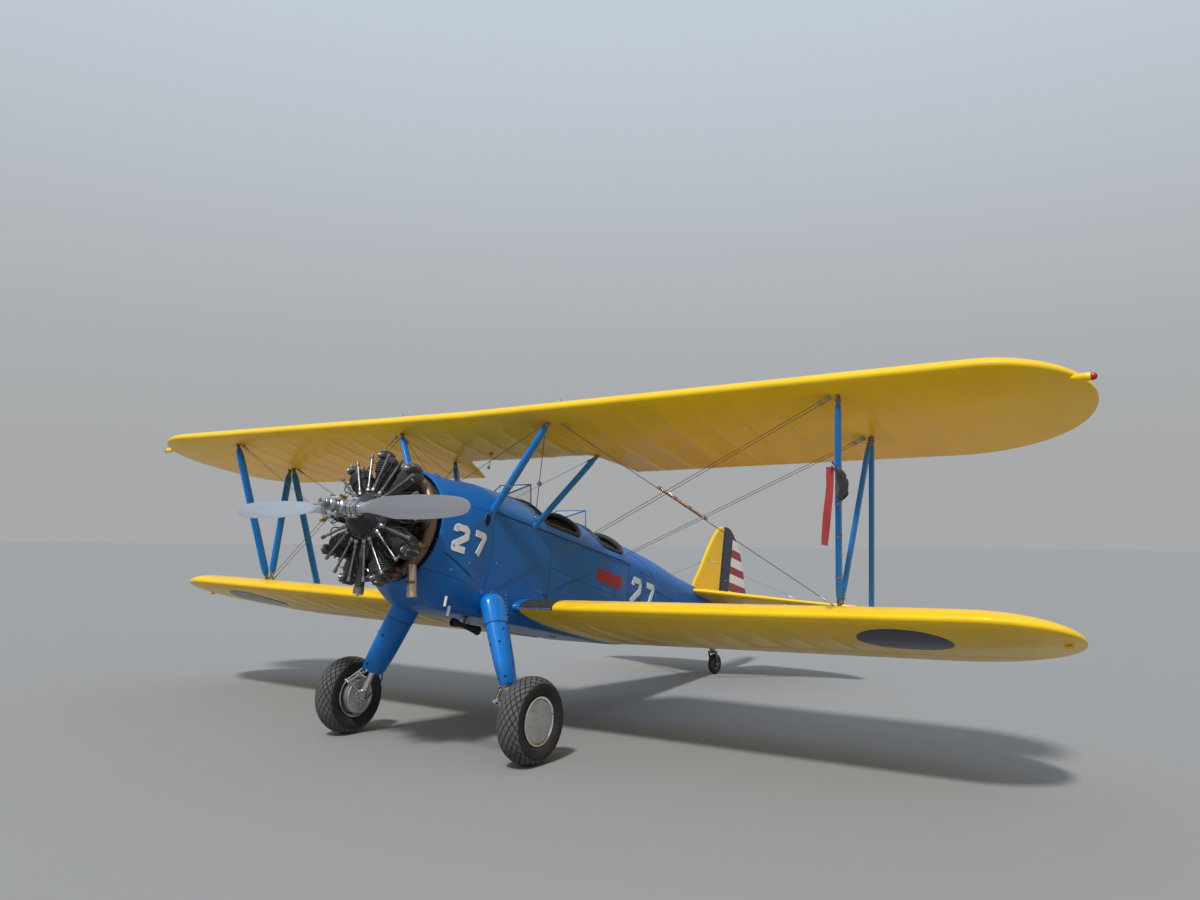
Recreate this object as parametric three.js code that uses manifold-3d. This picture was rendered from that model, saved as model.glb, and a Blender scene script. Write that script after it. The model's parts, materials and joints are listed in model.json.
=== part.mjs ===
// A two-seat open-cockpit training biplane with a nine-cylinder radial engine, parked on its wheels.
// Millimetres. The pieces are laid out in the level frame: origin at the propeller hub, +X to the
// pilot's left, +Y aft, +Z up. The whole aircraft is then turned nose up until it stands on its wheels.
import * as THREE from 'three';
import { mergeVertices } from 'three/addons/utils/BufferGeometryUtils.js';
import Module from 'manifold-3d';

const wasm = await Module();
wasm.setup();

// Driving dimensions
const SEAT = 0.3;                 // gap between pieces that touch
const RUNNING = 6;                // gap round control surfaces
const MAIN_WHEEL = { x: 1020, y: 1350, z: -1350.45, radius: 333, width: 210, rim: 190 };
const TAIL_WHEEL = { y: 6470, z: -431, radius: 127, width: 84, trail: 55 };
const UPPER_WING = { y: 1054, z: 1102, chord: 1532, halfSpan: 4900, dihedral: 0.011, incidence: 0.075 };
const LOWER_WING = { y: 1660, z: -464, chord: 1532, halfSpan: 4750, dihedral: 0.025, incidence: 0.072 };
const UPPER_SPARS = { front: 186, rear: 958 };     // behind the leading edge
const LOWER_SPARS = { front: 203, rear: 977 };
const CENTRE_HALF = 945;          // half the upper centre section
const CUTOUT = { half: 700, trail: 1060 };         // centre section's rear cut-out
const TIP = { y: 600, leadStart: 660, trailStart: 1080 };
const AILERON = { inner: 2120, outer: 4420, hinge: 1165, radius: 36, rise: 6, endGap: 8, lugs: [2380, 3270, 4160] };
const STRUT_TOP_X = 3347;
const STRUT_FOOT_X = 3214;
const CABANE = { topX: 853, footX: 405, footZ: 250, frontFootY: 1220, rearFootY: 1796 };
const WALL = 22;                  // fuselage side and deck
const SHOULDER = 280;             // line where the side panels meet the decking
const SIDE_X = 430;               // flat fuselage side at the wing root
const NOSE_Y = 600;
const DIAPHRAGM = { y: 660, radius: 456 };         // recess in the cowl's front, behind the engine
const COCKPIT_FRONT_Y = 1250;
const COCKPIT_REAR_Y = 3500;
const TAIL_Y = 6358;
const STABILISER = { z: 350, thick: 80, rootX: 90, rootY: 5490, centreY: 5645, hinge: 6290, half: 1900 };
const RUDDER_HINGE_Y = 6385;
const FIN_THICK = 40;
const FIN_LUGS = [560, 900, 1240];       // heights of the rudder hinges
const STABILISER_LUGS = [480, 1200];    // elevator hinges, out from the middle
const HINGE = { lug: 10, eye: 13, pin: 6, running: 0.6 };
const PROPELLER = { radius: 1268, hubFront: -222 };
const CYLINDERS = { count: 9, y: 365, foot: 186, top: 552 };
const COLLECTOR = { y: 530, radius: 412, tube: 46 };

const material = (color, roughness, metalness) =>
  new THREE.MeshStandardMaterial({ color, roughness, metalness });
const blue = material(0x0f5fae, 0.35, 0.0);
const yellow = material(0xf2b90c, 0.45, 0.0);
const dark = material(0x1c1d1f, 0.5, 0.4);
const castGrey = material(0x53565a, 0.5, 0.6);
const polished = material(0xc9ccd0, 0.2, 1.0);
const bronze = material(0x6b4a34, 0.45, 0.8);
const rubber = material(0x202022, 0.85, 0.0);
const leather = material(0x17171a, 0.6, 0.0);
const glass = material(0xdfe8ea, 0.1, 0.0);
const steel = material(0x9da1a6, 0.35, 0.9);
const stripe = material(0x1a2340, 0.45, 0.0);

// Solids from geometries and back
function toSolid(geometry) {
  const bare = geometry.clone();
  bare.deleteAttribute('normal');
  bare.deleteAttribute('uv');
  const merged = mergeVertices(bare, 1e-3);
  const vertProperties = new Float32Array(merged.attributes.position.array);
  const triVerts = new Uint32Array(merged.index.array);
  return new wasm.Manifold(new wasm.Mesh({ numProp: 3, vertProperties, triVerts }));
}

function toGeometry(solid) {
  const mesh = solid.getMesh();
  const geometry = new THREE.BufferGeometry();
  geometry.setAttribute('position', new THREE.BufferAttribute(new Float32Array(mesh.vertProperties), 3));
  geometry.setIndex(new THREE.BufferAttribute(new Uint32Array(mesh.triVerts), 1));
  return geometry;
}

function join(...solids) {
  return solids.reduce((all, next) => all.add(next));
}

// The space that a seated neighbour keeps clear of a solid
function grown(solid) {
  const shifts = [[1, 0, 0], [-1, 0, 0], [0, 1, 0], [0, -1, 0], [0, 0, 1], [0, 0, -1]];
  return join(...shifts.map((shift) => solid.translate(...shift.map((step) => step * SEAT))));
}

// A closed solid through rings that all have the same number of points
function loft(rings) {
  const count = rings[0].length;
  const points = rings.flat();
  const index = [];
  for (let r = 0; r < rings.length - 1; r += 1) {
    for (let i = 0; i < count; i += 1) {
      const j = (i + 1) % count;
      const a = r * count + i;
      const b = r * count + j;
      index.push(a, b, b + count, a, b + count, a + count);
    }
  }
  const capEnd = (start, flip) => {
    const middle = new THREE.Vector3();
    for (let i = 0; i < count; i += 1) middle.add(points[start + i]);
    points.push(middle.divideScalar(count));
    const centre = points.length - 1;
    for (let i = 0; i < count; i += 1) {
      const a = start + i;
      const b = start + ((i + 1) % count);
      if (flip) index.push(centre, b, a);
      else index.push(centre, a, b);
    }
  };
  capEnd(0, true);
  capEnd((rings.length - 1) * count, false);
  let volume = 0;
  for (let t = 0; t < index.length; t += 3) {
    const [a, b, c] = [points[index[t]], points[index[t + 1]], points[index[t + 2]]];
    volume += a.dot(b.clone().cross(c));
  }
  if (volume < 0) index.reverse();
  const geometry = new THREE.BufferGeometry().setFromPoints(points);
  geometry.setIndex(index);
  return toSolid(geometry);
}

function block(x0, x1, y0, y1, z0, z1) {
  const box = new THREE.BoxGeometry(x1 - x0, y1 - y0, z1 - z0);
  return toSolid(box.translate((x0 + x1) / 2, (y0 + y1) / 2, (z0 + z1) / 2));
}

const vec = (x, y, z) => new THREE.Vector3(x, y, z);

// An oval across a line: width runs fore and aft, thick runs across, and toe is the angle in degrees
// that turns the oval about the line
const LENGTHWISE = 0.9;           // share of a line's run along Y from which the oval is guided by Z
function oval(centre, along, width, thick, sides, toe = 0) {
  const guide = Math.abs(along.y) > LENGTHWISE ? vec(0, 0, 1) : vec(0, 1, 0);
  const fore = guide.clone().addScaledVector(along, -guide.dot(along)).normalize()
    .applyAxisAngle(along, -THREE.MathUtils.degToRad(toe));
  const across = along.clone().cross(fore);
  return Array.from({ length: sides }, (unused, i) => {
    const turn = (2 * Math.PI * i) / sides;
    return centre.clone().addScaledVector(fore, (width / 2) * Math.cos(turn))
      .addScaledVector(across, (thick / 2) * Math.sin(turn));
  });
}

// A straight bar with an oval section
function bar(from, to, width, thick, sides = 12) {
  const along = to.clone().sub(from).normalize();
  return loft([oval(from, along, width, thick, sides), oval(to, along, width, thick, sides)]);
}

// A turned solid; profile is a list of [radius, distance along the axis]
function turned(profile, axis, sides = 24) {
  const points = profile.map(([r, h]) => new THREE.Vector2(r, h));
  const geometry = new THREE.LatheGeometry(points, sides);
  if (axis === 'x') geometry.rotateZ(-Math.PI / 2);
  if (axis === 'z') geometry.rotateX(Math.PI / 2);
  return outward(toSolid(geometry), geometry);
}

// A lathe profile drawn the other way round gives an inside-out solid, so it is flipped
function outward(solid, geometry) {
  if (solid.volume() > 0) return solid;
  const flipped = geometry.clone();
  flipped.index.array.reverse();
  return toSolid(flipped);
}

// Plates: an outline in the Y-Z plane with thickness in X
function sidePlate(shape, thick, curveSegments = 8) {
  const geometry = new THREE.ExtrudeGeometry(shape, { depth: thick, bevelEnabled: false, curveSegments });
  geometry.translate(0, 0, -thick / 2);
  geometry.applyMatrix4(new THREE.Matrix4().makeBasis(
    new THREE.Vector3(0, 1, 0), new THREE.Vector3(0, 0, 1), new THREE.Vector3(1, 0, 0)));
  return toSolid(geometry);
}

// A control surface hangs on lugs of the fixed piece: each lug stands in a slot of the moving piece,
// whose pin goes through it. Drawn for an axis along X, then turned and put at each spot.
function hang(fixed, moving, radius, spots, turn = [0, 0, 0]) {
  const { lug, eye, pin, running } = HINGE;
  const disc = (r, half) => turned([[0, -half], [r, -half], [r, half], [0, half]], 'x', 8);
  const arm = block(-lug / 2, lug / 2, -radius - 2 * RUNNING, 0, -eye, eye);
  const lugSolid = join(arm, disc(eye, lug / 2)).subtract(disc(pin + running, lug));
  const slot = block(-lug / 2 - running, lug / 2 + running, -2 * radius, eye + RUNNING, -2 * radius, 2 * radius);
  let carrier = fixed;
  let panel = moving;
  for (const spot of spots) {
    const at = (solid) => solid.rotate(turn).translate(...spot);
    carrier = carrier.add(at(lugSolid));
    panel = panel.subtract(at(slot)).add(at(disc(pin, lug)));
  }
  return [carrier, panel];
}

const aircraft = new THREE.Group();

function place(name, solid, look, parent = aircraft) {
  const mesh = new THREE.Mesh(toGeometry(solid), look);
  mesh.name = name;
  parent.add(mesh);
  return mesh;
}

// Fuselage: rings of flat bottom, corner arcs, straight sides and an arched top. A ridge of 1 arches
// the top as half an ellipse; a larger one draws it in towards the middle line.
const bellyAt = (y) => -600 + 0.017 * (y - COCKPIT_FRONT_Y);
const FUSELAGE = [
  { y: NOSE_Y, width: 471, shoulder: 14, top: 485, bottom: -457, corner: 471, ridge: 1 },
  { y: 980, width: 465, shoulder: 100, top: 508, bottom: -602, corner: 260, ridge: 1.05 },
  { y: COCKPIT_FRONT_Y, width: SIDE_X, shoulder: SHOULDER, top: 548, bottom: -600, corner: 90, ridge: 1.18 },
  { y: 1800, width: SIDE_X, shoulder: SHOULDER, top: 574, bottom: bellyAt(1800), corner: 90, ridge: 1.25 },
  { y: 2600, width: SIDE_X, shoulder: SHOULDER, top: 580, bottom: bellyAt(2600), corner: 90, ridge: 1.25 },
  { y: 3250, width: SIDE_X, shoulder: SHOULDER, top: 562, bottom: bellyAt(3250), corner: 90, ridge: 1.25 },
  { y: COCKPIT_REAR_Y, width: 402, shoulder: SHOULDER, top: 556, bottom: -545, corner: 90, ridge: 1.18 },
  { y: 4130, width: 325, shoulder: 265, top: 535, bottom: -460, corner: 80, ridge: 1.1 },
  { y: 4560, width: 270, shoulder: 255, top: 504, bottom: -405, corner: 70, ridge: 1.05 },
  { y: 5000, width: 212, shoulder: 250, top: 458, bottom: -355, corner: 60, ridge: 1 },
  { y: 5640, width: 128, shoulder: 250, top: 430, bottom: -300, corner: 40, ridge: 1 },
  { y: TAIL_Y, width: 45, shoulder: 250, top: 370, bottom: -215, corner: 20, ridge: 1 },
];

function fuselageRing({ y, width, shoulder, top, bottom, corner, ridge }, inset = 0) {
  const w = width - inset;
  const floor = bottom + inset;
  const r = Math.max(corner - inset, WALL / 2);
  const right = [];
  for (const degrees of [-90, -60, -30, 0]) {
    const turn = THREE.MathUtils.degToRad(degrees);
    right.push([w - r + r * Math.cos(turn), floor + r + r * Math.sin(turn)]);
  }
  for (const degrees of [0, 18, 36, 54, 72]) {
    const turn = THREE.MathUtils.degToRad(degrees);
    right.push([w * Math.cos(turn) ** ridge, shoulder + (top - inset - shoulder) * Math.sin(turn) ** ridge]);
  }
  const left = right.map(([x, z]) => [-x, z]).reverse();
  return [...right, [0, top - inset], ...left].map(([x, z]) => vec(x, y, z));
}

const fuselageOuter = loft(FUSELAGE.map((row) => fuselageRing(row)));
const hollowRows = FUSELAGE.filter((row) => row.y >= COCKPIT_FRONT_Y && row.y <= COCKPIT_REAR_Y)
  .map((row) => ({ ...row, y: THREE.MathUtils.clamp(row.y, COCKPIT_FRONT_Y + WALL, COCKPIT_REAR_Y - WALL) }));
const fuselageInner = loft(hollowRows.map((row) => fuselageRing(row, WALL)));
const slab = (y0, y1, z0 = -900, z1 = 900) => fuselageOuter.intersect(block(-900, 900, y0, y1, z0, z1));

const COCKPITS = [
  { name: 'front', start: 1985, end: 2590, half: 404, seatY: 2150, panelY: 1900, stickY: 2060 },
  { name: 'rear', start: 2915, end: 3385, half: 397, seatY: 3000, panelY: 2830, stickY: 2915 },
];
const DECK_JOINT_Y = 2750;        // the decking is two panels, joined between the cockpits

// Plan of a cockpit: square in front, rounded behind, almost as wide as the fuselage
function cockpitOpening({ start, end, half }) {
  const radius = 110;
  const shape = new THREE.Shape();
  shape.moveTo(-half + radius, start);
  shape.lineTo(half - radius, start);
  shape.lineTo(half, start + radius / 2);
  shape.lineTo(half, end - radius);
  shape.absarc(half - radius, end - radius, radius, 0, Math.PI / 2, false);
  shape.lineTo(-half + radius, end);
  shape.absarc(-half + radius, end - radius, radius, Math.PI / 2, Math.PI, false);
  shape.lineTo(-half, start + radius / 2);
  shape.lineTo(-half + radius, start);
  const geometry = new THREE.ExtrudeGeometry(shape, { depth: 400, bevelEnabled: false, curveSegments: 4 });
  return toSolid(geometry.translate(0, 0, SHOULDER + 10));
}

const tub = slab(COCKPIT_FRONT_Y + SEAT, COCKPIT_REAR_Y - SEAT / 2, -900, SHOULDER - SEAT).subtract(fuselageInner);
const deckPanel = (from, to, row) => slab(from, to, SHOULDER, 900).subtract(fuselageInner)
  .subtract(cockpitOpening(row));
const recess = turned([[0, NOSE_Y - 10], [DIAPHRAGM.radius, NOSE_Y - 10], [DIAPHRAGM.radius, DIAPHRAGM.y],
  [0, DIAPHRAGM.y]], 'y', 36).translate(0, 0, FUSELAGE[0].shoulder);
place('nose_cowl', slab(NOSE_Y, COCKPIT_FRONT_Y).subtract(recess), blue);
place('fuselage_tub', tub, blue);
place('front_decking', deckPanel(COCKPIT_FRONT_Y + SEAT, DECK_JOINT_Y, COCKPITS[0]), blue);
place('rear_decking', deckPanel(DECK_JOINT_Y + SEAT, COCKPIT_REAR_Y - SEAT / 2, COCKPITS[1]), blue);

const seatCut = join(
  block(-400, 400, STABILISER.centreY - SEAT, TAIL_Y + 50, STABILISER.z - STABILISER.thick / 2 - SEAT, 900),
  block(STABILISER.rootX, 400, STABILISER.rootY - 30, TAIL_Y, STABILISER.z - STABILISER.thick / 2 - SEAT, 900),
  block(-400, -STABILISER.rootX, STABILISER.rootY - 30, TAIL_Y, STABILISER.z - STABILISER.thick / 2 - SEAT, 900));
const aftFuselage = slab(COCKPIT_REAR_Y + SEAT / 2, TAIL_Y).subtract(seatCut);
place('aft_fuselage', aftFuselage, blue);

// Windshields: a flat raked middle pane, wider at the top, and a three-cornered pane each side.
// Sill, head and back are places along the fuselage of the low, high and rear corners.
const WINDSHIELDS = [
  { name: 'front', sill: 1712, head: 1964, back: 1984, headZ: 722 },
  { name: 'rear', sill: 2604, head: 2892, back: 2911, headZ: 705 },
];
const PANE = { thick: 6, sillX: 84, sillZ: 550, headX: 180, backX: 214, backZ: 450 };

function pane(corners) {
  const inside = vec(0, corners[1].y, 0).sub(corners[1]);
  const normal = corners[1].clone().sub(corners[0]).cross(corners[2].clone().sub(corners[0])).normalize();
  const depth = normal.multiplyScalar(PANE.thick * Math.sign(normal.dot(inside)));
  return loft([corners, corners.map((corner) => corner.clone().add(depth))]);
}

for (const { name, sill, head, back, headZ } of WINDSHIELDS) {
  const low = (side) => vec(side * PANE.sillX, sill, PANE.sillZ);
  const high = (side) => vec(side * PANE.headX, head, headZ);
  const rear = (side) => vec(side * PANE.backX, back, PANE.backZ);
  const panes = [pane([low(-1), low(1), high(1), high(-1)]), ...[-1, 1].map((side) =>
    pane([low(side), high(side), rear(side)]))];
  place(`${name}_windshield`, join(...panes).subtract(fuselageOuter.translate(0, 0, SEAT)), glass);
}

// Cockpit furniture: seats, cushions, panels, and a pad that fills the arch behind each cockpit
const PAN = { half: 210, depth: 380, low: -120, sheet: 20, backTop: 300, armTop: 20 };
const SEAT_LEG = { width: 40, inset: 60, foot: -620 };
const CUSHION = { half: 190, depth: 345, top: -30 };
const PAD = { thick: 45, low: 345 };
const PANEL = { thick: 12, low: 120 };
const STICK = { floor: -500, top: 170, gripFrom: 60, rod: 26, grip: 38, torqueTube: 40 };
const fuselageFloor = block(-500, 500, 1000, 4000, -900, -500).subtract(fuselageInner.translate(0, 0, SEAT));
const insideSkin = loft(hollowRows.map((row) => fuselageRing(row, WALL + SEAT)));

function cockpitSeat(y) {
  const rearY = y + PAN.depth;
  const pan = block(-PAN.half, PAN.half, y, rearY, PAN.low, PAN.low + PAN.sheet);
  const back = block(-PAN.half, PAN.half, rearY - PAN.sheet, rearY, PAN.low, PAN.backTop);
  const arms = [-PAN.half, PAN.half - PAN.sheet / 2].map((x) =>
    block(x, x + PAN.sheet / 2, y, rearY, PAN.low, PAN.armTop));
  const legs = [-PAN.half + 10, PAN.half - 10 - SEAT_LEG.width].map((x) =>
    block(x, x + SEAT_LEG.width, y + SEAT_LEG.inset, rearY - SEAT_LEG.inset, SEAT_LEG.foot, PAN.low + 10));
  return join(pan, back, ...arms, ...legs).subtract(fuselageFloor);
}

for (const { name, seatY, panelY, end } of COCKPITS) {
  const seatTop = PAN.low + PAN.sheet;
  const slice = (y, thick, low) => insideSkin.intersect(block(-500, 500, y, y + thick, low, 900));
  place(`${name}_seat`, cockpitSeat(seatY), steel);
  place(`${name}_seat_cushion`,
    block(-CUSHION.half, CUSHION.half, seatY + 5, seatY + 5 + CUSHION.depth, seatTop + SEAT, CUSHION.top), leather);
  place(`${name}_instrument_panel`, slice(panelY, PANEL.thick, PANEL.low), dark);
  place(`${name}_headrest`, slice(end + 2, PAD.thick, PAD.low), leather);
}
const rodAt = (y, from, to, wide) => bar(vec(0, y, from), vec(0, y, to), wide, wide, 8);
const stickTube = bar(vec(0, COCKPITS[0].stickY - 60, STICK.floor), vec(0, COCKPITS[1].stickY + 60, STICK.floor),
  STICK.torqueTube, STICK.torqueTube, 10);
const sticks = COCKPITS.map(({ stickY }) => join(
  rodAt(stickY, STICK.floor, STICK.top - 50, STICK.rod),
  rodAt(stickY, STICK.gripFrom, STICK.top, STICK.grip),
  block(-30, 30, stickY - 50, stickY - 20, SEAT_LEG.foot, STICK.floor)));
place('control_sticks', join(stickTube, ...sticks).subtract(fuselageFloor), dark);

// Engine, turned about the thrust line: [radius, place behind the propeller]
const CASE_JOINT_Y = 270;
const NOSE_CASE = [[0, 68], [36, 68], [36, 96], [82, 104], [140, 160], [176, 225], [182, CASE_JOINT_Y],
  [0, CASE_JOINT_Y]];
const CRANKCASE = [[0, CASE_JOINT_Y + SEAT], [188, CASE_JOINT_Y + SEAT], [188, 455], [225, 475], [225, 545],
  [150, 570], [150, DIAPHRAGM.y - SEAT], [0, DIAPHRAGM.y - SEAT]];
const noseCase = turned(NOSE_CASE, 'y');
place('engine_nose_case', noseCase, castGrey);
// A cylinder stands on the crankcase: [radius, height over its foot], with two rocker boxes on its head
const BARREL = [[0, 0], [70, 0], [70, 20], [76, 24], [76, 190], [96, 200], [96, 290], [70, 330], [0, 330]];
const BARREL_SINK = 16;
const ROCKER_BOX = { out: 56, half: 27, ahead: 105, behind: 40, height: 72 };
const engineParts = [];
for (let k = 0; k < CYLINDERS.count; k += 1) {
  const barrel = turned(BARREL, 'z', 10).translate(0, CYLINDERS.y, CYLINDERS.foot - BARREL_SINK);
  const { out, half, ahead, behind, height } = ROCKER_BOX;
  const rockers = [-out, out].map((x) => block(x - half, x + half, CYLINDERS.y - ahead,
    CYLINDERS.y + behind, CYLINDERS.top - height, CYLINDERS.top));
  engineParts.push(join(barrel, ...rockers).rotate([0, (360 * k) / CYLINDERS.count, 0]));
}
const engine = join(turned(CRANKCASE, 'y'), ...engineParts);
place('engine_block', engine, dark);

const ring = new THREE.TorusGeometry(COLLECTOR.radius, COLLECTOR.tube, 8, 36);
ring.rotateX(Math.PI / 2);
const STACK = { wide: 64, from: vec(50, COLLECTOR.y, COLLECTOR.radius - 10), to: vec(60, CYLINDERS.y + 60, 445) };
const TAIL_PIPE = { wide: 80, from: vec(285, COLLECTOR.y, -300), to: vec(322, COLLECTOR.y + 30, -565) };
const stacks = [];
for (let k = 0; k < CYLINDERS.count; k += 1) {
  const stack = bar(STACK.from, STACK.to, STACK.wide, STACK.wide, 6);
  stacks.push(stack.rotate([0, (360 * k) / CYLINDERS.count, 0]));
}
const tailPipe = bar(TAIL_PIPE.from, TAIL_PIPE.to, TAIL_PIPE.wide, TAIL_PIPE.wide);
const collector = join(toSolid(ring).translate(0, COLLECTOR.y, 0), ...stacks, tailPipe)
  .subtract(engine.translate(0, SEAT, 0));
place('exhaust_collector', collector, bronze);

// Propeller: a clamped two-blade hub, bored for the shaft that stands out of the nose case
const HUB = [[0, PROPELLER.hubFront], [30, PROPELLER.hubFront], [34, -200], [34, -150], [48, -140], [48, -70],
  [66, -60], [66, 62], [0, 62]];
const CLAMP = { radius: 58, half: 185 };
const SHAFT = { radius: 36, front: 46, back: 80, bore: 36.9, boreFront: 40 };
const drum = (radius, from, to, axis, sides) =>
  turned([[0, from], [radius, from], [radius, to], [0, to]], axis, sides);
const hub = join(turned(HUB, 'y'), drum(CLAMP.radius, -CLAMP.half, CLAMP.half, 'x', 16))
  .subtract(drum(SHAFT.bore, SHAFT.boreFront, SHAFT.back, 'y', 24));
const shaft = noseCase.add(drum(SHAFT.radius, SHAFT.front, SHAFT.back, 'y', 24));
aircraft.getObjectByName('engine_nose_case').geometry = toGeometry(shaft);
const propeller = new THREE.Group();
aircraft.add(propeller);
place('propeller_hub', hub, castGrey, propeller);

const BLADE = [
  // along, chord, thick, pitch in degrees
  { along: CLAMP.half + SEAT, chord: 84, thick: 84, pitch: 0 },
  { along: 250, chord: 88, thick: 70, pitch: 30 },
  { along: 340, chord: 130, thick: 44, pitch: 42 },
  { along: 520, chord: 176, thick: 28, pitch: 34 },
  { along: 760, chord: 180, thick: 20, pitch: 26 },
  { along: 1000, chord: 162, thick: 15, pitch: 20 },
  { along: 1170, chord: 128, thick: 11, pitch: 17 },
  { along: 1240, chord: 86, thick: 9, pitch: 16 },
  { along: PROPELLER.radius, chord: 34, thick: 6, pitch: 16 },
];
function bladeRing({ along, chord, thick, pitch }) {
  const tilt = THREE.MathUtils.degToRad(pitch);
  return Array.from({ length: 12 }, (unused, i) => {
    const turn = (2 * Math.PI * i) / 12;
    const a = (chord / 2) * Math.cos(turn);
    const b = (thick / 2) * Math.sin(turn);
    return vec(along, -a * Math.sin(tilt) - b * Math.cos(tilt), a * Math.cos(tilt) - b * Math.sin(tilt));
  });
}
const blade = loft(BLADE.map(bladeRing));
for (const [name, turn] of [['left_propeller_blade', 0], ['right_propeller_blade', Math.PI]]) {
  place(name, blade, polished, propeller).rotation.y = turn;
}

// Wings: a cambered section, straight panels with rounded tips. The section is 13 hundredths of the chord
// thick, by the usual four-digit thickness and camber curves; a part is a share of the chord.
const SECTION = { thick: 0.13, camber: 0.02, camberAt: 0.2 };
function wingHeights(part) {
  const { thick, camber, camberAt } = SECTION;
  const half = 5 * thick * (0.2969 * Math.sqrt(part) - 0.126 * part - 0.3516 * part ** 2
    + 0.2843 * part ** 3 - 0.1015 * part ** 4);
  const middle = part < camberAt ? (camber / camberAt ** 2) * (2 * camberAt * part - part ** 2)
    : (camber / (1 - camberAt) ** 2) * (1 - 2 * camberAt + 2 * camberAt * part - part ** 2);
  return [middle + half, middle - half];
}
const SECTION_STEPS = [0, 0.012, 0.045, 0.1, 0.18, 0.3, 0.45, 0.62, 0.78, 0.9, 1];

function wingRing(x, lead, trail, lift) {
  const chord = trail - lead;
  const ring = (face) => SECTION_STEPS.map((part) =>
    vec(x, lead + part * chord, lift + wingHeights(part)[face] * chord));
  return [...ring(0), ...ring(1).reverse().slice(0, -1)];
}

function wingPanel(wing, innerX) {
  const straightEnd = wing.halfSpan - TIP.trailStart;
  const edge = (x, start, from) => {
    const run = Math.max(0, (x - (wing.halfSpan - start)) / start);
    return TIP.y + (from - TIP.y) * Math.sqrt(Math.max(0, 1 - run ** 2));
  };
  const tipAngles = [0, 20, 38, 52, 64, 74, 82];
  const stations = [innerX, ...tipAngles.map((degrees) =>
    straightEnd + TIP.trailStart * Math.sin(THREE.MathUtils.degToRad(degrees)))];
  return loft(stations.map((x) =>
    wingRing(x, edge(x, TIP.leadStart, 0), edge(x, TIP.trailStart, wing.chord), wing.dihedral * x)));
}

function wingGroup({ y, z, incidence }) {
  const group = new THREE.Group();
  group.position.set(0, y, z);
  group.rotation.x = -incidence;
  group.updateMatrix();
  aircraft.add(group);
  return group;
}
const mirror = (solid) => solid.mirror([1, 0, 0]);
const inLevelFrame = (solid, group) => solid.transform([...group.matrix.elements]);

const upperGroup = wingGroup(UPPER_WING);
const upperPanel = wingPanel(UPPER_WING, CENTRE_HALF + SEAT);
const lift = (x) => UPPER_WING.dihedral * Math.abs(x);
// Centre section: the trailing edge steps forward over the front cockpit
const cutoutSide = [[CUTOUT.half, CUTOUT.trail], [CENTRE_HALF - 130, 1180], [CENTRE_HALF - 60, 1400],
  [CENTRE_HALF, UPPER_WING.chord]];                        // [place across, trailing edge]
const centreStations = [...cutoutSide.map(([x, trail]) => [-x, trail]).reverse(), [0, CUTOUT.trail], ...cutoutSide];
const ROUND_FROM = 0.78;          // share of the cut-out's chord from which its edge is rounded off
function centreRing([x, trail]) {
  const full = UPPER_WING.chord;
  const reach = trail / full;
  const half = (upper) => SECTION_STEPS.map((step) => {
    const part = step * reach;
    const heights = wingHeights(part);
    const fade = reach < 1 && step > ROUND_FROM
      ? Math.max(0.2, Math.sqrt(1 - ((step - ROUND_FROM) / (1 - ROUND_FROM)) ** 2)) : 1;
    const middle = (heights[0] + heights[1]) / 2;
    const depth = ((heights[0] - heights[1]) / 2) * fade;
    return vec(x, part * full, lift(x) + (upper ? middle + depth : middle - depth) * full);
  });
  return [...half(true), ...half(false).reverse().slice(0, -1)];
}
const centreSection = loft(centreStations.map(centreRing));
place('upper_wing_centre', centreSection, yellow, upperGroup);
place('left_upper_wing', upperPanel, yellow, upperGroup);
place('right_upper_wing', mirror(upperPanel), yellow, upperGroup);

const lowerGroup = wingGroup(LOWER_WING);
const lowerPanel = wingPanel(LOWER_WING, SIDE_X + 2 * SEAT);
const aileronAxis = (x) => [x, AILERON.hinge, LOWER_WING.dihedral * x + AILERON.rise];
const aftOf = (x0, x1, y) => block(x0, x1, y, 1800, -400, 500);
const aileronBay = aftOf(AILERON.inner - AILERON.endGap, AILERON.outer + AILERON.endGap,
  AILERON.hinge - AILERON.radius - RUNNING);
const aileronTail = aftOf(AILERON.inner, AILERON.outer, AILERON.hinge);
const aileronNose = bar(vec(...aileronAxis(AILERON.inner)), vec(...aileronAxis(AILERON.outer)),
  2 * AILERON.radius, 2 * AILERON.radius, 14);
const [lowerWing, aileron] = hang(lowerPanel.subtract(aileronBay),
  join(lowerPanel.intersect(aileronTail), aileronNose), AILERON.radius, AILERON.lugs.map(aileronAxis));
place('left_lower_wing', lowerWing, yellow, lowerGroup);
place('right_lower_wing', mirror(lowerWing), yellow, lowerGroup);
place('left_aileron', aileron, yellow, lowerGroup);
place('right_aileron', mirror(aileron), yellow, lowerGroup);

// Places on the wings, in the level frame
function onWing(wing, x, back, up) {
  const turn = wing.incidence;
  return vec(x, wing.y + back * Math.cos(turn) + up * Math.sin(turn),
    wing.z + wing.dihedral * Math.abs(x) - back * Math.sin(turn) + up * Math.cos(turn));
}
const nearUpper = grown(inLevelFrame(join(upperPanel, centreSection, mirror(centreSection)), upperGroup));
const nearLower = grown(inLevelFrame(lowerWing, lowerGroup));

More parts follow.
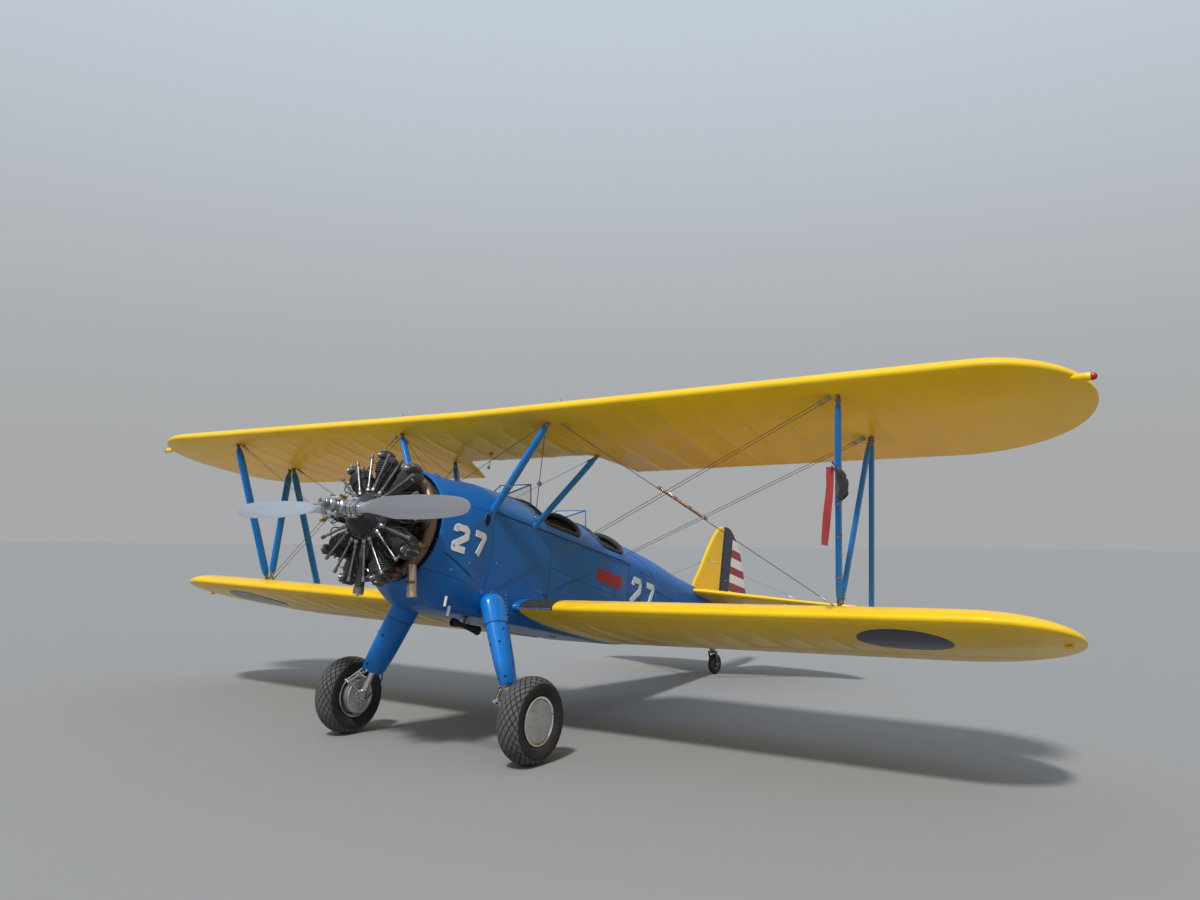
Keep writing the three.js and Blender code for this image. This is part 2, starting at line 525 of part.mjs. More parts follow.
// Interplane struts and wires of the left side, mirrored for the right. Their ends lie within the wings,
// which trim them.
const IN_WING = 20;
const STRUT = { width: 95, thick: 34 };
const DIAGONAL = { width: 92, thick: 32, topAhead: 42, footBehind: 46 };
const CABANE_FRONT = { width: 84, thick: 44 };
const CABANE_REAR = { width: 78, thick: 36 };
const strutTop = (spar) => onWing(UPPER_WING, STRUT_TOP_X, UPPER_SPARS[spar], IN_WING);
const strutFoot = (spar) => onWing(LOWER_WING, STRUT_FOOT_X, LOWER_SPARS[spar], IN_WING);
const upright = (spar, gap = 0) => bar(strutTop(spar), strutFoot(spar), STRUT.width + 2 * gap, STRUT.thick + 2 * gap);
const bayRods = { front_interplane_strut: upright('front'), rear_interplane_strut: upright('rear') };
bayRods.diagonal_interplane_strut = bar(strutTop('rear').add(vec(0, -DIAGONAL.topAhead, 0)),
  strutFoot('front').add(vec(0, DIAGONAL.footBehind, 0)), DIAGONAL.width, DIAGONAL.thick)
  .subtract(upright('front', SEAT)).subtract(upright('rear', SEAT));
const cabaneTop = (spar) => onWing(UPPER_WING, CABANE.topX, UPPER_SPARS[spar], IN_WING);
bayRods.front_cabane_strut = bar(cabaneTop('front'), vec(CABANE.footX, CABANE.frontFootY, CABANE.footZ),
  CABANE_FRONT.width, CABANE_FRONT.thick);
bayRods.rear_cabane_strut = bar(cabaneTop('rear'), vec(CABANE.footX, CABANE.rearFootY, CABANE.footZ),
  CABANE_REAR.width, CABANE_REAR.thick);
const WIRE = { width: 9, thick: 5, topInset: 62, footInset: 50, inWing: 10 };
const wire = (from, to) => bar(from, to, WIRE.width, WIRE.thick, 6);
const flyingTop = (spar) => onWing(UPPER_WING, STRUT_TOP_X - WIRE.topInset, UPPER_SPARS[spar], WIRE.inWing);
bayRods.front_flying_wire = wire(vec(400, 1300, -430), flyingTop('front'));
bayRods.rear_flying_wire = wire(vec(400, 2080, -290), flyingTop('rear'));
bayRods.landing_wire = wire(onWing(UPPER_WING, CENTRE_HALF + 20, UPPER_SPARS.front + 60, IN_WING),
  onWing(LOWER_WING, STRUT_FOOT_X - WIRE.footInset, LOWER_SPARS.front + 20, IN_WING));
const fuselageGrown = grown(join(fuselageOuter, mirror(fuselageOuter)));

// Gear leg fairing, which the front flying wire meets: a domed top out of the fuselage's side, then a
// taper. A share is a place along its line, and the toe turns the section's rear edge inboard.
const LEG = { top: vec(385, 1347, -300), end: vec(772, 1340, -1128), sides: 16, toe: 12 };
const LEG_RINGS = [
  { share: 0.13, width: 104, thick: 72 },
  { share: 0.17, width: 219, thick: 152 },
  { share: 0.23, width: 285, thick: 195 },
  { share: 0.43, width: 265, thick: 172 },
  { share: 0.75, width: 262, thick: 155 },
  { share: 1, width: 230, thick: 118 },
];
const legLine = LEG.end.clone().sub(LEG.top).normalize();
const leg = loft(LEG_RINGS.map(({ share, width, thick }) =>
  oval(LEG.top.clone().lerp(LEG.end, share), legLine, width, thick, LEG.sides, LEG.toe))).subtract(fuselageGrown);
const fixedNear = join(nearUpper, nearLower, fuselageGrown, grown(leg));
for (const [name, rod] of Object.entries(bayRods)) {
  const trimmed = rod.subtract(fixedNear);
  place(`left_${name}`, trimmed, name.includes('wire') ? steel : blue);
  place(`right_${name}`, mirror(trimmed), name.includes('wire') ? steel : blue);
}

// Landing gear of the left side, mirrored for the right
const PISTON = 60;
const KNEE = vec(856, 1352, -1318);
const FORGING = { from: vec(856, 1352, -1290), toX: 888, width: 90, thick: 70 };
const AXLE = { from: 850, to: 1040, wide: 40, bore: 20.9, boreEnd: 38 };
const BRAKE = { radius: 150, from: 884, to: 894 };
const WHEEL_INNER = -88;
const rimSeat = MAIN_WHEEL.rim - SEAT;
const axleAt = (x) => vec(x, MAIN_WHEEL.y, MAIN_WHEEL.z);
const axle = join(
  bar(LEG.end.clone().addScaledVector(legLine, SEAT), KNEE, PISTON, PISTON),
  bar(FORGING.from, axleAt(FORGING.toX), FORGING.width, FORGING.thick, 10),
  bar(axleAt(AXLE.from), axleAt(AXLE.to), AXLE.wide, AXLE.wide, 24),
  drum(BRAKE.radius, BRAKE.from, BRAKE.to, 'x', 24).translate(0, MAIN_WHEEL.y, MAIN_WHEEL.z))
  .subtract(grown(leg));
// [radius, place outboard of the tyre's middle plane]
const wheelDisc = turned([[0, AXLE.boreEnd], [AXLE.bore, AXLE.boreEnd], [AXLE.bore, WHEEL_INNER],
  [rimSeat, WHEEL_INNER], [rimSeat, 70], [168, 84], [0, 92]], 'x', 32);
const TYRE_HALF = [[MAIN_WHEEL.rim, 72], [214, 96], [262, 105], [303, 90], [326, 52]];
const tyre = turned([...TYRE_HALF.map(([r, x]) => [r, -x]), [MAIN_WHEEL.radius, 0], ...TYRE_HALF.toReversed(),
  [MAIN_WHEEL.rim, -TYRE_HALF[0][1]]], 'x', 32);
for (const [side, sign] of [['left', 1], ['right', -1]]) {
  const flip = (solid) => (sign > 0 ? solid : mirror(solid));
  place(`${side}_gear_leg`, flip(leg), blue);
  place(`${side}_axle`, flip(axle), steel);
  const corner = new THREE.Group();
  corner.position.set(sign * MAIN_WHEEL.x, MAIN_WHEEL.y, MAIN_WHEEL.z);
  aircraft.add(corner);
  place(`${side}_wheel`, flip(wheelDisc), polished, corner);
  place(`${side}_tyre`, flip(tyre), rubber, corner);
}

// Parked attitude: the line under the main and tail tyres becomes level
const wheelbaseY = TAIL_WHEEL.y - MAIN_WHEEL.y;
const wheelbaseZ = TAIL_WHEEL.z - MAIN_WHEEL.z;
const parkedPitch = Math.atan2(wheelbaseZ, wheelbaseY)
  - Math.asin((TAIL_WHEEL.radius - MAIN_WHEEL.radius) / Math.hypot(wheelbaseY, wheelbaseZ));

// Tail wheel: its group stands upright when the aircraft is parked
const tailCorner = new THREE.Group();
tailCorner.position.set(0, TAIL_WHEEL.y, TAIL_WHEEL.z);
tailCorner.rotation.x = parkedPitch;
tailCorner.updateMatrix();
aircraft.add(tailCorner);
const FORK = { gap: 48, plate: 10, blade: 54, crown: 140, crownHalf: 34, top: 168, pin: 28, pinTop: 34, axle: 20 };
const KNUCKLE = { width: 84, thick: 70, height: 92, bore: 29.4, boreTop: 38 };
const TAIL_ARM = { wide: 60, rise: 60, reach: 420, endRise: 150 };
const post = -TAIL_WHEEL.trail;
const onPost = (z) => vec(0, post, z);
const bladeX = FORK.gap + FORK.plate / 2;
const fork = join(
  ...[bladeX, -bladeX].map((x) => bar(vec(x, 0, 0), vec(x, post, FORK.crown + 8), FORK.blade, FORK.plate, 10)),
  block(-FORK.gap - FORK.plate, FORK.gap + FORK.plate, post - FORK.crownHalf, post + FORK.crownHalf,
    FORK.crown, FORK.top),
  bar(onPost(FORK.top - 4), onPost(FORK.top + FORK.pinTop), FORK.pin, FORK.pin, 16),
  bar(vec(-FORK.gap - 8, 0, 0), vec(FORK.gap + 8, 0, 0), FORK.axle, FORK.axle, 24));
place('tailwheel_fork', fork, dark, tailCorner);
const TAIL_TYRE_HALF = [[10.6, 34], [58, 30], [66, 40], [100, 42], [120, 28]];
const tailTyre = turned([...TAIL_TYRE_HALF.map(([r, x]) => [r, -x]), [TAIL_WHEEL.radius, 0],
  ...TAIL_TYRE_HALF.toReversed(), [TAIL_TYRE_HALF[0][0], -TAIL_TYRE_HALF[0][1]]], 'x', 24);
place('tail_wheel', tailTyre, rubber, tailCorner);
const strutBody = join(
  bar(onPost(FORK.top + SEAT), onPost(FORK.top + KNUCKLE.height), KNUCKLE.width, KNUCKLE.thick, 14),
  bar(onPost(FORK.top + TAIL_ARM.rise), vec(0, post - TAIL_ARM.reach, FORK.top + TAIL_ARM.endRise),
    TAIL_ARM.wide, TAIL_ARM.wide, 10))
  .subtract(bar(onPost(FORK.top - 5), onPost(FORK.top + KNUCKLE.boreTop), KNUCKLE.bore, KNUCKLE.bore, 16));
const inLevel = inLevelFrame(strutBody, tailCorner).subtract(fuselageGrown);
place('tailwheel_strut', inLevel, blue);

// Tail surfaces
function curvedShape(start, ...curves) {
  const shape = new THREE.Shape();
  shape.moveTo(...start);
  for (const curve of curves) {
    if (curve.length === 1) shape.lineTo(...curve[0]);
    else shape.splineThru(curve.map(([a, b]) => new THREE.Vector2(a, b)));
  }
  return shape;
}
const FIN = { front: 5652, frontTop: 437, top: 1352 };
const RUDDER = { foot: -150, back: 7270, edgeHalf: 6 };
// Outlines seen from the side: [y, z]
const FIN_EDGE = [[5789, 674], [5980, 1011], [6110, 1193], [6195, 1282]];
const RUDDER_EDGE = [[6460, 1366], [6533, 1360], [6651, 1316], [6869, 1157], [7049, 921], [7174, 681], [7240, 560],
  [7262, 400], [7215, 200], [7060, 30], [6800, -90], [6560, -142]];
const finBase = STABILISER.z + STABILISER.thick / 2 + SEAT;
const finRear = RUDDER_HINGE_Y - FIN_THICK / 2 - RUNNING;
const finShape = curvedShape([finRear, finBase], [[FIN.front, finBase]], [[FIN.front, FIN.frontTop]],
  [...FIN_EDGE, [finRear, FIN.top]], [[finRear, finBase]]);

const rudderShape = curvedShape([RUDDER_HINGE_Y, RUDDER.foot], [[RUDDER_HINGE_Y, FIN.top + 3]],
  [...RUDDER_EDGE, [RUDDER_HINGE_Y, RUDDER.foot]]);
const wedge = new THREE.Shape([[-FIN_THICK / 2, RUDDER_HINGE_Y], [FIN_THICK / 2, RUDDER_HINGE_Y],
  [RUDDER.edgeHalf, RUDDER.back], [-RUDDER.edgeHalf, RUDDER.back]].map(([x, y]) => new THREE.Vector2(x, y)));
const rudderTaper = toSolid(new THREE.ExtrudeGeometry(wedge, { depth: 2000, bevelEnabled: false })
  .translate(0, 0, -400));
const rudderPlain = join(sidePlate(rudderShape, FIN_THICK + 2, 3).intersect(rudderTaper),
  bar(vec(0, RUDDER_HINGE_Y, RUDDER.foot + 2), vec(0, RUDDER_HINGE_Y, FIN.top), FIN_THICK, FIN_THICK, 16));
const [fin, rudder] = hang(sidePlate(finShape, FIN_THICK, 3), rudderPlain, FIN_THICK / 2,
  FIN_LUGS.map((z) => [0, RUDDER_HINGE_Y, z]), [0, 90, 0]);
place('fin', fin, yellow);
place('rudder', rudder, stripe);

const TAILPLANE = [
  // x, leading edge, trailing edge of the elevator, thickness
  { x: STABILISER.rootX, lead: STABILISER.rootY, trail: 6830, thick: STABILISER.thick },
  { x: 700, lead: 5745, trail: 6820, thick: 72 },
  { x: 1250, lead: 6000, trail: 6740, thick: 60 },
  { x: 1600, lead: 6150, trail: 6620, thick: 48 },
  { x: 1800, lead: 6220, trail: 6480, thick: 40 },
  { x: STABILISER.half, lead: 6236, trail: 6350, thick: 34 },
];
const stabRear = STABILISER.hinge - STABILISER.thick / 2 - RUNNING;
function stabiliserRing({ x, lead, thick }) {
  const half = (part) => (thick / 2) * Math.sqrt(1 - (1 - Math.min(1, part / 0.3)) ** 2);
  const steps = [0, 0.03, 0.12, 0.3, 1];
  const edge = Math.min(lead, stabRear - 12);
  const row = (sign) => steps.map((part) => vec(x, edge + part * (stabRear - edge), sign * half(part)));
  return [...row(1), ...row(-1).reverse().slice(0, -1)];
}
const stabHalf = loft([{ ...TAILPLANE[0], x: 0 }, ...TAILPLANE].map(stabiliserRing));
const stabPlain = join(stabHalf, mirror(stabHalf))
  .subtract(block(-STABILISER.rootX, STABILISER.rootX, 5000, STABILISER.centreY, -100, 100));

function elevatorRing({ x, trail, thick }) {
  const noseAngles = [90, 120, 150, 180, 210, 240, 270];
  const nose = noseAngles.map((degrees) => {
    const turn = THREE.MathUtils.degToRad(degrees);
    return vec(x, STABILISER.hinge + (thick / 2) * Math.cos(turn), (thick / 2) * Math.sin(turn));
  });
  return [...nose, vec(x, trail, -4), vec(x, trail, 4)];
}
const elevatorHalf = loft(TAILPLANE.map(elevatorRing));
// Plan of the room that the rudder swings in: [place across, y]
const innerCut = new THREE.Shape([[0, 6200], [115, 6200], [115, 6340], [370, 6900], [0, 6900]]
  .map(([x, y]) => new THREE.Vector2(x, y)));
const rudderRoom = toSolid(new THREE.ExtrudeGeometry(innerCut, { depth: 200, bevelEnabled: false })
  .translate(0, 0, -100));
const elevatorLeft = elevatorHalf.subtract(rudderRoom);
const torqueTube = bar(vec(-130, STABILISER.hinge, 0), vec(130, STABILISER.hinge, 0), 40, 40, 12);
const elevatorLugs = STABILISER_LUGS.flatMap((x) => [[x, STABILISER.hinge, 0], [-x, STABILISER.hinge, 0]]);
const [stabiliser, elevators] = hang(stabPlain, join(elevatorLeft, mirror(elevatorLeft), torqueTube),
  STABILISER.thick / 2, elevatorLugs);
place('stabiliser', stabiliser, yellow).position.z = STABILISER.z;
place('elevators', elevators, yellow).position.z = STABILISER.z;

// Stand the aircraft on its wheels, centred over the origin
aircraft.rotation.x = -parkedPitch;
const parked = new THREE.Group();
parked.add(aircraft);
parked.updateMatrixWorld(true);
const bounds = new THREE.Box3().setFromObject(parked, true);
parked.position.set(0, -(bounds.min.y + bounds.max.y) / 2, -bounds.min.z);

export default parked;
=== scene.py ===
"""Looks of the training biplane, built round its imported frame. Metres.

Shapes are drawn in the level frame, with its origin at the propeller hub, +X to the pilot's left,
+Y aft and +Z up, and LEVEL carries them to the parked attitude.
"""
import json
import math

import bmesh
import bpy
import numpy as np
from mathutils import Matrix, Vector


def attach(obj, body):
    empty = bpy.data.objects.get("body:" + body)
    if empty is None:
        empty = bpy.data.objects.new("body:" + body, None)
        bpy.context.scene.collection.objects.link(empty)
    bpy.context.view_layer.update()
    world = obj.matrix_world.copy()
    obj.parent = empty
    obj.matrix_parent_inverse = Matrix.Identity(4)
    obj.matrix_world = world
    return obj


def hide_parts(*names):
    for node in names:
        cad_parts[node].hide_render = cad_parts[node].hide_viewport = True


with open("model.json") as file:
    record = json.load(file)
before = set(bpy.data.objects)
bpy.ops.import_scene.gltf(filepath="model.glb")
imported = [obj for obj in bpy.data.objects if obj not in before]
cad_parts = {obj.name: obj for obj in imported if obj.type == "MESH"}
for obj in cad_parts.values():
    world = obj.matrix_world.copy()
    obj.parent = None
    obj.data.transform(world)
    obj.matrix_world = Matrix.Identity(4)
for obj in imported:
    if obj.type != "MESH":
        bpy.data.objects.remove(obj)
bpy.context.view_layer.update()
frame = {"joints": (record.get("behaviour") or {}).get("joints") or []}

thrust = next(joint for joint in frame["joints"] if joint["name"] == "propeller_spin")
COS, SIN = -thrust["axis"][1], thrust["axis"][2]
LEVEL = Matrix.Translation(thrust["pos_m"]) @ Matrix(((1, 0, 0), (0, COS, SIN), (0, -SIN, COS))).to_4x4()
MIRROR = Matrix.Scale(-1, 4, (1, 0, 0))
SIDES = (("left", 1), ("right", -1))


def side_space(sign, space=LEVEL):
    return space if sign > 0 else space @ MIRROR


# Camera, fitted to the photograph in the level frame
CAMERA_PLACE = (5.48418621, -4.61789143, -1.23730823)
CAMERA_RIGHT = (0.83416786, 0.53711053, 0.12520484)
CAMERA_DOWN = (-0.04686717, 0.29523681, -0.95427391)
CAMERA_FORWARD = (-0.54951564, 0.79015663, 0.27144991)
CAMERA_LENS_MM = 27.84


def make_camera():
    data = bpy.data.cameras.new("camera")
    data.sensor_width = 36
    data.lens = CAMERA_LENS_MM
    data.clip_end = 200
    camera = bpy.data.objects.new("camera", data)
    bpy.context.scene.collection.objects.link(camera)
    right, down, forward = (Vector(v) for v in (CAMERA_RIGHT, CAMERA_DOWN, CAMERA_FORWARD))
    turn = Matrix((right, -down, -forward)).transposed().to_4x4()
    camera.matrix_world = LEVEL @ Matrix.Translation(CAMERA_PLACE) @ turn
    bpy.context.scene.camera = camera


make_camera()


# Materials
def surface(name, colour, rough, metal=0.0, mottle=None, grime=None, bumps=(), rough_to=None, worn=None,
            coat=0.0, sheen=0.0, clear=0.0, stretch=(1, 1, 1)):
    """A procedural finish. mottle is (scale, other colour, share); grime the same in broad patches; bumps
    are (kind, scale, depth in metres); worn is a colour for the edges; rough_to the rougher end."""
    made = bpy.data.materials.new(name)
    made.use_nodes = True
    nodes, links = made.node_tree.nodes, made.node_tree.links
    shader = nodes["Principled BSDF"]
    place = nodes.new("ShaderNodeTexCoord")
    mapping = nodes.new("ShaderNodeMapping")
    mapping.inputs["Scale"].default_value = stretch
    links.new(place.outputs["Object"], mapping.inputs["Vector"])

    def noise(scale, detail=4.0):
        node = nodes.new("ShaderNodeTexNoise")
        node.inputs["Scale"].default_value = scale
        node.inputs["Detail"].default_value = detail
        links.new(mapping.outputs["Vector"], node.inputs["Vector"])
        return node.outputs["Fac"]

    def ranged(value, low, high, out_low=0.0, out_high=1.0):
        node = nodes.new("ShaderNodeMapRange")
        node.inputs["From Min"].default_value = low
        node.inputs["From Max"].default_value = high
        node.inputs["To Min"].default_value = out_low
        node.inputs["To Max"].default_value = out_high
        links.new(value, node.inputs["Value"])
        return node.outputs["Result"]

    def mixed(share, first, second):
        node = nodes.new("ShaderNodeMix")
        node.data_type = "RGBA"
        links.new(share, node.inputs["Factor"])
        for socket, value in ((node.inputs[6], first), (node.inputs[7], second)):
            if isinstance(value, tuple):
                socket.default_value = (*value, 1)
            else:
                links.new(value, socket)
        return node.outputs[2]

    tint = colour
    if mottle:
        scale, other, share = mottle
        tint = mixed(ranged(noise(scale), 0.35, 0.7, 0, share), tint, other)
    if grime:
        scale, other, share = grime
        tint = mixed(ranged(noise(scale, 8.0), 0.45, 0.8, 0, share), tint, other)
    if worn:
        geometry = nodes.new("ShaderNodeNewGeometry")
        edges = ranged(geometry.outputs["Pointiness"], 0.52, 0.6)
        tint = mixed(edges, tint, worn)
    if isinstance(tint, tuple):
        tint = mixed(ranged(noise(9.0), 0.3, 0.7, 0, 0.25), tint, tuple(0.8 * c for c in tint))
    links.new(tint, shader.inputs["Base Color"])
    shader.inputs["Metallic"].default_value = metal
    shader.inputs["Specular IOR Level"].default_value = 0.5 if metal or clear else 0.28
    top = rough_to if rough_to is not None else min(1.0, rough * 1.35)
    links.new(ranged(noise(14.0, 6.0), 0.3, 0.75, rough, top), shader.inputs["Roughness"])
    normal = None
    for kind, scale, depth in bumps:
        if kind == "noise":
            height = noise(scale, 6.0)
        elif kind == "cells":
            cells = nodes.new("ShaderNodeTexVoronoi")
            cells.inputs["Scale"].default_value = scale
            links.new(mapping.outputs["Vector"], cells.inputs["Vector"])
            height = cells.outputs["Distance"]
        else:
            waves = []
            for direction in ("X", "Y", "Z"):
                wave = nodes.new("ShaderNodeTexWave")
                wave.bands_direction = direction
                wave.inputs["Scale"].default_value = scale
                wave.inputs["Distortion"].default_value = 0.3
                links.new(mapping.outputs["Vector"], wave.inputs["Vector"])
                waves.append(wave.outputs["Fac"])
            total = nodes.new("ShaderNodeMath")
            total.operation = "MULTIPLY_ADD"
            links.new(waves[0], total.inputs[0])
            links.new(waves[1], total.inputs[1])
            links.new(waves[2], total.inputs[2])
            height = total.outputs["Value"]
        bump = nodes.new("ShaderNodeBump")
        bump.inputs["Strength"].default_value = 0.6
        bump.inputs["Distance"].default_value = depth
        links.new(height, bump.inputs["Height"])
        if normal:
            links.new(normal, bump.inputs["Normal"])
        normal = bump.outputs["Normal"]
    if normal:
        links.new(normal, shader.inputs["Normal"])
    if coat:
        shader.inputs["Coat Weight"].default_value = coat
        shader.inputs["Coat Roughness"].default_value = 0.06
    if sheen:
        shader.inputs["Sheen Weight"].default_value = sheen
    if clear:
        shader.inputs["Transmission Weight"].default_value = clear
        shader.inputs["IOR"].default_value = 1.45
    return made


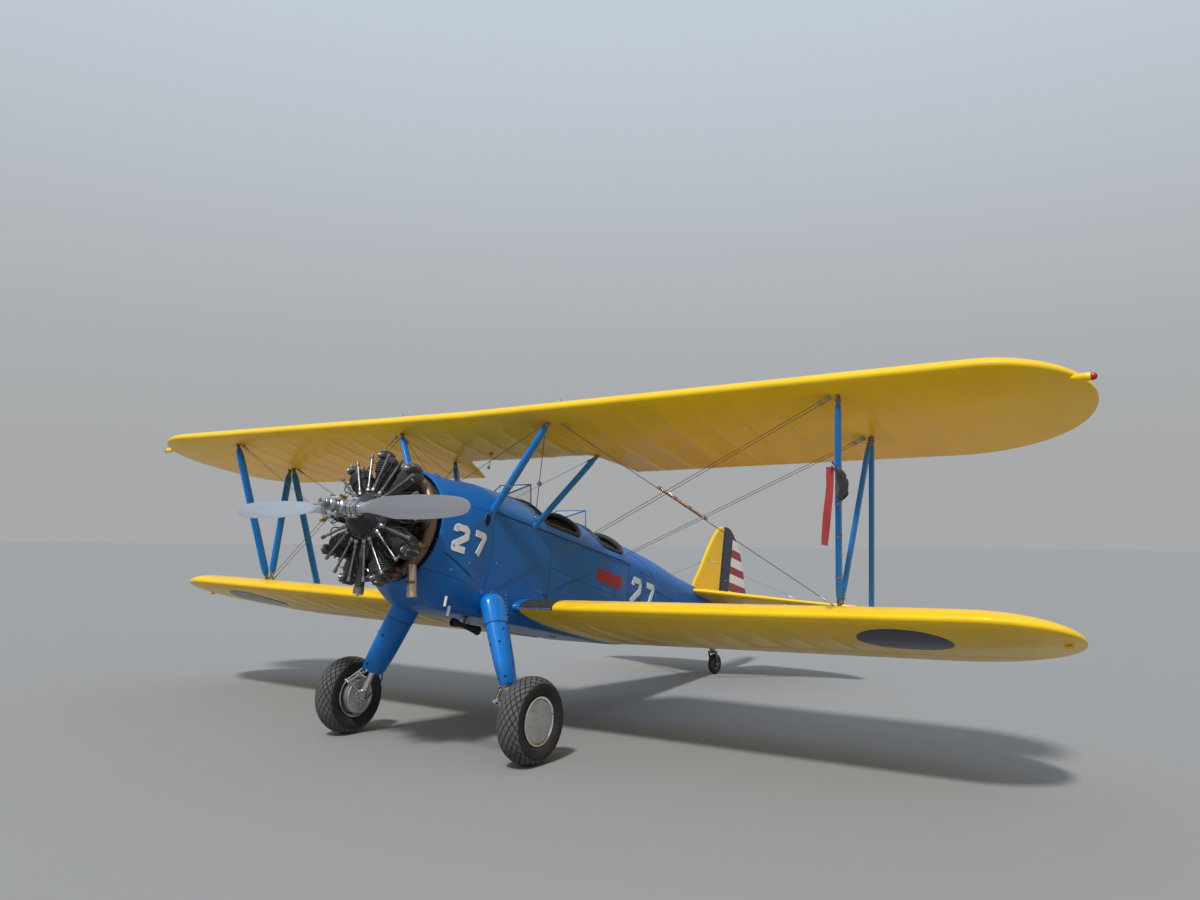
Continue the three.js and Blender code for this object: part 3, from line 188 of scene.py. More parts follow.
BLUE = (0.003, 0.130, 0.43)
BLUE_DEEP = (0.002, 0.090, 0.32)
YELLOW = (0.87, 0.55, 0.005)
LOOKS = {
    "blue": surface("blue_enamel", BLUE, 0.3, mottle=(1.3, BLUE_DEEP, 0.5),
                    grime=(2.2, (0.02, 0.08, 0.20), 0.35),
                    bumps=(("noise", 5, 0.0015),), coat=0.12),
    "faded_blue": surface("faded_blue_enamel", (0.05, 0.20, 0.46), 0.4,
                          mottle=(9, (0.03, 0.15, 0.40), 0.6)),
    "blue_cloth": surface("blue_doped_cloth", BLUE, 0.38, mottle=(1.1, BLUE_DEEP, 0.55),
                          grime=(2.6, (0.03, 0.09, 0.19), 0.4),
                          bumps=(("weave", 420, 0.00015), ("noise", 7, 0.002)),
                          coat=0.06),
    "strut_blue": surface("strut_enamel", (0.005, 0.175, 0.56), 0.24, mottle=(3, BLUE, 0.3),
                          grime=(6, (0.03, 0.09, 0.20), 0.14), bumps=(("noise", 9, 0.0004),), coat=0.2),
    "yellow": surface("yellow_doped_cloth", YELLOW, 0.36, mottle=(1.4, (0.80, 0.47, 0.004), 0.4),
                      grime=(2.1, (0.58, 0.33, 0.006), 0.3),
                      bumps=(("weave", 420, 0.00015), ("noise", 6, 0.002)),
                      coat=0.25),
    "yellow_metal": surface("yellow_enamel", YELLOW, 0.3, mottle=(2, (0.80, 0.46, 0.004), 0.4),
                            bumps=(("noise", 9, 0.0004),), coat=0.4),
    "navy": surface("navy_dope", (0.010, 0.014, 0.040), 0.3, mottle=(4, (0.016, 0.022, 0.055), 0.6),
                    bumps=(("weave", 420, 0.00015),), coat=0.3),
    "red": surface("red_dope", (0.33, 0.020, 0.025), 0.32, mottle=(4, (0.24, 0.016, 0.02), 0.6),
                   bumps=(("weave", 420, 0.00015),), coat=0.3),
    "white": surface("white_dope", (0.82, 0.80, 0.76), 0.34, mottle=(4, (0.72, 0.70, 0.64), 0.6),
                     grime=(9, (0.5, 0.49, 0.44), 0.3), bumps=(("weave", 420, 0.00015),), coat=0.3),
    "white_paint": surface("white_paint", (0.80, 0.80, 0.77), 0.35, mottle=(12, (0.66, 0.67, 0.66), 0.5),
                           bumps=(("noise", 300, 0.0002),)),
    "black_paint": surface("black_paint", (0.012, 0.012, 0.013), 0.45, mottle=(12, (0.03, 0.03, 0.03), 0.6),
                           bumps=(("noise", 240, 0.0003),)),
    "grit": surface("walkway_grit", (0.02, 0.02, 0.022), 0.8, mottle=(60, (0.06, 0.06, 0.06), 0.6),
                    bumps=(("noise", 900, 0.001),)),
    # Dark seam lines; the same colour is also the painted shadow under the deck's edge and the painted
    # shade inside the oval hole
    "seam": surface("seam_shadow", (0.004, 0.012, 0.03), 0.7, mottle=(20, (0.01, 0.02, 0.04), 0.6),
                    bumps=(("noise", 200, 0.0003),)),
    "glass": surface("clear_pane", (0.93, 0.95, 0.95), 0.02, mottle=(6, (0.86, 0.9, 0.9), 0.4), clear=0.96,
                     rough_to=0.05),
    "leather": surface("black_leather", (0.016, 0.015, 0.015), 0.42, mottle=(30, (0.04, 0.036, 0.033), 0.5),
                       bumps=(("cells", 420, 0.0006), ("noise", 20, 0.003)), worn=(0.10, 0.085, 0.07),
                       rough_to=0.65),
    "cloth_black": surface("black_canvas", (0.013, 0.013, 0.014), 0.8,
                           mottle=(15, (0.03, 0.03, 0.032), 0.6),
                           bumps=(("weave", 500, 0.0004), ("noise", 30, 0.004)), sheen=0.3),
    "cloth_red": surface("red_ribbon", (0.34, 0.030, 0.028), 0.75, mottle=(12, (0.25, 0.022, 0.02), 0.6),
                         bumps=(("weave", 600, 0.0003),), sheen=0.3),
    "webbing": surface("webbing", (0.30, 0.27, 0.20), 0.8, mottle=(30, (0.22, 0.2, 0.15), 0.6),
                       bumps=(("weave", 500, 0.0005),), sheen=0.2),
    "primer": surface("interior_green", (0.16, 0.20, 0.09), 0.5, mottle=(5, (0.11, 0.14, 0.07), 0.6),
                      grime=(9, (0.07, 0.07, 0.05), 0.5), bumps=(("noise", 200, 0.0003),),
                      worn=(0.4, 0.4, 0.38)),
    "seat_grey": surface("seat_sheet", (0.24, 0.25, 0.25), 0.42, metal=0.6,
                         mottle=(8, (0.16, 0.17, 0.17), 0.6),
                         bumps=(("noise", 180, 0.0003),), worn=(0.55, 0.55, 0.54)),
    "panel": surface("panel_crackle", (0.016, 0.016, 0.017), 0.6, mottle=(40, (0.035, 0.035, 0.036), 0.5),
                     bumps=(("cells", 700, 0.0004),)),
    "cylinder": surface("cylinder_enamel", (0.020, 0.020, 0.022), 0.26, metal=0.3,
                        mottle=(25, (0.06, 0.058, 0.054), 0.7),
                        grime=(12, (0.09, 0.075, 0.06), 0.5), bumps=(("noise", 300, 0.0004),), rough_to=0.5,
                        worn=(0.17, 0.165, 0.16)),
    "push_tube": surface("push_rod_tube", (0.34, 0.34, 0.35), 0.22, metal=1.0,
                         mottle=(22, (0.16, 0.155, 0.15), 0.7),
                         grime=(10, (0.05, 0.045, 0.04), 0.6), bumps=(("noise", 160, 0.0003),),
                         rough_to=0.42),
    "crankcase": surface("crankcase_enamel", (0.028, 0.029, 0.031), 0.35, metal=0.3,
                         mottle=(9, (0.016, 0.016, 0.017), 0.7), grime=(7, (0.05, 0.043, 0.034), 0.5),
                         bumps=(("noise", 150, 0.0008),), worn=(0.20, 0.20, 0.19)),
    "bright": surface("bright_alloy", (0.76, 0.76, 0.75), 0.16, metal=1.0,
                      mottle=(14, (0.58, 0.57, 0.55), 0.5),
                      grime=(9, (0.3, 0.28, 0.25), 0.35), bumps=(("noise", 90, 0.0004),), rough_to=0.34),
    "chrome": surface("plated_tube", (0.82, 0.82, 0.83), 0.08, metal=1.0, mottle=(20, (0.7, 0.7, 0.7), 0.5),
                      bumps=(("noise", 60, 0.0002),), rough_to=0.2),
    "steel": surface("machined_steel", (0.42, 0.42, 0.43), 0.3, metal=1.0,
                     mottle=(18, (0.28, 0.27, 0.26), 0.6),
                     grime=(12, (0.12, 0.10, 0.08), 0.5), bumps=(("noise", 220, 0.0003),), rough_to=0.5),
    "dark_steel": surface("dark_steel", (0.07, 0.07, 0.072), 0.4, metal=0.8,
                          mottle=(18, (0.12, 0.115, 0.11), 0.5),
                          bumps=(("noise", 260, 0.0003),), worn=(0.3, 0.3, 0.29)),
    "wire": surface("bracing_wire", (0.13, 0.12, 0.11), 0.35, metal=0.9,
                    mottle=(15, (0.05, 0.045, 0.04), 0.6),
                    bumps=(("noise", 300, 0.0002),)),
    "hub": surface("plated_hub", (0.36, 0.37, 0.39), 0.26, metal=1.0, mottle=(16, (0.2, 0.2, 0.21), 0.6),
                   grime=(12, (0.08, 0.07, 0.06), 0.5), bumps=(("noise", 160, 0.0004),),
                   worn=(0.75, 0.75, 0.74)),
    "blade": surface("polished_blade", (0.66, 0.68, 0.72), 0.07, metal=1.0,
                     mottle=(5, (0.52, 0.54, 0.58), 0.5),
                     bumps=(("noise", 40, 0.0002), ("noise", 400, 0.00006)), rough_to=0.16,
                     stretch=(0.25, 3, 3)),
    "bronze": surface("heated_exhaust", (0.20, 0.12, 0.075), 0.38, metal=0.9,
                      mottle=(7, (0.32, 0.22, 0.16), 0.7),
                      grime=(5, (0.10, 0.07, 0.09), 0.6), bumps=(("noise", 90, 0.0006),), rough_to=0.6),
    "copper": surface("bright_exhaust", (0.62, 0.47, 0.36), 0.3, metal=1.0,
                      mottle=(10, (0.42, 0.29, 0.2), 0.7),
                      bumps=(("noise", 90, 0.0005),), rough_to=0.5),
    "alloy": surface("wheel_alloy", (0.60, 0.59, 0.57), 0.34, metal=0.9,
                     mottle=(9, (0.48, 0.47, 0.45), 0.6),
                     grime=(8, (0.25, 0.23, 0.2), 0.4), bumps=(("noise", 120, 0.0004),), rough_to=0.55),
    "rubber": surface("tyre_rubber", (0.020, 0.020, 0.021), 0.72, mottle=(14, (0.035, 0.034, 0.032), 0.6),
                      grime=(10, (0.06, 0.055, 0.047), 0.35), bumps=(("noise", 240, 0.0006),),
                      rough_to=0.95),
    "tread": surface("worn_tread", (0.085, 0.083, 0.080), 0.8, mottle=(18, (0.13, 0.125, 0.115), 0.6),
                     grime=(9, (0.05, 0.048, 0.045), 0.5), bumps=(("noise", 240, 0.0005),), rough_to=0.95),
    # Tread grooves darker than the sidewall rubber: painted shade in the recesses
    "groove": surface("tread_groove_shade", (0.006, 0.006, 0.006), 0.9, mottle=(30, (0.016, 0.015, 0.014), 0.6),
                      bumps=(("noise", 240, 0.0004),)),
    "lead": surface("ignition_lead", (0.018, 0.017, 0.017), 0.5, mottle=(60, (0.05, 0.045, 0.04), 0.5),
                    bumps=(("weave", 900, 0.0004),)),
    "brass": surface("brass", (0.55, 0.40, 0.16), 0.28, metal=1.0, mottle=(30, (0.38, 0.27, 0.12), 0.6),
                     bumps=(("noise", 200, 0.0003),)),
    "wood": surface("varnished_wood", (0.28, 0.10, 0.03), 0.35, mottle=(40, (0.16, 0.05, 0.018), 0.8),
                    bumps=(("noise", 120, 0.0006),), coat=0.4, stretch=(1, 1, 0.2)),
    "red_lamp": surface("red_lamp", (0.6, 0.01, 0.008), 0.08, mottle=(30, (0.4, 0.008, 0.006), 0.5),
                        clear=0.4),
    "green_lamp": surface("green_lamp", (0.0, 0.30, 0.06), 0.08, mottle=(30, (0.0, 0.2, 0.04), 0.5),
                          clear=0.4),
    "red_plate": surface("red_plate", (0.40, 0.012, 0.012), 0.35, mottle=(14, (0.30, 0.012, 0.010), 0.6),
                         grime=(30, (0.42, 0.12, 0.10), 0.25), bumps=(("noise", 300, 0.0002),)),
    "cream": surface("cream_enamel", (0.66, 0.56, 0.30), 0.35, mottle=(14, (0.52, 0.43, 0.2), 0.6),
                     bumps=(("noise", 300, 0.0002),)),
    "dial": surface("dial_face", (0.01, 0.01, 0.011), 0.3, mottle=(60, (0.02, 0.02, 0.02), 0.6), coat=1.0),
}


# Mesh building
def unit(vector):
    vector = np.asarray(vector, float)
    return vector / np.linalg.norm(vector)


def aim(origin, direction, up=(0, 0, 1)):
    """A place whose Z axis points along direction."""
    z = unit(direction)
    guide = np.array(up, float)
    if abs(np.dot(z, guide)) > 0.95:
        guide = np.array((0.0, 1.0, 0.0)) if abs(z[1]) < 0.9 else np.array((1.0, 0.0, 0.0))
    x = unit(np.cross(guide, z))
    y = np.cross(z, x)
    made = Matrix.Identity(4)
    for row in range(3):
        made[row][0], made[row][1], made[row][2], made[row][3] = x[row], y[row], z[row], origin[row]
    return made


def smooth_path(points, steps=8):
    """A smooth curve through the points."""
    points = [np.asarray(p, float) for p in points]
    padded = [2 * points[0] - points[1], *points, 2 * points[-1] - points[-2]]
    made = []
    for a, b, c, d in zip(padded, padded[1:], padded[2:], padded[3:]):
        for step in range(steps):
            t = step / steps
            made.append(0.5 * (2 * b + (c - a) * t + (2 * a - 5 * b + 4 * c - d) * t ** 2
                               + (3 * b - a - 3 * c + d) * t ** 3))
    made.append(points[-1])
    return np.array(made)


def round_outline(half_x, half_y, radius, steps=4):
    """A rectangle with round corners, as points in a plane."""
    made = []
    for centre_x, centre_y, start in ((1, 1, 0), (-1, 1, 90), (-1, -1, 180), (1, -1, 270)):
        for step in range(steps + 1):
            turn = math.radians(start + 90 * step / steps)
            made.append((centre_x * (half_x - radius) + radius * math.cos(turn),
                         centre_y * (half_y - radius) + radius * math.sin(turn)))
    return made


class Shape:
    """Gathers the surfaces of one piece. look is an index into the piece's list of materials."""

    def __init__(self):
        self.points, self.faces, self.looks, self.count = [], [], [], 0

    def add(self, points, faces, look=0, at=None):
        points = np.asarray(points, float).reshape(-1, 3)
        if at is not None:
            spin = np.array(at)
            points = points @ spin[:3, :3].T + spin[:3, 3]
        self.points.append(points)
        self.faces += [tuple(i + self.count for i in face) for face in faces]
        self.looks += [look] * len(faces)
        self.count += len(points)
        return self

    def loft(self, rings, look=0, at=None, wrap=False):
        """A skin over the rings, closed at both ends, or joined end to end with wrap.

        look may be a function of the row and column, for a painted pattern.
        """
        rings = np.asarray(rings, float)
        rows, n = rings.shape[:2]
        faces, looks = [], []
        for r in range(rows if wrap else rows - 1):
            a, b = r * n, ((r + 1) % rows) * n
            faces += [(a + i, a + (i + 1) % n, b + (i + 1) % n, b + i) for i in range(n)]
            if callable(look):
                looks += [look(r, i) for i in range(n)]
        if not wrap:
            faces += [tuple(range(n))[::-1], tuple(range((rows - 1) * n, rows * n))]
            looks += [0, 0]
        self.add(rings, faces, 0 if callable(look) else look, at)
        if callable(look):
            self.looks[-len(faces):] = looks
        return self

    def tube(self, path, radius, sides=10, look=0, at=None, flat=1.0):
        path = np.asarray(path, float)
        radii = np.broadcast_to(np.asarray(radius, float), (len(path),))
        along = np.gradient(path, axis=0)
        along /= np.linalg.norm(along, axis=1)[:, None]
        u = np.cross(along[0], (0, 0, 1) if abs(along[0][2]) < 0.9 else (0, 1, 0))
        rings = []
        for centre, r, t in zip(path, radii, along):
            u = unit(u - t * np.dot(u, t))
            v = np.cross(t, u)
            turns = np.linspace(0, 2 * math.pi, sides, endpoint=False)
            rings.append(centre + r * (np.outer(np.cos(turns), u) + flat * np.outer(np.sin(turns), v)))
        return self.loft(rings, look, at=at)

    def rod(self, start, end, radius, sides=12, look=0):
        return self.tube([start, end], radius, sides, look)

    def lathe(self, profile, at, sides=32, look=0, wrap=False):
        turns = np.linspace(0, 2 * math.pi, sides, endpoint=False)
        rings = []
        for r, h in profile:
            r = max(r, 1e-5)
            rings.append(np.stack([r * np.cos(turns), r * np.sin(turns), np.full(sides, h)], 1))
        return self.loft(rings, look, at=at, wrap=wrap)

    def pad(self, half_x, half_y, low, high, radius, bevel, look=0, at=None):
        """A block with round corners and softened edges."""
        rings = []
        for inset, z in ((bevel, low), (0.3 * bevel, low + 0.3 * bevel), (0, low + bevel),
                         (0, high - bevel), (0.3 * bevel, high - 0.3 * bevel), (bevel, high)):
            outline = round_outline(half_x - inset, half_y - inset, max(radius - inset, 1e-4))
            rings.append([(x, y, z) for x, y in outline])
        return self.loft(rings, look, at=at)

    def bolt(self, origin, direction, radius=0.008, height=0.006, look=0):
        place = aim(origin, direction)
        self.lathe([(radius, 0), (radius, height * 0.8), (radius * 0.85, height)], place, 6, look)
        return self.lathe([(radius * 0.5, height), (radius * 0.5, height * 1.6),
                           (radius * 0.4, height * 1.7)],
                          place, 8, look)

    def bolt_circle(self, count, reach, y, radius, height, look, start=0.0, z=0.0):
        """Bolts that face forward, on a circle about a line along Y."""
        for k in range(count):
            turn = 2 * math.pi * (k + start) / count
            spot = (reach * math.sin(turn), y, z + reach * math.cos(turn))
            self.bolt(spot, (0, -1, 0), radius, height, look)

    def mesh(self, name, space=LEVEL):
        made = bpy.data.meshes.new(name)
        made.from_pydata(np.concatenate(self.points).tolist(), [], self.faces)
        made.polygons.foreach_set("material_index", self.looks)
        made.transform(space)
        return made

    def build(self, name, looks, body="airframe", slot=None, replaces=(), space=LEVEL, crease=32):
        return finish_piece(name, self.mesh(name, space), looks, body, replaces, crease)


def finish_piece(name, mesh, looks, body="airframe", replaces=(), crease=32):
    for look in ([looks] if isinstance(looks, str) else looks):
        mesh.materials.append(LOOKS[look])
    work = bmesh.new()
    work.from_mesh(mesh)
    bmesh.ops.recalc_face_normals(work, faces=work.faces)
    work.to_mesh(mesh)
    work.free()
    mesh.polygons.foreach_set("use_smooth", [True] * len(mesh.polygons))
    mesh.set_sharp_from_angle(angle=math.radians(crease))
    made = bpy.data.objects.new(name, mesh)
    bpy.context.scene.collection.objects.link(made)
    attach(made, body)
    if replaces:
        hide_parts(*([replaces] if isinstance(replaces, str) else replaces))
    return made


def carve(mesh, cutter):
    """The mesh with the cutter's space taken out of it."""
    objects = [bpy.data.objects.new(mesh.name, mesh), bpy.data.objects.new("cutter", cutter)]
    for made in objects:
        bpy.context.scene.collection.objects.link(made)
        work = bmesh.new()
        work.from_mesh(made.data)
        bmesh.ops.recalc_face_normals(work, faces=work.faces)
        work.to_mesh(made.data)
        work.free()
    modifier = objects[0].modifiers.new("cut", "BOOLEAN")
    modifier.object = objects[1]
    modifier.operation = "DIFFERENCE"
    modifier.solver = "EXACT"
    bpy.context.view_layer.update()
    depsgraph = bpy.context.evaluated_depsgraph_get()
    result = bpy.data.meshes.new_from_object(objects[0].evaluated_get(depsgraph))
    result.materials.clear()
    for made in objects:
        data = made.data
        bpy.data.objects.remove(made)
        bpy.data.meshes.remove(data)
    return result


def table_curve(rows, at):
    """Smooth values between the rows of a table whose first column is the place."""
    rows = np.asarray(rows, float)
    xs = rows[:, 0]
    k = int(np.clip(np.searchsorted(xs, at) - 1, 0, len(xs) - 2))
    h = xs[k + 1] - xs[k]
    t = float(np.clip((at - xs[k]) / h, 0, 1))

    def slope(i):
        if i == 0 or i == len(xs) - 1:
            j = min(max(i, 1), len(xs) - 1)
            return (rows[j, 1:] - rows[j - 1, 1:]) / (xs[j] - xs[j - 1])
        before = (rows[i, 1:] - rows[i - 1, 1:]) / (xs[i] - xs[i - 1])
        after = (rows[i + 1, 1:] - rows[i, 1:]) / (xs[i + 1] - xs[i])
        same = before * after > 0
        total = np.where(same, before + after, 1.0)
        return np.where(same, 2 * before * after / total, 0.0)

    a, b, ma, mb = rows[k, 1:], rows[k + 1, 1:], slope(k), slope(k + 1)
    return ((2 * t ** 3 - 3 * t ** 2 + 1) * a + (t ** 3 - 2 * t ** 2 + t) * h * ma
            + (3 * t ** 2 - 2 * t ** 3) * b + (t ** 3 - t ** 2) * h * mb)


# Fuselage: y, half width, shoulder height, top, bottom, corner radius, ridge
FUSELAGE = [
    (0.600, 0.471, 0.014, 0.485, -0.457, 0.471, 1.00),
    (0.980, 0.465, 0.100, 0.508, -0.602, 0.260, 1.05),
    (1.250, 0.430, 0.280, 0.548, -0.600, 0.090, 1.18),
    (1.800, 0.430, 0.280, 0.574, -0.591, 0.090, 1.25),
    (2.600, 0.430, 0.280, 0.580, -0.577, 0.090, 1.25),
    (3.250, 0.430, 0.280, 0.562, -0.566, 0.090, 1.25),
    (3.500, 0.402, 0.280, 0.556, -0.545, 0.090, 1.18),
    (4.130, 0.325, 0.265, 0.535, -0.460, 0.080, 1.10),
    (4.560, 0.270, 0.255, 0.504, -0.405, 0.070, 1.05),
    (5.000, 0.212, 0.250, 0.458, -0.355, 0.060, 1.00),
    (5.640, 0.128, 0.250, 0.430, -0.300, 0.040, 1.00),
    (6.358, 0.045, 0.250, 0.370, -0.215, 0.020, 1.00),
]
NOSE_Y, COWL_END, DECK_JOINT, DECK_END, TAIL_Y = 0.600, 1.250, 2.750, 3.500, 6.358
BOTTOM_STEPS, CORNER_STEPS, SIDE_STEPS, ARCH_STEPS = 5, 7, 8, 18


def half_ring(y, inset=0.0):
    """The left half of the fuselage's section, from the belly's middle to the ridge, in four runs."""
    width, shoulder, top, bottom, corner, ridge = table_curve(FUSELAGE, y)
    w, floor, crown = width - inset, bottom + inset, top - inset
    r = max(min(corner - inset, w - 0.001), 0.008)
    runs = [[(x, floor) for x in np.linspace(0.0, w - r, BOTTOM_STEPS, endpoint=False)]]
    turns = np.radians(np.linspace(-90, 0, CORNER_STEPS, endpoint=False))
    runs.append([(w - r + r * math.cos(t), floor + r + r * math.sin(t)) for t in turns])
    base = min(floor + r, shoulder)
    runs.append([(w, z) for z in np.linspace(base, shoulder, SIDE_STEPS, endpoint=False)])
    turns = np.radians(np.linspace(0, 90, ARCH_STEPS))
    runs.append([(w * math.cos(t) ** ridge, shoulder + (crown - shoulder) * math.sin(t) ** ridge)
                 for t in turns])
    return runs


def skin_x(y, z):
    """Half width of the fuselage at that height."""
    points = [p for run in half_ring(y) for p in run]
    xs, zs = zip(*points[BOTTOM_STEPS:])
    return float(np.interp(z, zs, xs))


def skin_z(y, x):
    """Height of the decking above that distance from the middle."""
    points = half_ring(y)[3]
    xs, zs = zip(*reversed(points))
    return float(np.interp(abs(x), xs, zs))


def on_side(y, z, lift=0.0):
    """A point on the left side of the fuselage and the way that it faces."""
    step = 0.01
    point = np.array((skin_x(y, z), y, z))
    up = np.array((skin_x(y, z + step) - skin_x(y, z - step), 0, 2 * step))
    aft = np.array((skin_x(y + step, z) - skin_x(y - step, z), 2 * step, 0))
    out = unit(np.cross(aft, up))
    if out[0] < 0:
        out = -out
    return point + lift * out, out


def on_deck(y, x, lift=0.0):
    """A point on the decking and the way that it faces."""
    step = 0.008
    point = np.array((x, y, skin_z(y, x)))
    across = np.array((2 * step, 0, skin_z(y, x + step) - skin_z(y, x - step)))
    aft = np.array((0, 2 * step, skin_z(y + step, x) - skin_z(y - step, x)))
    out = unit(np.cross(across, aft))
    if out[2] < 0:
        out = -out
    return point + lift * out, out


def whole_ring(y):
    """The fuselage's whole section, from the belly up the left side and down the right."""
    half = [p for run in half_ring(y) for p in run]
    left = [(x, y, z) for x, z in half]
    return left + [(-x, y, z) for x, z in half[-2:0:-1]]


def deck_arch(y, inset=0.0):
    """The arch over the cockpits, from the right sill over the ridge to the left sill, each sill twice."""
    arch = half_ring(y, inset)[3]
    arch = [arch[0], *arch]
    return [(-x, y, z) for x, z in arch] + [(x, y, z) for x, z in arch[-2::-1]]


def tub_section(y, inset=0.0):
    """The trough under the decking, from the left sill under the belly to the right sill."""
    half = [p for run in half_ring(y, inset)[:3] for p in run] + [half_ring(y, inset)[3][0]]
    return [(x, y, z) for x, z in half[::-1]] + [(-x, y, z) for x, z in half[1:]]


def places_between(start, end, step=0.06):
    """Even places from start to end, about a step apart."""
    return np.linspace(start, end, max(2, int(round((end - start) / step)) + 1))


def shell(section, start, end, thick):
    """A closed skin between an outer section and the same section set in by its thickness."""
    rings = [section(y) + section(y, thick)[::-1] for y in places_between(start, end)]
    outside = len(rings[0]) // 2
    return Shape().loft(rings, lambda row, column: int(column >= outside))


def mark_inside(mesh):
    """Gives the faces that look into the cockpits the second look."""
    back = LEVEL.inverted()
    turn = back.to_3x3()
    for face in mesh.polygons:
        centre, normal = back @ face.center, turn @ face.normal
        face.material_index = int(normal.dot(Vector((centre.x, 0, centre.z))) < 0)
    return mesh


# Cockpit openings in plan: first and last y, half width
COCKPITS = {"front": (1.985, 2.590, 0.404), "rear": (2.915, 3.385, 0.397)}
OPENING_CORNER = 0.11


def opening_outline(start, end, half):
    """A cockpit opening in plan, square in front and round at the rear corners."""
    corner = OPENING_CORNER
    made = [(half - corner, start), (half - 0.5 * corner, start + 0.012),
            (half - 0.1 * corner, start + 0.04),
            (half, start + 0.085)]
    made += [(half, y) for y in np.linspace(start + 0.14, end - corner, 7, endpoint=False)]
    made += [(half - corner + corner * math.cos(t), end - corner + corner * math.sin(t))
             for t in np.radians(np.linspace(0, 90, 8))]
    made += [(x, end) for x in np.linspace(half - corner, 0, 7)[1:]]
    made += [(-x, y) for x, y in made[-2::-1]]
    made += [(x, start) for x in np.linspace(-half + corner, half - corner, 14)[1:-1]]
    return made


SKIN = 0.012
SIDE_DIP, FRAME_PITCH = 0.004, 0.46
# The cut in the rear fuselage where the tail plane sits
TAIL_SEAT = {"low": 0.3097, "fin_half": 0.09, "front_y": 5.46, "centre_y": 5.645}
# The cowl's rolled front edge: how far behind its first section, and how much narrower
COWL_LIP = [(0.055, 0.030), (0.012, 0.026), (0.003, 0.020), (0.0, 0.012), (0.002, 0.004)]


def make_fuselage():
    cowl_rings = [whole_ring(y) for y in places_between(NOSE_Y + 0.008, COWL_END - 0.0015)]
    first = np.array(whole_ring(NOSE_Y))
    middle = np.array((0, 0, FUSELAGE[0][2]))
    lips = []
    for depth, shrink in COWL_LIP:
        scale = 1 - shrink / FUSELAGE[0][1]
        ring = middle + (first - middle) * (scale, 0, scale)
        ring[:, 1] = NOSE_Y + depth
        lips.append(ring)
    Shape().loft(np.array([*lips, *cowl_rings])).build(
        "nose_cowl_panels", "blue", slot="cowl_blue", replaces="nose_cowl")
    diaphragm = Shape()
    profile = [(0.436, 0.050), (0.43, 0.046), (0.30, 0.042), (0.28, 0.030), (0.20, 0.026), (0.16, 0.0)]
    diaphragm.lathe(profile, aim((0, NOSE_Y, middle[2]), (0, 1, 0)), 72)
    diaphragm.bolt_circle(24, 0.40, NOSE_Y + 0.044, 0.006, 0.004, 1, z=middle[2])
    diaphragm.build("engine_diaphragm", ["black_paint", "steel"], slot="engine_black")

    shell(tub_section, COWL_END + 0.0015, DECK_END - 0.001, SKIN).build(
        "fuselage_side_panels", ["blue", "primer"], slot="cowl_blue", replaces="fuselage_tub")
    for name, start, end in (("front", COWL_END + 0.0015, DECK_JOINT - 0.001),
                             ("rear", DECK_JOINT + 0.001, DECK_END - 0.001)):
        deck = shell(lambda y, inset=0.0: deck_arch(y, inset - 0.0015), start, end, SKIN).mesh("deck")
        outline = opening_outline(*COCKPITS[name])
        cutter = Shape().loft([[(x, y, z) for x, y in outline] for z in (0.29, 0.8)]).mesh("cutter")
        finish_piece(f"{name}_deck_panel", mark_inside(carve(deck, cutter)), ["blue", "primer"],
                     replaces=f"{name}_decking")

    rings = []
    for y in places_between(DECK_END + 0.001, TAIL_Y, 0.05):
        ring = np.array(whole_ring(y))
        span = min(1.0, (y - DECK_END) / 0.5) * min(1.0, (TAIL_Y - y) / 0.5)
        bay = 0.5 - 0.5 * math.cos(2 * math.pi * (y - DECK_END) / FRAME_PITCH)
        side = np.abs(ring[:, 0]) > 0.7 * np.abs(ring[:, 0]).max()
        ring[side, 0] *= 1 - SIDE_DIP * span * bay / max(np.abs(ring[:, 0]).max(), 0.1)
        rings.append(ring)
    mesh = Shape().loft(rings).mesh("aft")
    seat = TAIL_SEAT
    for inner, outer, start, end in ((-0.4, 0.4, seat["centre_y"], 6.45),
                                     (seat["fin_half"], 0.4, seat["front_y"], seat["centre_y"] + 0.01),
                                     (-seat["fin_half"], -0.4, seat["front_y"], seat["centre_y"] + 0.01)):
        cutter = Shape().loft([[(inner, y, seat["low"]), (outer, y, seat["low"]), (outer, y, 0.9),
                                (inner, y, 0.9)]
                               for y in (start, end)])
        mesh = carve(mesh, cutter.mesh("cutter"))
    finish_piece("aft_fuselage_cloth", mesh, "blue_cloth", replaces="aft_fuselage")


make_fuselage()


# Wings
UPPER = {"y": 1.054, "z": 1.102, "chord": 1.532, "half": 4.900, "dihedral": 0.011, "incidence": 0.075}
LOWER = {"y": 1.660, "z": -0.464, "chord": 1.532, "half": 4.750, "dihedral": 0.025, "incidence": 0.072}
UPPER_SPARS, LOWER_SPARS = {"front": 0.186, "rear": 0.958}, {"front": 0.203, "rear": 0.977}
CENTRE_HALF = 0.945
TIP_Y, TIP_LEAD, TIP_TRAIL = 0.600, 0.660, 1.080
AILERON = {"inner": 2.120, "outer": 4.420, "hinge": 1.165, "radius": 0.036, "lugs": (2.38, 3.27, 4.16)}
RIB_PITCH = 0.3048
CHORD_STEPS = 34
SAG, TAPE = 0.0035, 0.0010


def wing_space(wing, sign=1):
    place = LEVEL @ Matrix.Translation((0, wing["y"], wing["z"]))
    place = place @ Matrix.Rotation(-wing["incidence"], 4, "X")
    return side_space(sign, place)


def on_wing(wing, x, back, up):
    """A point on a wing, in the level frame."""
    turn = wing["incidence"]
    return np.array((x, wing["y"] + back * math.cos(turn) + up * math.sin(turn),
                     wing["z"] + wing["dihedral"] * abs(x) - back * math.sin(turn) + up * math.cos(turn)))


def section_heights(part):
    thick = 0.65 * (0.2969 * math.sqrt(part) - 0.126 * part - 0.3516 * part ** 2
                    + 0.2843 * part ** 3 - 0.1015 * part ** 4)
    camber = 0.5 * (0.4 * part - part ** 2) if part < 0.2 else 0.03125 * (0.6 + 0.4 * part - part ** 2)
    return camber + thick, camber - thick


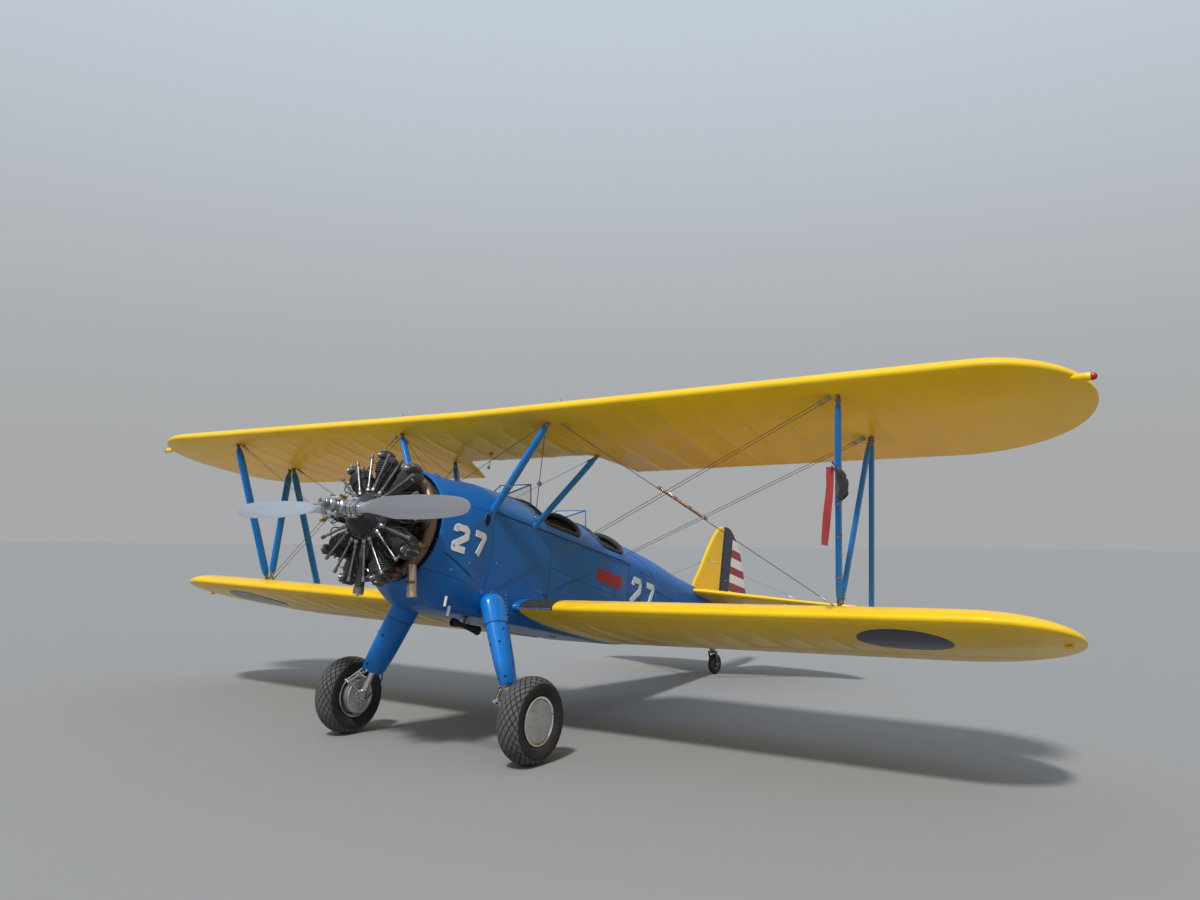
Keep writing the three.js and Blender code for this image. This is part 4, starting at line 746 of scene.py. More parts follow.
def rib_stations(start, end):
    """Places across the wing with the ribs' tapes, and how far each sags (1) or stands proud (-1)."""
    count = max(1, int(round((end - start) / RIB_PITCH)))
    pitch = (end - start) / count
    made = []
    for k in range(count):
        rib = start + k * pitch
        made += [(rib, -1), (rib + 0.018, -1), (rib + 0.021, 0), (rib + 0.25 * pitch, 0.75),
                 (rib + 0.5 * pitch, 1),
                 (rib + 0.75 * pitch, 0.75), (rib + pitch - 0.021, 0), (rib + pitch - 0.018, -1)]
    made.append((end, -1))
    return made


def wing_ring(x, lead, trail, lift, state=0.0, steps=CHORD_STEPS, part_from=0.0):
    """A section of the wing, from the upper face round the trailing edge to the lower face."""
    parts = part_from + (1 - part_from) * (1 - np.cos(np.linspace(0, math.pi, steps + 1))) / 2
    chord = trail - lead
    upper, lower = [], []
    for part in parts:
        high, low = section_heights(part)
        cloth = math.sin(math.pi * min(max((part - 0.13) / 0.84, 0), 1)) ** 0.6
        give = (SAG * state if state > 0 else TAPE * state) * (cloth if state > 0 else min(1, 6 * part))
        y = lead + part * chord
        upper.append((x, y, lift + high * chord - give))
        lower.append((x, y, lift + low * chord + give))
    return upper + lower[-2:0:-1]


def tip_edge(wing, x, start, base):
    run = max(0.0, (x - (wing["half"] - start)) / start)
    return TIP_Y + (base - TIP_Y) * math.sqrt(max(0.0, 1 - run ** 2))


def wing_rings(wing, inner):
    straight = wing["half"] - TIP_TRAIL
    stations = rib_stations(inner, straight)
    stations += [(straight + TIP_TRAIL * math.sin(math.radians(a)), 0) for a in np.linspace(4, 88, 26)]
    rings = []
    for x, state in stations:
        lead = tip_edge(wing, x, TIP_LEAD, 0.0)
        trail = tip_edge(wing, x, TIP_TRAIL, wing["chord"])
        rings.append(wing_ring(x, lead, trail, wing["dihedral"] * x, state))
    return rings


# Across, trailing edge of the centre section
CUTOUT = [(0.0, 1.060), (0.690, 1.060), (0.760, 1.085), (0.820, 1.190), (0.885, 1.400), (0.945, 1.532)]


def centre_ring(x, state):
    wing = UPPER
    trail = float(table_curve(CUTOUT, abs(x))[0])
    reach = trail / wing["chord"]
    steps = CHORD_STEPS
    upper, lower = [], []
    for k in range(steps + 1):
        step = (1 - math.cos(math.pi * k / steps)) / 2
        part = step * reach
        high, low = section_heights(part)
        fade = math.sqrt(max(0.0, 1 - ((step - 0.78) / 0.22) ** 2)) if reach < 1 and step > 0.78 else 1.0
        middle, depth = (high + low) / 2, max((high - low) / 2 * fade, 0.003)
        give = (SAG * state if state > 0 else TAPE * state) * (1 if part > 0.14 else 0)
        y, lift = part * wing["chord"], wing["dihedral"] * abs(x)
        upper.append((x, y, lift + (middle + depth) * wing["chord"] - give))
        lower.append((x, y, lift + (middle - depth) * wing["chord"] + give))
    return upper + lower[-2:0:-1]


def make_wings():
    stations = rib_stations(-CENTRE_HALF + 0.001, 0.0)[:-1] + rib_stations(0.0, CENTRE_HALF - 0.001)
    fine = sorted(set([(x, s) for x, s in stations]
                      + [(sign * x, 0.0) for sign in (1, -1) for x in np.linspace(0.70, 0.94, 13)]))
    Shape().loft([centre_ring(x, s) for x, s in fine]).build(
        "centre_section_cloth", "yellow", slot="wing_yellow", replaces="upper_wing_centre",
        space=wing_space(UPPER))
    for side, sign in SIDES:
        Shape().loft(wing_rings(UPPER, CENTRE_HALF + 0.001)).build(
            f"{side}_upper_cloth", "yellow", slot="wing_yellow", replaces=f"{side}_upper_wing",
            space=wing_space(UPPER, sign))
        rings = wing_rings(LOWER, 0.4315)
        hinge, radius = AILERON["hinge"], AILERON["radius"]
        front = hinge - radius - 0.006
        cutter = Shape().loft([[(x, front, -0.4), (x, 1.8, -0.4), (x, 1.8, 0.5), (x, front, 0.5)]
                               for x in (AILERON["inner"] - 0.008, AILERON["outer"] + 0.008)])
        mesh = carve(Shape().loft(rings).mesh("lower", wing_space(LOWER, sign)),
                     cutter.mesh("cutter", wing_space(LOWER, sign)))
        finish_piece(f"{side}_lower_cloth", mesh, "yellow",
                     replaces=f"{side}_lower_wing")
        panel = []
        for x, state in rib_stations(AILERON["inner"], AILERON["outer"]):
            trail = tip_edge(LOWER, x, TIP_TRAIL, LOWER["chord"])
            lead = tip_edge(LOWER, x, TIP_LEAD, 0.0)
            start = (hinge - lead) / (trail - lead)
            ring = wing_ring(x, lead, trail, LOWER["dihedral"] * x, 0.6 * state, 14, start)
            high, low = ring[0][2], lift_low(x, lead, trail, start)
            middle, half = (high + low) / 2, (high - low) / 2
            nose = [(x, hinge - radius * math.sin(t), middle - half * math.cos(t))
                    for t in np.linspace(0, math.pi, 11)[:-1]]
            panel.append(ring + nose)
        surface_shape = Shape().loft(panel)
        for lug in AILERON["lugs"]:
            surface_shape.pad(0.028, 0.02, -0.022, 0.022, 0.006, 0.003, 1,
                              Matrix.Translation((lug, hinge - 0.024, LOWER["dihedral"] * lug + 0.006)))
        surface_shape.build(f"{side}_aileron_cloth", ["yellow", "steel"], f"{side}_aileron_panel",
                            "wing_yellow",
                            f"{side}_aileron", wing_space(LOWER, sign))


def lift_low(x, lead, trail, part):
    return LOWER["dihedral"] * x + section_heights(part)[1] * (trail - lead)


make_wings()


# Streamlined struts
WIDEST = 0.4                      # share of a strut's width where it is thickest
STRUT_SIDES = 24
TONGUE = 0.055                    # length of the tongue at a strut's end
STRUT_TAPER = [(0.0, 0.62), (0.02, 0.8), (0.05, 0.95), (0.09, 1.0)]


def streamline_ring(centre, fore, across, width, thick):
    """A strut's section, blunt in front and drawn out behind. fore points aft."""
    made = []
    for k in range(STRUT_SIDES):
        t = 2 * math.pi * k / STRUT_SIDES
        part = (1 - math.cos(t)) / 2
        if part < WIDEST:
            half = 0.5 * thick * math.sqrt(1 - (1 - part / WIDEST) ** 2)
        else:
            half = 0.5 * thick * (1 - ((part - WIDEST) / (1 - WIDEST)) ** 2) ** 0.7
        sign = 1 if t <= math.pi else -1
        made.append(centre + fore * (part - 0.5) * width + across * sign * half)
    return made


def strut_axes(start, end):
    """A strut's line, the way aft square to it, and the way across."""
    along = unit(np.asarray(end) - np.asarray(start))
    guide = np.array((0.0, 0, 1)) if abs(along[1]) > 0.9 else np.array((0.0, 1, 0))
    fore = unit(guide - along * np.dot(guide, along))
    return along, fore, np.cross(along, fore)


def strut(shape, start, end, width, thick, ends=(1, 1)):
    """A streamlined tube that narrows to a tongue and bolt at each end that is wanted."""
    start, end = np.asarray(start, float), np.asarray(end, float)
    along, fore, across = strut_axes(start, end)
    length = np.linalg.norm(end - start)

    def tapered(tip, way, wanted):
        made = []
        for run, scale in STRUT_TAPER:
            use = scale if wanted else 1.0
            centre = tip + way * (run + TONGUE * 0.6 * wanted)
            made.append(streamline_ring(centre, fore, across, width * use, thick * use))
        return made

    middle = [streamline_ring(start + along * run, fore, across, width, thick)
              for run in np.linspace(0.2, length - 0.2, 4)]
    shape.loft(tapered(start, along, ends[0]) + middle + tapered(end, -along, ends[1])[::-1])
    for tip, way, wanted in ((start, along, ends[0]), (end, -along, ends[1])):
        if wanted:
            shape.pad(0.011, 0.022, -0.03, TONGUE, 0.01, 0.003, 1, aim(tip, way, fore))
            for sign in (1, -1):
                shape.bolt(tip + way * 0.018 + across * sign * 0.011, across * sign, 0.009, 0.007, 1)
    return shape


STRUT_TOP_X, STRUT_FOOT_X = 3.347, 3.214
STRUT_GAP = 0.012                 # from a strut's end to the cloth of the wing
CABANE = {"top_x": 0.853, "foot_x": 0.405, "foot_z": 0.250, "front_y": 1.220, "rear_y": 1.796}


def strut_top(spar, lift):
    return on_wing(UPPER, STRUT_TOP_X, UPPER_SPARS[spar], lift)


def strut_foot(spar, lift):
    return on_wing(LOWER, STRUT_FOOT_X, LOWER_SPARS[spar], lift)


def topside(wing, back):
    return section_heights(back / wing["chord"])[0] * wing["chord"]


def underside(wing, back):
    return section_heights(back / wing["chord"])[1] * wing["chord"]


def strut_line(name):
    """The top and the foot of a front or rear interplane strut."""
    top = strut_top(name, underside(UPPER, UPPER_SPARS[name]) - STRUT_GAP)
    return top, strut_foot(name, topside(LOWER, LOWER_SPARS[name]) + STRUT_GAP)


def make_struts():
    for side, sign in SIDES:
        space = side_space(sign)
        for name, width, thick in (("front", 0.095, 0.036), ("rear", 0.092, 0.034)):
            strut(Shape(), *strut_line(name), width, thick).build(
                f"{side}_{name}_n_strut", ["strut_blue", "dark_steel"], slot="strut_blue",
                replaces=f"{side}_{name}_interplane_strut", space=space)
        top = strut_top("rear", underside(UPPER, UPPER_SPARS["rear"]) - 0.05) + (0, -0.045, 0)
        foot = strut_foot("front", topside(LOWER, LOWER_SPARS["front"]) + 0.05) + (0, 0.05, 0)
        strut(Shape(), top, foot, 0.090, 0.032).build(
            f"{side}_diagonal_n_strut", ["strut_blue", "dark_steel"], slot="strut_blue",
            replaces=f"{side}_diagonal_interplane_strut", space=space)
        for name, width, thick in (("front", 0.084, 0.046), ("rear", 0.078, 0.036)):
            spar = UPPER_SPARS[name]
            top = on_wing(UPPER, CABANE["top_x"], spar, underside(UPPER, spar) - STRUT_GAP)
            foot = np.array((CABANE["foot_x"], CABANE[name + "_y"], CABANE["foot_z"]))
            shape = strut(Shape(), top, foot, width, thick, ends=(1, 0))
            along, fore, across = strut_axes(top, foot)
            for d, look in ((0.49, 0), (0.60, 1)) if name == "front" else ():
                centre = top + along * d
                shape.loft([streamline_ring(centre + along * e, fore, across, width * 1.06, thick * 1.14)
                            for e in (0, 0.020)], look)
                shape.bolt(centre + across * 0.57 * thick + along * 0.010, across, 0.007, 0.006, 1)
            shape.build(f"{side}_{name}_cabane", ["strut_blue", "dark_steel"], slot="strut_blue",
                        replaces=f"{side}_{name}_cabane_strut", space=space)


make_struts()


# Bracing wires
def brace(shape, start, end, width, apart=0.0):
    """A streamlined wire with a threaded end, locknut and fork at both ends, doubled if apart is set."""
    start, end = np.asarray(start, float), np.asarray(end, float)
    along = unit(end - start)
    aft = np.array((0.0, 1, 0))
    across = unit(aft - along * np.dot(aft, along))
    for shift in ((0.5, -0.5) if apart else (0.0,)):
        a, b = start + across * shift * apart, end + across * shift * apart
        stops = [a + along * 0.10, a + along * 0.15, b - along * 0.15, b - along * 0.10]
        shape.tube(stops, [0.0035, width / 2, width / 2, 0.0035], 8, flat=0.5)
        for tip, way in ((a, along), (b, -along)):
            shape.tube([tip + way * d for d in (0.03, 0.06, 0.062, 0.085, 0.087, 0.11)],
                       [0.0045, 0.0045, 0.008, 0.008, 0.0045, 0.0045], 8, 1)
            shape.pad(0.004, 0.010, -0.01, 0.034, 0.004, 0.001, 1, aim(tip, way, across))
            shape.rod(tip + across * 0.012, tip - across * 0.012, 0.0045, 8, 1)
    return shape


WIRE_TOP_X, WIRE_FOOT_X = STRUT_TOP_X - 0.062, STRUT_FOOT_X - 0.050
FLYING_FEET = {"front": (0.425, 1.303, -0.425), "rear": (0.437, 2.080, -0.278)}
STAY_WIDTH, STAY_APART, WIRE_WIDTH, TAIL_WIRE_WIDTH = 0.0065, 0.044, 0.0065, 0.0055
WIRE_GAP = 0.006                  # from a wire's end to the cloth of the wing


def landing_line(top_back, foot_back):
    """The ends of the left landing wires, at the heights of the wings' faces that far back."""
    top = on_wing(UPPER, CENTRE_HALF + 0.02, UPPER_SPARS["front"] + 0.06,
                  underside(UPPER, top_back) - WIRE_GAP)
    foot = on_wing(LOWER, WIRE_FOOT_X, LOWER_SPARS["front"] + 0.02, topside(LOWER, foot_back) + WIRE_GAP)
    return top, foot


def make_wires():
    for side, sign in SIDES:
        space = side_space(sign)
        ends = {}
        for name, spar in UPPER_SPARS.items():
            ends[f"{name}_flying_wire"] = (FLYING_FEET[name], on_wing(UPPER, WIRE_TOP_X, spar,
                                                                      underside(UPPER, spar) - WIRE_GAP))
        ends["landing_wire"] = landing_line(UPPER_SPARS["front"], LOWER_SPARS["front"])
        for name, (a, b) in ends.items():
            brace(Shape(), a, b, STAY_WIDTH, STAY_APART).build(
                f"{side}_{name}_pair", ["wire", "steel"], slot="wire_steel", replaces=f"{side}_{name}",
                space=space)


make_wires()


# Landing gear
LEG_TOP, LEG_END = np.array((0.385, 1.347, -0.300)), np.array((0.772, 1.340, -1.128))
KNEE, WHEEL = np.array((0.856, 1.352, -1.318)), np.array((1.020, 1.350, -1.35045))
LEG_TOE = math.radians(12)
# Share of the leg's length, width, thickness
LEG_SIZES = np.array([(0.13, 0.298, 0.208), (0.23, 0.285, 0.195), (0.43, 0.265, 0.172),
                      (0.75, 0.262, 0.155),
                      (1.00, 0.230, 0.118)])
LEG_SIDES = 36
CUFF_TO = 0.43                    # share of the leg's length where the cuff ends
BRAKE_X = 0.884


def leg_axes():
    """The leg's line, and its section's two ways, turned so that the rear edge stands inboard."""
    along, fore, across = strut_axes(LEG_TOP, LEG_END)
    fore = fore * math.cos(LEG_TOE) - across * math.sin(LEG_TOE)
    return along, fore, np.cross(along, fore)


def leg_half_sizes(share, grow=0.0, scale=1.0):
    return [scale * np.interp(share, LEG_SIZES[:, 0], LEG_SIZES[:, i]) / 2 + grow for i in (1, 2)]


def leg_ring(share, grow=0.0, scale=1.0):
    centre = LEG_TOP + (LEG_END - LEG_TOP) * share
    _, fore, across = leg_axes()
    half_width, half_thick = leg_half_sizes(share, grow, scale)
    made = []
    for t in np.linspace(0, 2 * math.pi, LEG_SIDES, endpoint=False):
        back = -math.cos(t)
        side = math.sin(t) * (1 - 0.25 * max(back, 0.0) ** 2)
        made.append(centre + fore * back * half_width + across * side * half_thick)
    return made


def make_gear_leg(side, sign):
    leg = Shape()
    along, fore, across = leg_axes()
    leg.loft([leg_ring(s, g) for s,
              g in ((CUFF_TO - 0.02, 0), (0.6, 0), (0.8, 0), (0.975, 0), (0.99, -0.003),
                                          (1.0, -0.009))])
    dome = [(0.128, 0.12), (0.131, 0.30), (0.140, 0.50), (0.153, 0.68), (0.172, 0.83), (0.196, 0.94),
            (0.225, 0.99)]
    cuff = [(0.26, 0.002), (0.34, 0.004), (CUFF_TO - 0.012, 0.005), (CUFF_TO - 0.002, 0.005),
            (CUFF_TO, 0.0025),
            (CUFF_TO, -0.002)]
    leg.loft([leg_ring(s, 0, scale) for s, scale in dome] + [leg_ring(s, g) for s, g in cuff])
    leg.loft([leg_ring(CUFF_TO + d, g) for d, g in ((0.0, 0.0008), (0.006, 0.0008))], 1)
    leg.lathe([(0.034, -0.02), (0.044, -0.015), (0.046, 0.006), (0.040, 0.012), (0.032, 0.013)],
              aim(LEG_END, along), 32, 2)
    for share, turn in ((0.62, 0.55), (0.62, -0.55), (0.93, 0.5), (0.93, -0.5), (0.50, 1.1)):
        centre = LEG_TOP + (LEG_END - LEG_TOP) * share
        half_width, half_thick = leg_half_sizes(share)
        spot = centre - fore * math.cos(turn) * half_width + across * math.sin(turn) * half_thick
        out = unit(-fore * math.cos(turn) / half_width + across * math.sin(turn) / half_thick)
        leg.lathe([(0.010, -0.004), (0.010, 0.002), (0.006, 0.0035)], aim(spot, out), 14, 1)
    for k in range(7):
        share = 0.16 + 0.035 * k
        centre = LEG_TOP + (LEG_END - LEG_TOP) * share
        half_width, half_thick = leg_half_sizes(share, 0.012)
        spot = centre + fore * 0.25 * half_width + across * 0.97 * half_thick
        leg.bolt(spot - across * 0.006, across, 0.006, 0.004, 2)
    leg.build(f"{side}_gear_fairing", ["strut_blue", "seam", "chrome"], slot="strut_blue",
              replaces=f"{side}_gear_leg", space=side_space(sign))


def make_axle(side, sign):
    made = Shape()
    along, _, across = strut_axes(LEG_TOP, LEG_END)
    made.tube([LEG_END + along * 0.002, KNEE - along * 0.03], 0.030, 24)
    made.lathe([(0.036, -0.030), (0.044, -0.020), (0.046, 0.020), (0.040, 0.035), (0.010, 0.040)],
               aim(KNEE, along), 24, 1)
    made.tube(smooth_path([KNEE + (0.0, 0.0, 0.02), KNEE + (0.012, 0.018, -0.014),
                           WHEEL - (0.145, 0.004, -0.004),
                           WHEEL - (0.130, 0, 0)], 5), [0.040] * 5 + [0.042] * 5 + [0.040] * 6, 16, 1)
    plate = aim((BRAKE_X, WHEEL[1], WHEEL[2]), (1, 0, 0))
    made.lathe([(0.030, -0.014), (0.052, -0.012), (0.056, -0.002), (0.118, 0.000), (0.124, -0.006),
                (0.132, -0.006),
                (0.138, 0.000), (0.150, 0.001), (0.150, 0.010), (0.146, 0.012), (0.146, 0.042),
                (0.030, 0.042)],
               plate, 56, 2)
    for k in range(8):
        turn = 2 * math.pi * k / 8 + 0.2
        made.bolt((BRAKE_X - 0.010, WHEEL[1] + 0.044 * math.cos(turn), WHEEL[2] + 0.044 * math.sin(turn)),
                  (-1, 0, 0), 0.008, 0.008, 0)
    for k in range(10):
        turn = 2 * math.pi * (k + 0.5) / 10
        made.bolt((BRAKE_X + 0.001, WHEEL[1] + 0.098 * math.cos(turn), WHEEL[2] + 0.098 * math.sin(turn)),
                  (-1, 0, 0), 0.006, 0.005, 1)
    made.lathe([(0.020, -0.046), (0.028, -0.040), (0.030, -0.012)], plate, 20, 0)
    made.rod((BRAKE_X, WHEEL[1], WHEEL[2]), (1.040, WHEEL[1], WHEEL[2]), 0.0195, 24, 1)
    made.pad(0.016, 0.030, -0.016, 0.004, 0.008, 0.003, 1, aim((BRAKE_X - 0.004, 1.286, -1.268), (1, 0, 0)))
    upper, elbow, lower = LEG_END + (0.0, -0.085,
                                     0.010), np.array((0.830, 1.130, -1.240)), KNEE + (0.0, -0.055, 0.012)
    for start, end in ((upper, elbow), (elbow, lower)):
        for shift in (-0.022, 0.022):
            made.tube([start + across * shift, (start + end) / 2 + across * shift * 0.8,
                       end + across * shift * 0.6],
                      [0.010, 0.009, 0.008], 8)
        made.tube([(start * 0.7 + end * 0.3) + across * 0.022, (start * 0.7 + end * 0.3) - across * 0.022],
                  0.006, 8)
    for centre, reach, thick in ((upper, 0.036, 0.012), (elbow, 0.024, 0.013), (lower, 0.034, 0.012)):
        made.rod(centre - across * reach, centre + across * reach, thick, 14)
        made.bolt(centre + across * reach, across, 0.010, 0.006, 1)
        made.bolt(centre - across * reach, -across, 0.010, 0.006, 1)
    hose = smooth_path([LEG_END + (-0.030, 0.060, 0.05), LEG_END + (-0.040, 0.090, -0.05),
                        KNEE + (-0.045, 0.085, 0.03),
                        (BRAKE_X - 0.02, WHEEL[1] + 0.060, WHEEL[2] - 0.02)], 7)
    made.tube(hose, 0.0055, 8, 3)
    made.build(f"{side}_axle_fork", ["chrome", "steel", "alloy", "lead"], slot="gear_steel",
               replaces=f"{side}_axle", space=side_space(sign))


TYRE_SECTION = [(0.190, 0.072), (0.197, 0.084), (0.219, 0.098), (0.262, 0.105), (0.295, 0.097),
                (0.316, 0.072),
                (0.329, 0.038), (0.333, 0.0)]
TREAD = {"from_radius": 0.284, "around": 27, "rows": 5, "depth": 0.0060, "land": 0.80}


def make_tyre(side, sign):
    half = smooth_path([(r, h, 0) for r, h in TYRE_SECTION], 5)[:, :2]
    section = np.concatenate([half * (1, -1), half[-2::-1]])
    length = np.concatenate([[0], np.cumsum(np.linalg.norm(np.diff(section, axis=0), axis=1))])
    length -= length[-1] / 2
    normals = np.gradient(section, axis=0)
    normals = np.stack([normals[:, 1], -normals[:, 0]], 1)
    normals /= np.linalg.norm(normals, axis=1)[:, None]
    edge = abs(float(np.interp(TREAD["from_radius"], half[:, 0], length[:len(half)])))

    def at(turn, place, lift=0.0):
        r, h = (np.interp(place, length, section[:, i]) for i in (0, 1))
        out_r, out_h = (np.interp(place, length, normals[:, i]) for i in (0, 1))
        r, h = r + lift * out_r, h + lift * out_h
        return (r * math.cos(turn), r * math.sin(turn), h)

    tyre = Shape()
    around = 96
    places = np.concatenate([np.linspace(length[0], -edge - 0.003, 12), [-edge],
                             np.linspace(-edge + 0.003, edge - 0.003, 22), [edge],
                             np.linspace(edge + 0.003, length[-1], 12)])
    rings = [[at(2 * math.pi * k / around, p, -TREAD["depth"] if abs(p) < edge - 0.002 else 0.0)
              for k in range(around)] for p in places]
    first, last = np.array(rings[0]), np.array(rings[-1])
    inner = [ring * (0.97, 0.97, 1) for ring in (last, first)]
    # The tread's base between the blocks takes the darker groove colour, painted shade in the recesses
    tyre.loft(np.array([*rings, *inner]), lambda r, i: 1 if 12 <= r <= 35 else 0, wrap=True,
              at=aim(WHEEL, (1, 0, 0)))
    half_turn, half_row = math.pi / TREAD["around"], edge / TREAD["rows"]
    for row in range(-TREAD["rows"], TREAD["rows"] + 1):
        for k in range(TREAD["around"]):
            turn = 2 * half_turn * (k + (0.5 if row % 2 else 0.0))
            middle = row * half_row
            corners = [(turn - half_turn, middle), (turn, max(middle - half_row, -edge)),
                       (turn + half_turn, middle), (turn, min(middle + half_row, edge))]
            centre = np.mean(corners, axis=0)
            a, b, c, d = (centre + (np.array(p) - centre) * TREAD["land"] for p in corners)
            grid = [[(a * (1 - u) * (1 - v) + b * u * (1 - v) + c * u * v + d * (1 - u) * v)
                     for u in (0, 0.5, 1)]
                    for v in (0, 0.5, 1)]
            top = [at(*p) for line in grid for p in line]
            border = [0, 1, 2, 5, 8, 7, 6, 3]
            foot = [at(*(centre + (grid[i // 3][i % 3] - centre) * 1.08), -TREAD["depth"] - 0.001)
                    for i in border]
            faces = [(0, 1, 4, 3), (1, 2, 5, 4), (3, 4, 7, 6), (4, 5, 8, 7)]
            faces += [(border[i], 9 + i, 9 + (i + 1) % 8, border[(i + 1) % 8]) for i in range(8)]
            faces.append(tuple(range(16, 8, -1)))
            tyre.add(top + foot, faces, 2, aim(WHEEL, (1, 0, 0)))
    tyre.build(f"{side}_tyre_tread", ["rubber", "groove", "tread"], f"{side}_main_wheel", "tyre",
               f"{side}_tyre",
               side_space(sign), crease=40)


def make_wheel(side, sign):
    wheel, place = Shape(), aim(WHEEL, (1, 0, 0))
    rim = [(0.0215, -0.070), (0.060, -0.070), (0.066, -0.060), (0.132, -0.054), (0.155, -0.062),
           (0.166, -0.084),
           (0.175, -0.089), (0.186, -0.088), (0.1896, -0.080), (0.1880, -0.066), (0.177, -0.05),
           (0.177, 0.05),
           (0.1880, 0.064), (0.1896, 0.078), (0.186, 0.086), (0.175, 0.088), (0.167, 0.082),
           (0.1645, 0.074),
           (0.020, 0.070)]
    wheel.lathe(rim, place, 72)
    cap = [(0.1640, 0.066), (0.1635, 0.078), (0.1600, 0.0815), (0.153, 0.0835), (0.122, 0.0870),
           (0.078, 0.0900),
           (0.030, 0.0915), (0.0, 0.0920)]
    wheel.lathe(cap, place, 72, 1)
    for k in range(6):
        turn = 2 * math.pi * k / 6 + 0.4
        y, z, lean = 0.124 * math.cos(turn), 0.124 * math.sin(turn), 0.0864
        wheel.lathe([(0.006, -0.002), (0.006, 0.001), (0.004, 0.002)],
                    aim(WHEEL + (lean, y, z), (1, 0, 0)), 10, 2)
    for k in range(3):
        turn = 2 * math.pi * k / 3 + 0.9
        wheel.lathe([(0.009, -0.002), (0.009, 0.001), (0.007, 0.0018)],
                    aim(WHEEL + (0.0903, 0.060 * math.cos(turn), 0.060 * math.sin(turn)), (1, 0, 0)), 12, 2)
    wheel.rod(WHEEL + (0.083, 0.156, 0.068), WHEEL + (0.100, 0.162, 0.066), 0.0045, 8, 3)
    wheel.build(f"{side}_wheel_disc", ["chrome", "alloy", "steel", "rubber"], f"{side}_main_wheel",
                "wheel_alloy",
                f"{side}_wheel", side_space(sign))


def make_tail_wheel():
    corner = Matrix.Translation((0, 2.74031, 0.127))
    wheel = Shape()
    axis = aim((0, 0, 0), (1, 0, 0))
    side = [(0.064, 0.030), (0.070, 0.036), (0.086, 0.0415), (0.102, 0.041), (0.115, 0.033), (0.124, 0.017),
            (0.127, 0.0)]
    curve = smooth_path([(r, h, 0) for r, h in side], 3)[:, :2]
    section = [(r, -h) for r, h in curve] + [(r, h) for r, h in curve[-2::-1]]
    wheel.lathe([(0.062, -0.028), *section, (0.062, 0.028)], axis, 48)
    wheel.lathe([(0.0108, -0.034), (0.022, -0.034), (0.024, -0.022), (0.050, -0.016), (0.058, -0.030),
                 (0.064, -0.031),
                 (0.066, -0.026), (0.060, 0), (0.066, 0.026), (0.064, 0.031), (0.058, 0.030),
                 (0.050, 0.016),
                 (0.024, 0.022), (0.022, 0.034), (0.0108, 0.034)], axis, 36, 1)
    for k in range(5):
        turn = 2 * math.pi * k / 5
        for sign in (1, -1):
            spot = (sign * 0.018, 0.037 * math.cos(turn), 0.037 * math.sin(turn))
            wheel.bolt(spot, (sign, 0, 0), 0.005, 0.004, 1)
    wheel.build("tail_tyre", ["rubber", "alloy"], "tailwheel_roller", "tyre", "tail_wheel", corner)

    fork = Shape()
    for sign in (1, -1):
        fork.tube([(sign * 0.053, 0.0, -0.020), (sign * 0.053, 0, 0), (sign * 0.053, -0.026, 0.07),
                   (sign * 0.053, -0.055, 0.148)], [0.0045, 0.005, 0.005, 0.005], 14, flat=5.0)
        fork.rod((sign * 0.044, 0, 0), (sign * 0.060, 0, 0), 0.015, 16, 1)
        fork.bolt((sign * 0.056, 0, 0), (sign, 0, 0), 0.010, 0.002, 1)
    fork.rod((-0.05, 0, 0), (0.05, 0, 0), 0.0095, 16, 1)
    fork.pad(0.058, 0.034, 0.140, 0.168, 0.016, 0.005, 0, Matrix.Translation((0, -0.055, 0)))
    fork.rod((0, -0.055, 0.160), (0, -0.055, 0.202), 0.0138, 20, 1)
    fork.build("tail_fork", ["dark_steel", "steel"], "tailwheel_knuckle", "gear_steel", "tailwheel_fork",
               corner)

    post = Shape()
    post.lathe([(0.022, 0.1683), (0.034, 0.172), (0.036, 0.200), (0.034, 0.245), (0.022, 0.262)],
               Matrix.Translation((0, -0.055, 0)), 28, 1)
    post.loft([[(x * w, y, z + s * h) for x, s in round_outline(1, 1, 0.6, 4)]
               for y, z, w, h in ((-0.050, 0.225, 0.026, 0.028), (-0.10, 0.240, 0.028, 0.034),
                                  (-0.22, 0.266, 0.028, 0.040), (-0.40, 0.305, 0.024, 0.036),
                                  (-0.475, 0.318, 0.020, 0.028))])
    for sign in (1, -1):
        post.bolt((sign * 0.028, -0.12, 0.244), (sign, 0, 0), 0.008, 0.005, 1)
        post.bolt((sign * 0.028, -0.20, 0.262), (sign, 0, 0), 0.008, 0.005, 1)
    post.rod((0.0, -0.075, 0.175), (0.0, -0.22, 0.240), 0.007, 8, 1)
    post.build("tail_post", ["dark_steel", "steel"], slot="gear_steel", replaces="tailwheel_strut",
               space=corner)


for gear_side, gear_sign in SIDES:
    make_gear_leg(gear_side, gear_sign)
    make_axle(gear_side, gear_sign)
    make_tyre(gear_side, gear_sign)
    make_wheel(gear_side, gear_sign)
make_tail_wheel()


# Tail surfaces
def foil_ring(lead, trail, nose, half, mark=None):
    """A plate's section as (y, height): over the top from the rear edge to the nose and back underneath."""
    nose = min(nose, 0.45 * (trail - lead))
    start = lead + nose
    mark = start + 0.5 * (trail - start) if mark is None else mark
    mark = min(max(mark, start + 0.02 * (trail - start)), trail - 0.02 * (trail - start))
    run = list(np.linspace(start, mark, 6)) + list(np.linspace(mark, trail, 5))[1:]
    top = [(y, half(y)) for y in reversed(run)]
    front = [(start - nose * math.sin(t), half(start) * math.cos(t))
             for t in np.linspace(0, math.pi, 11)[1:-1]]
    return top + front + [(y, -half(y)) for y in run]


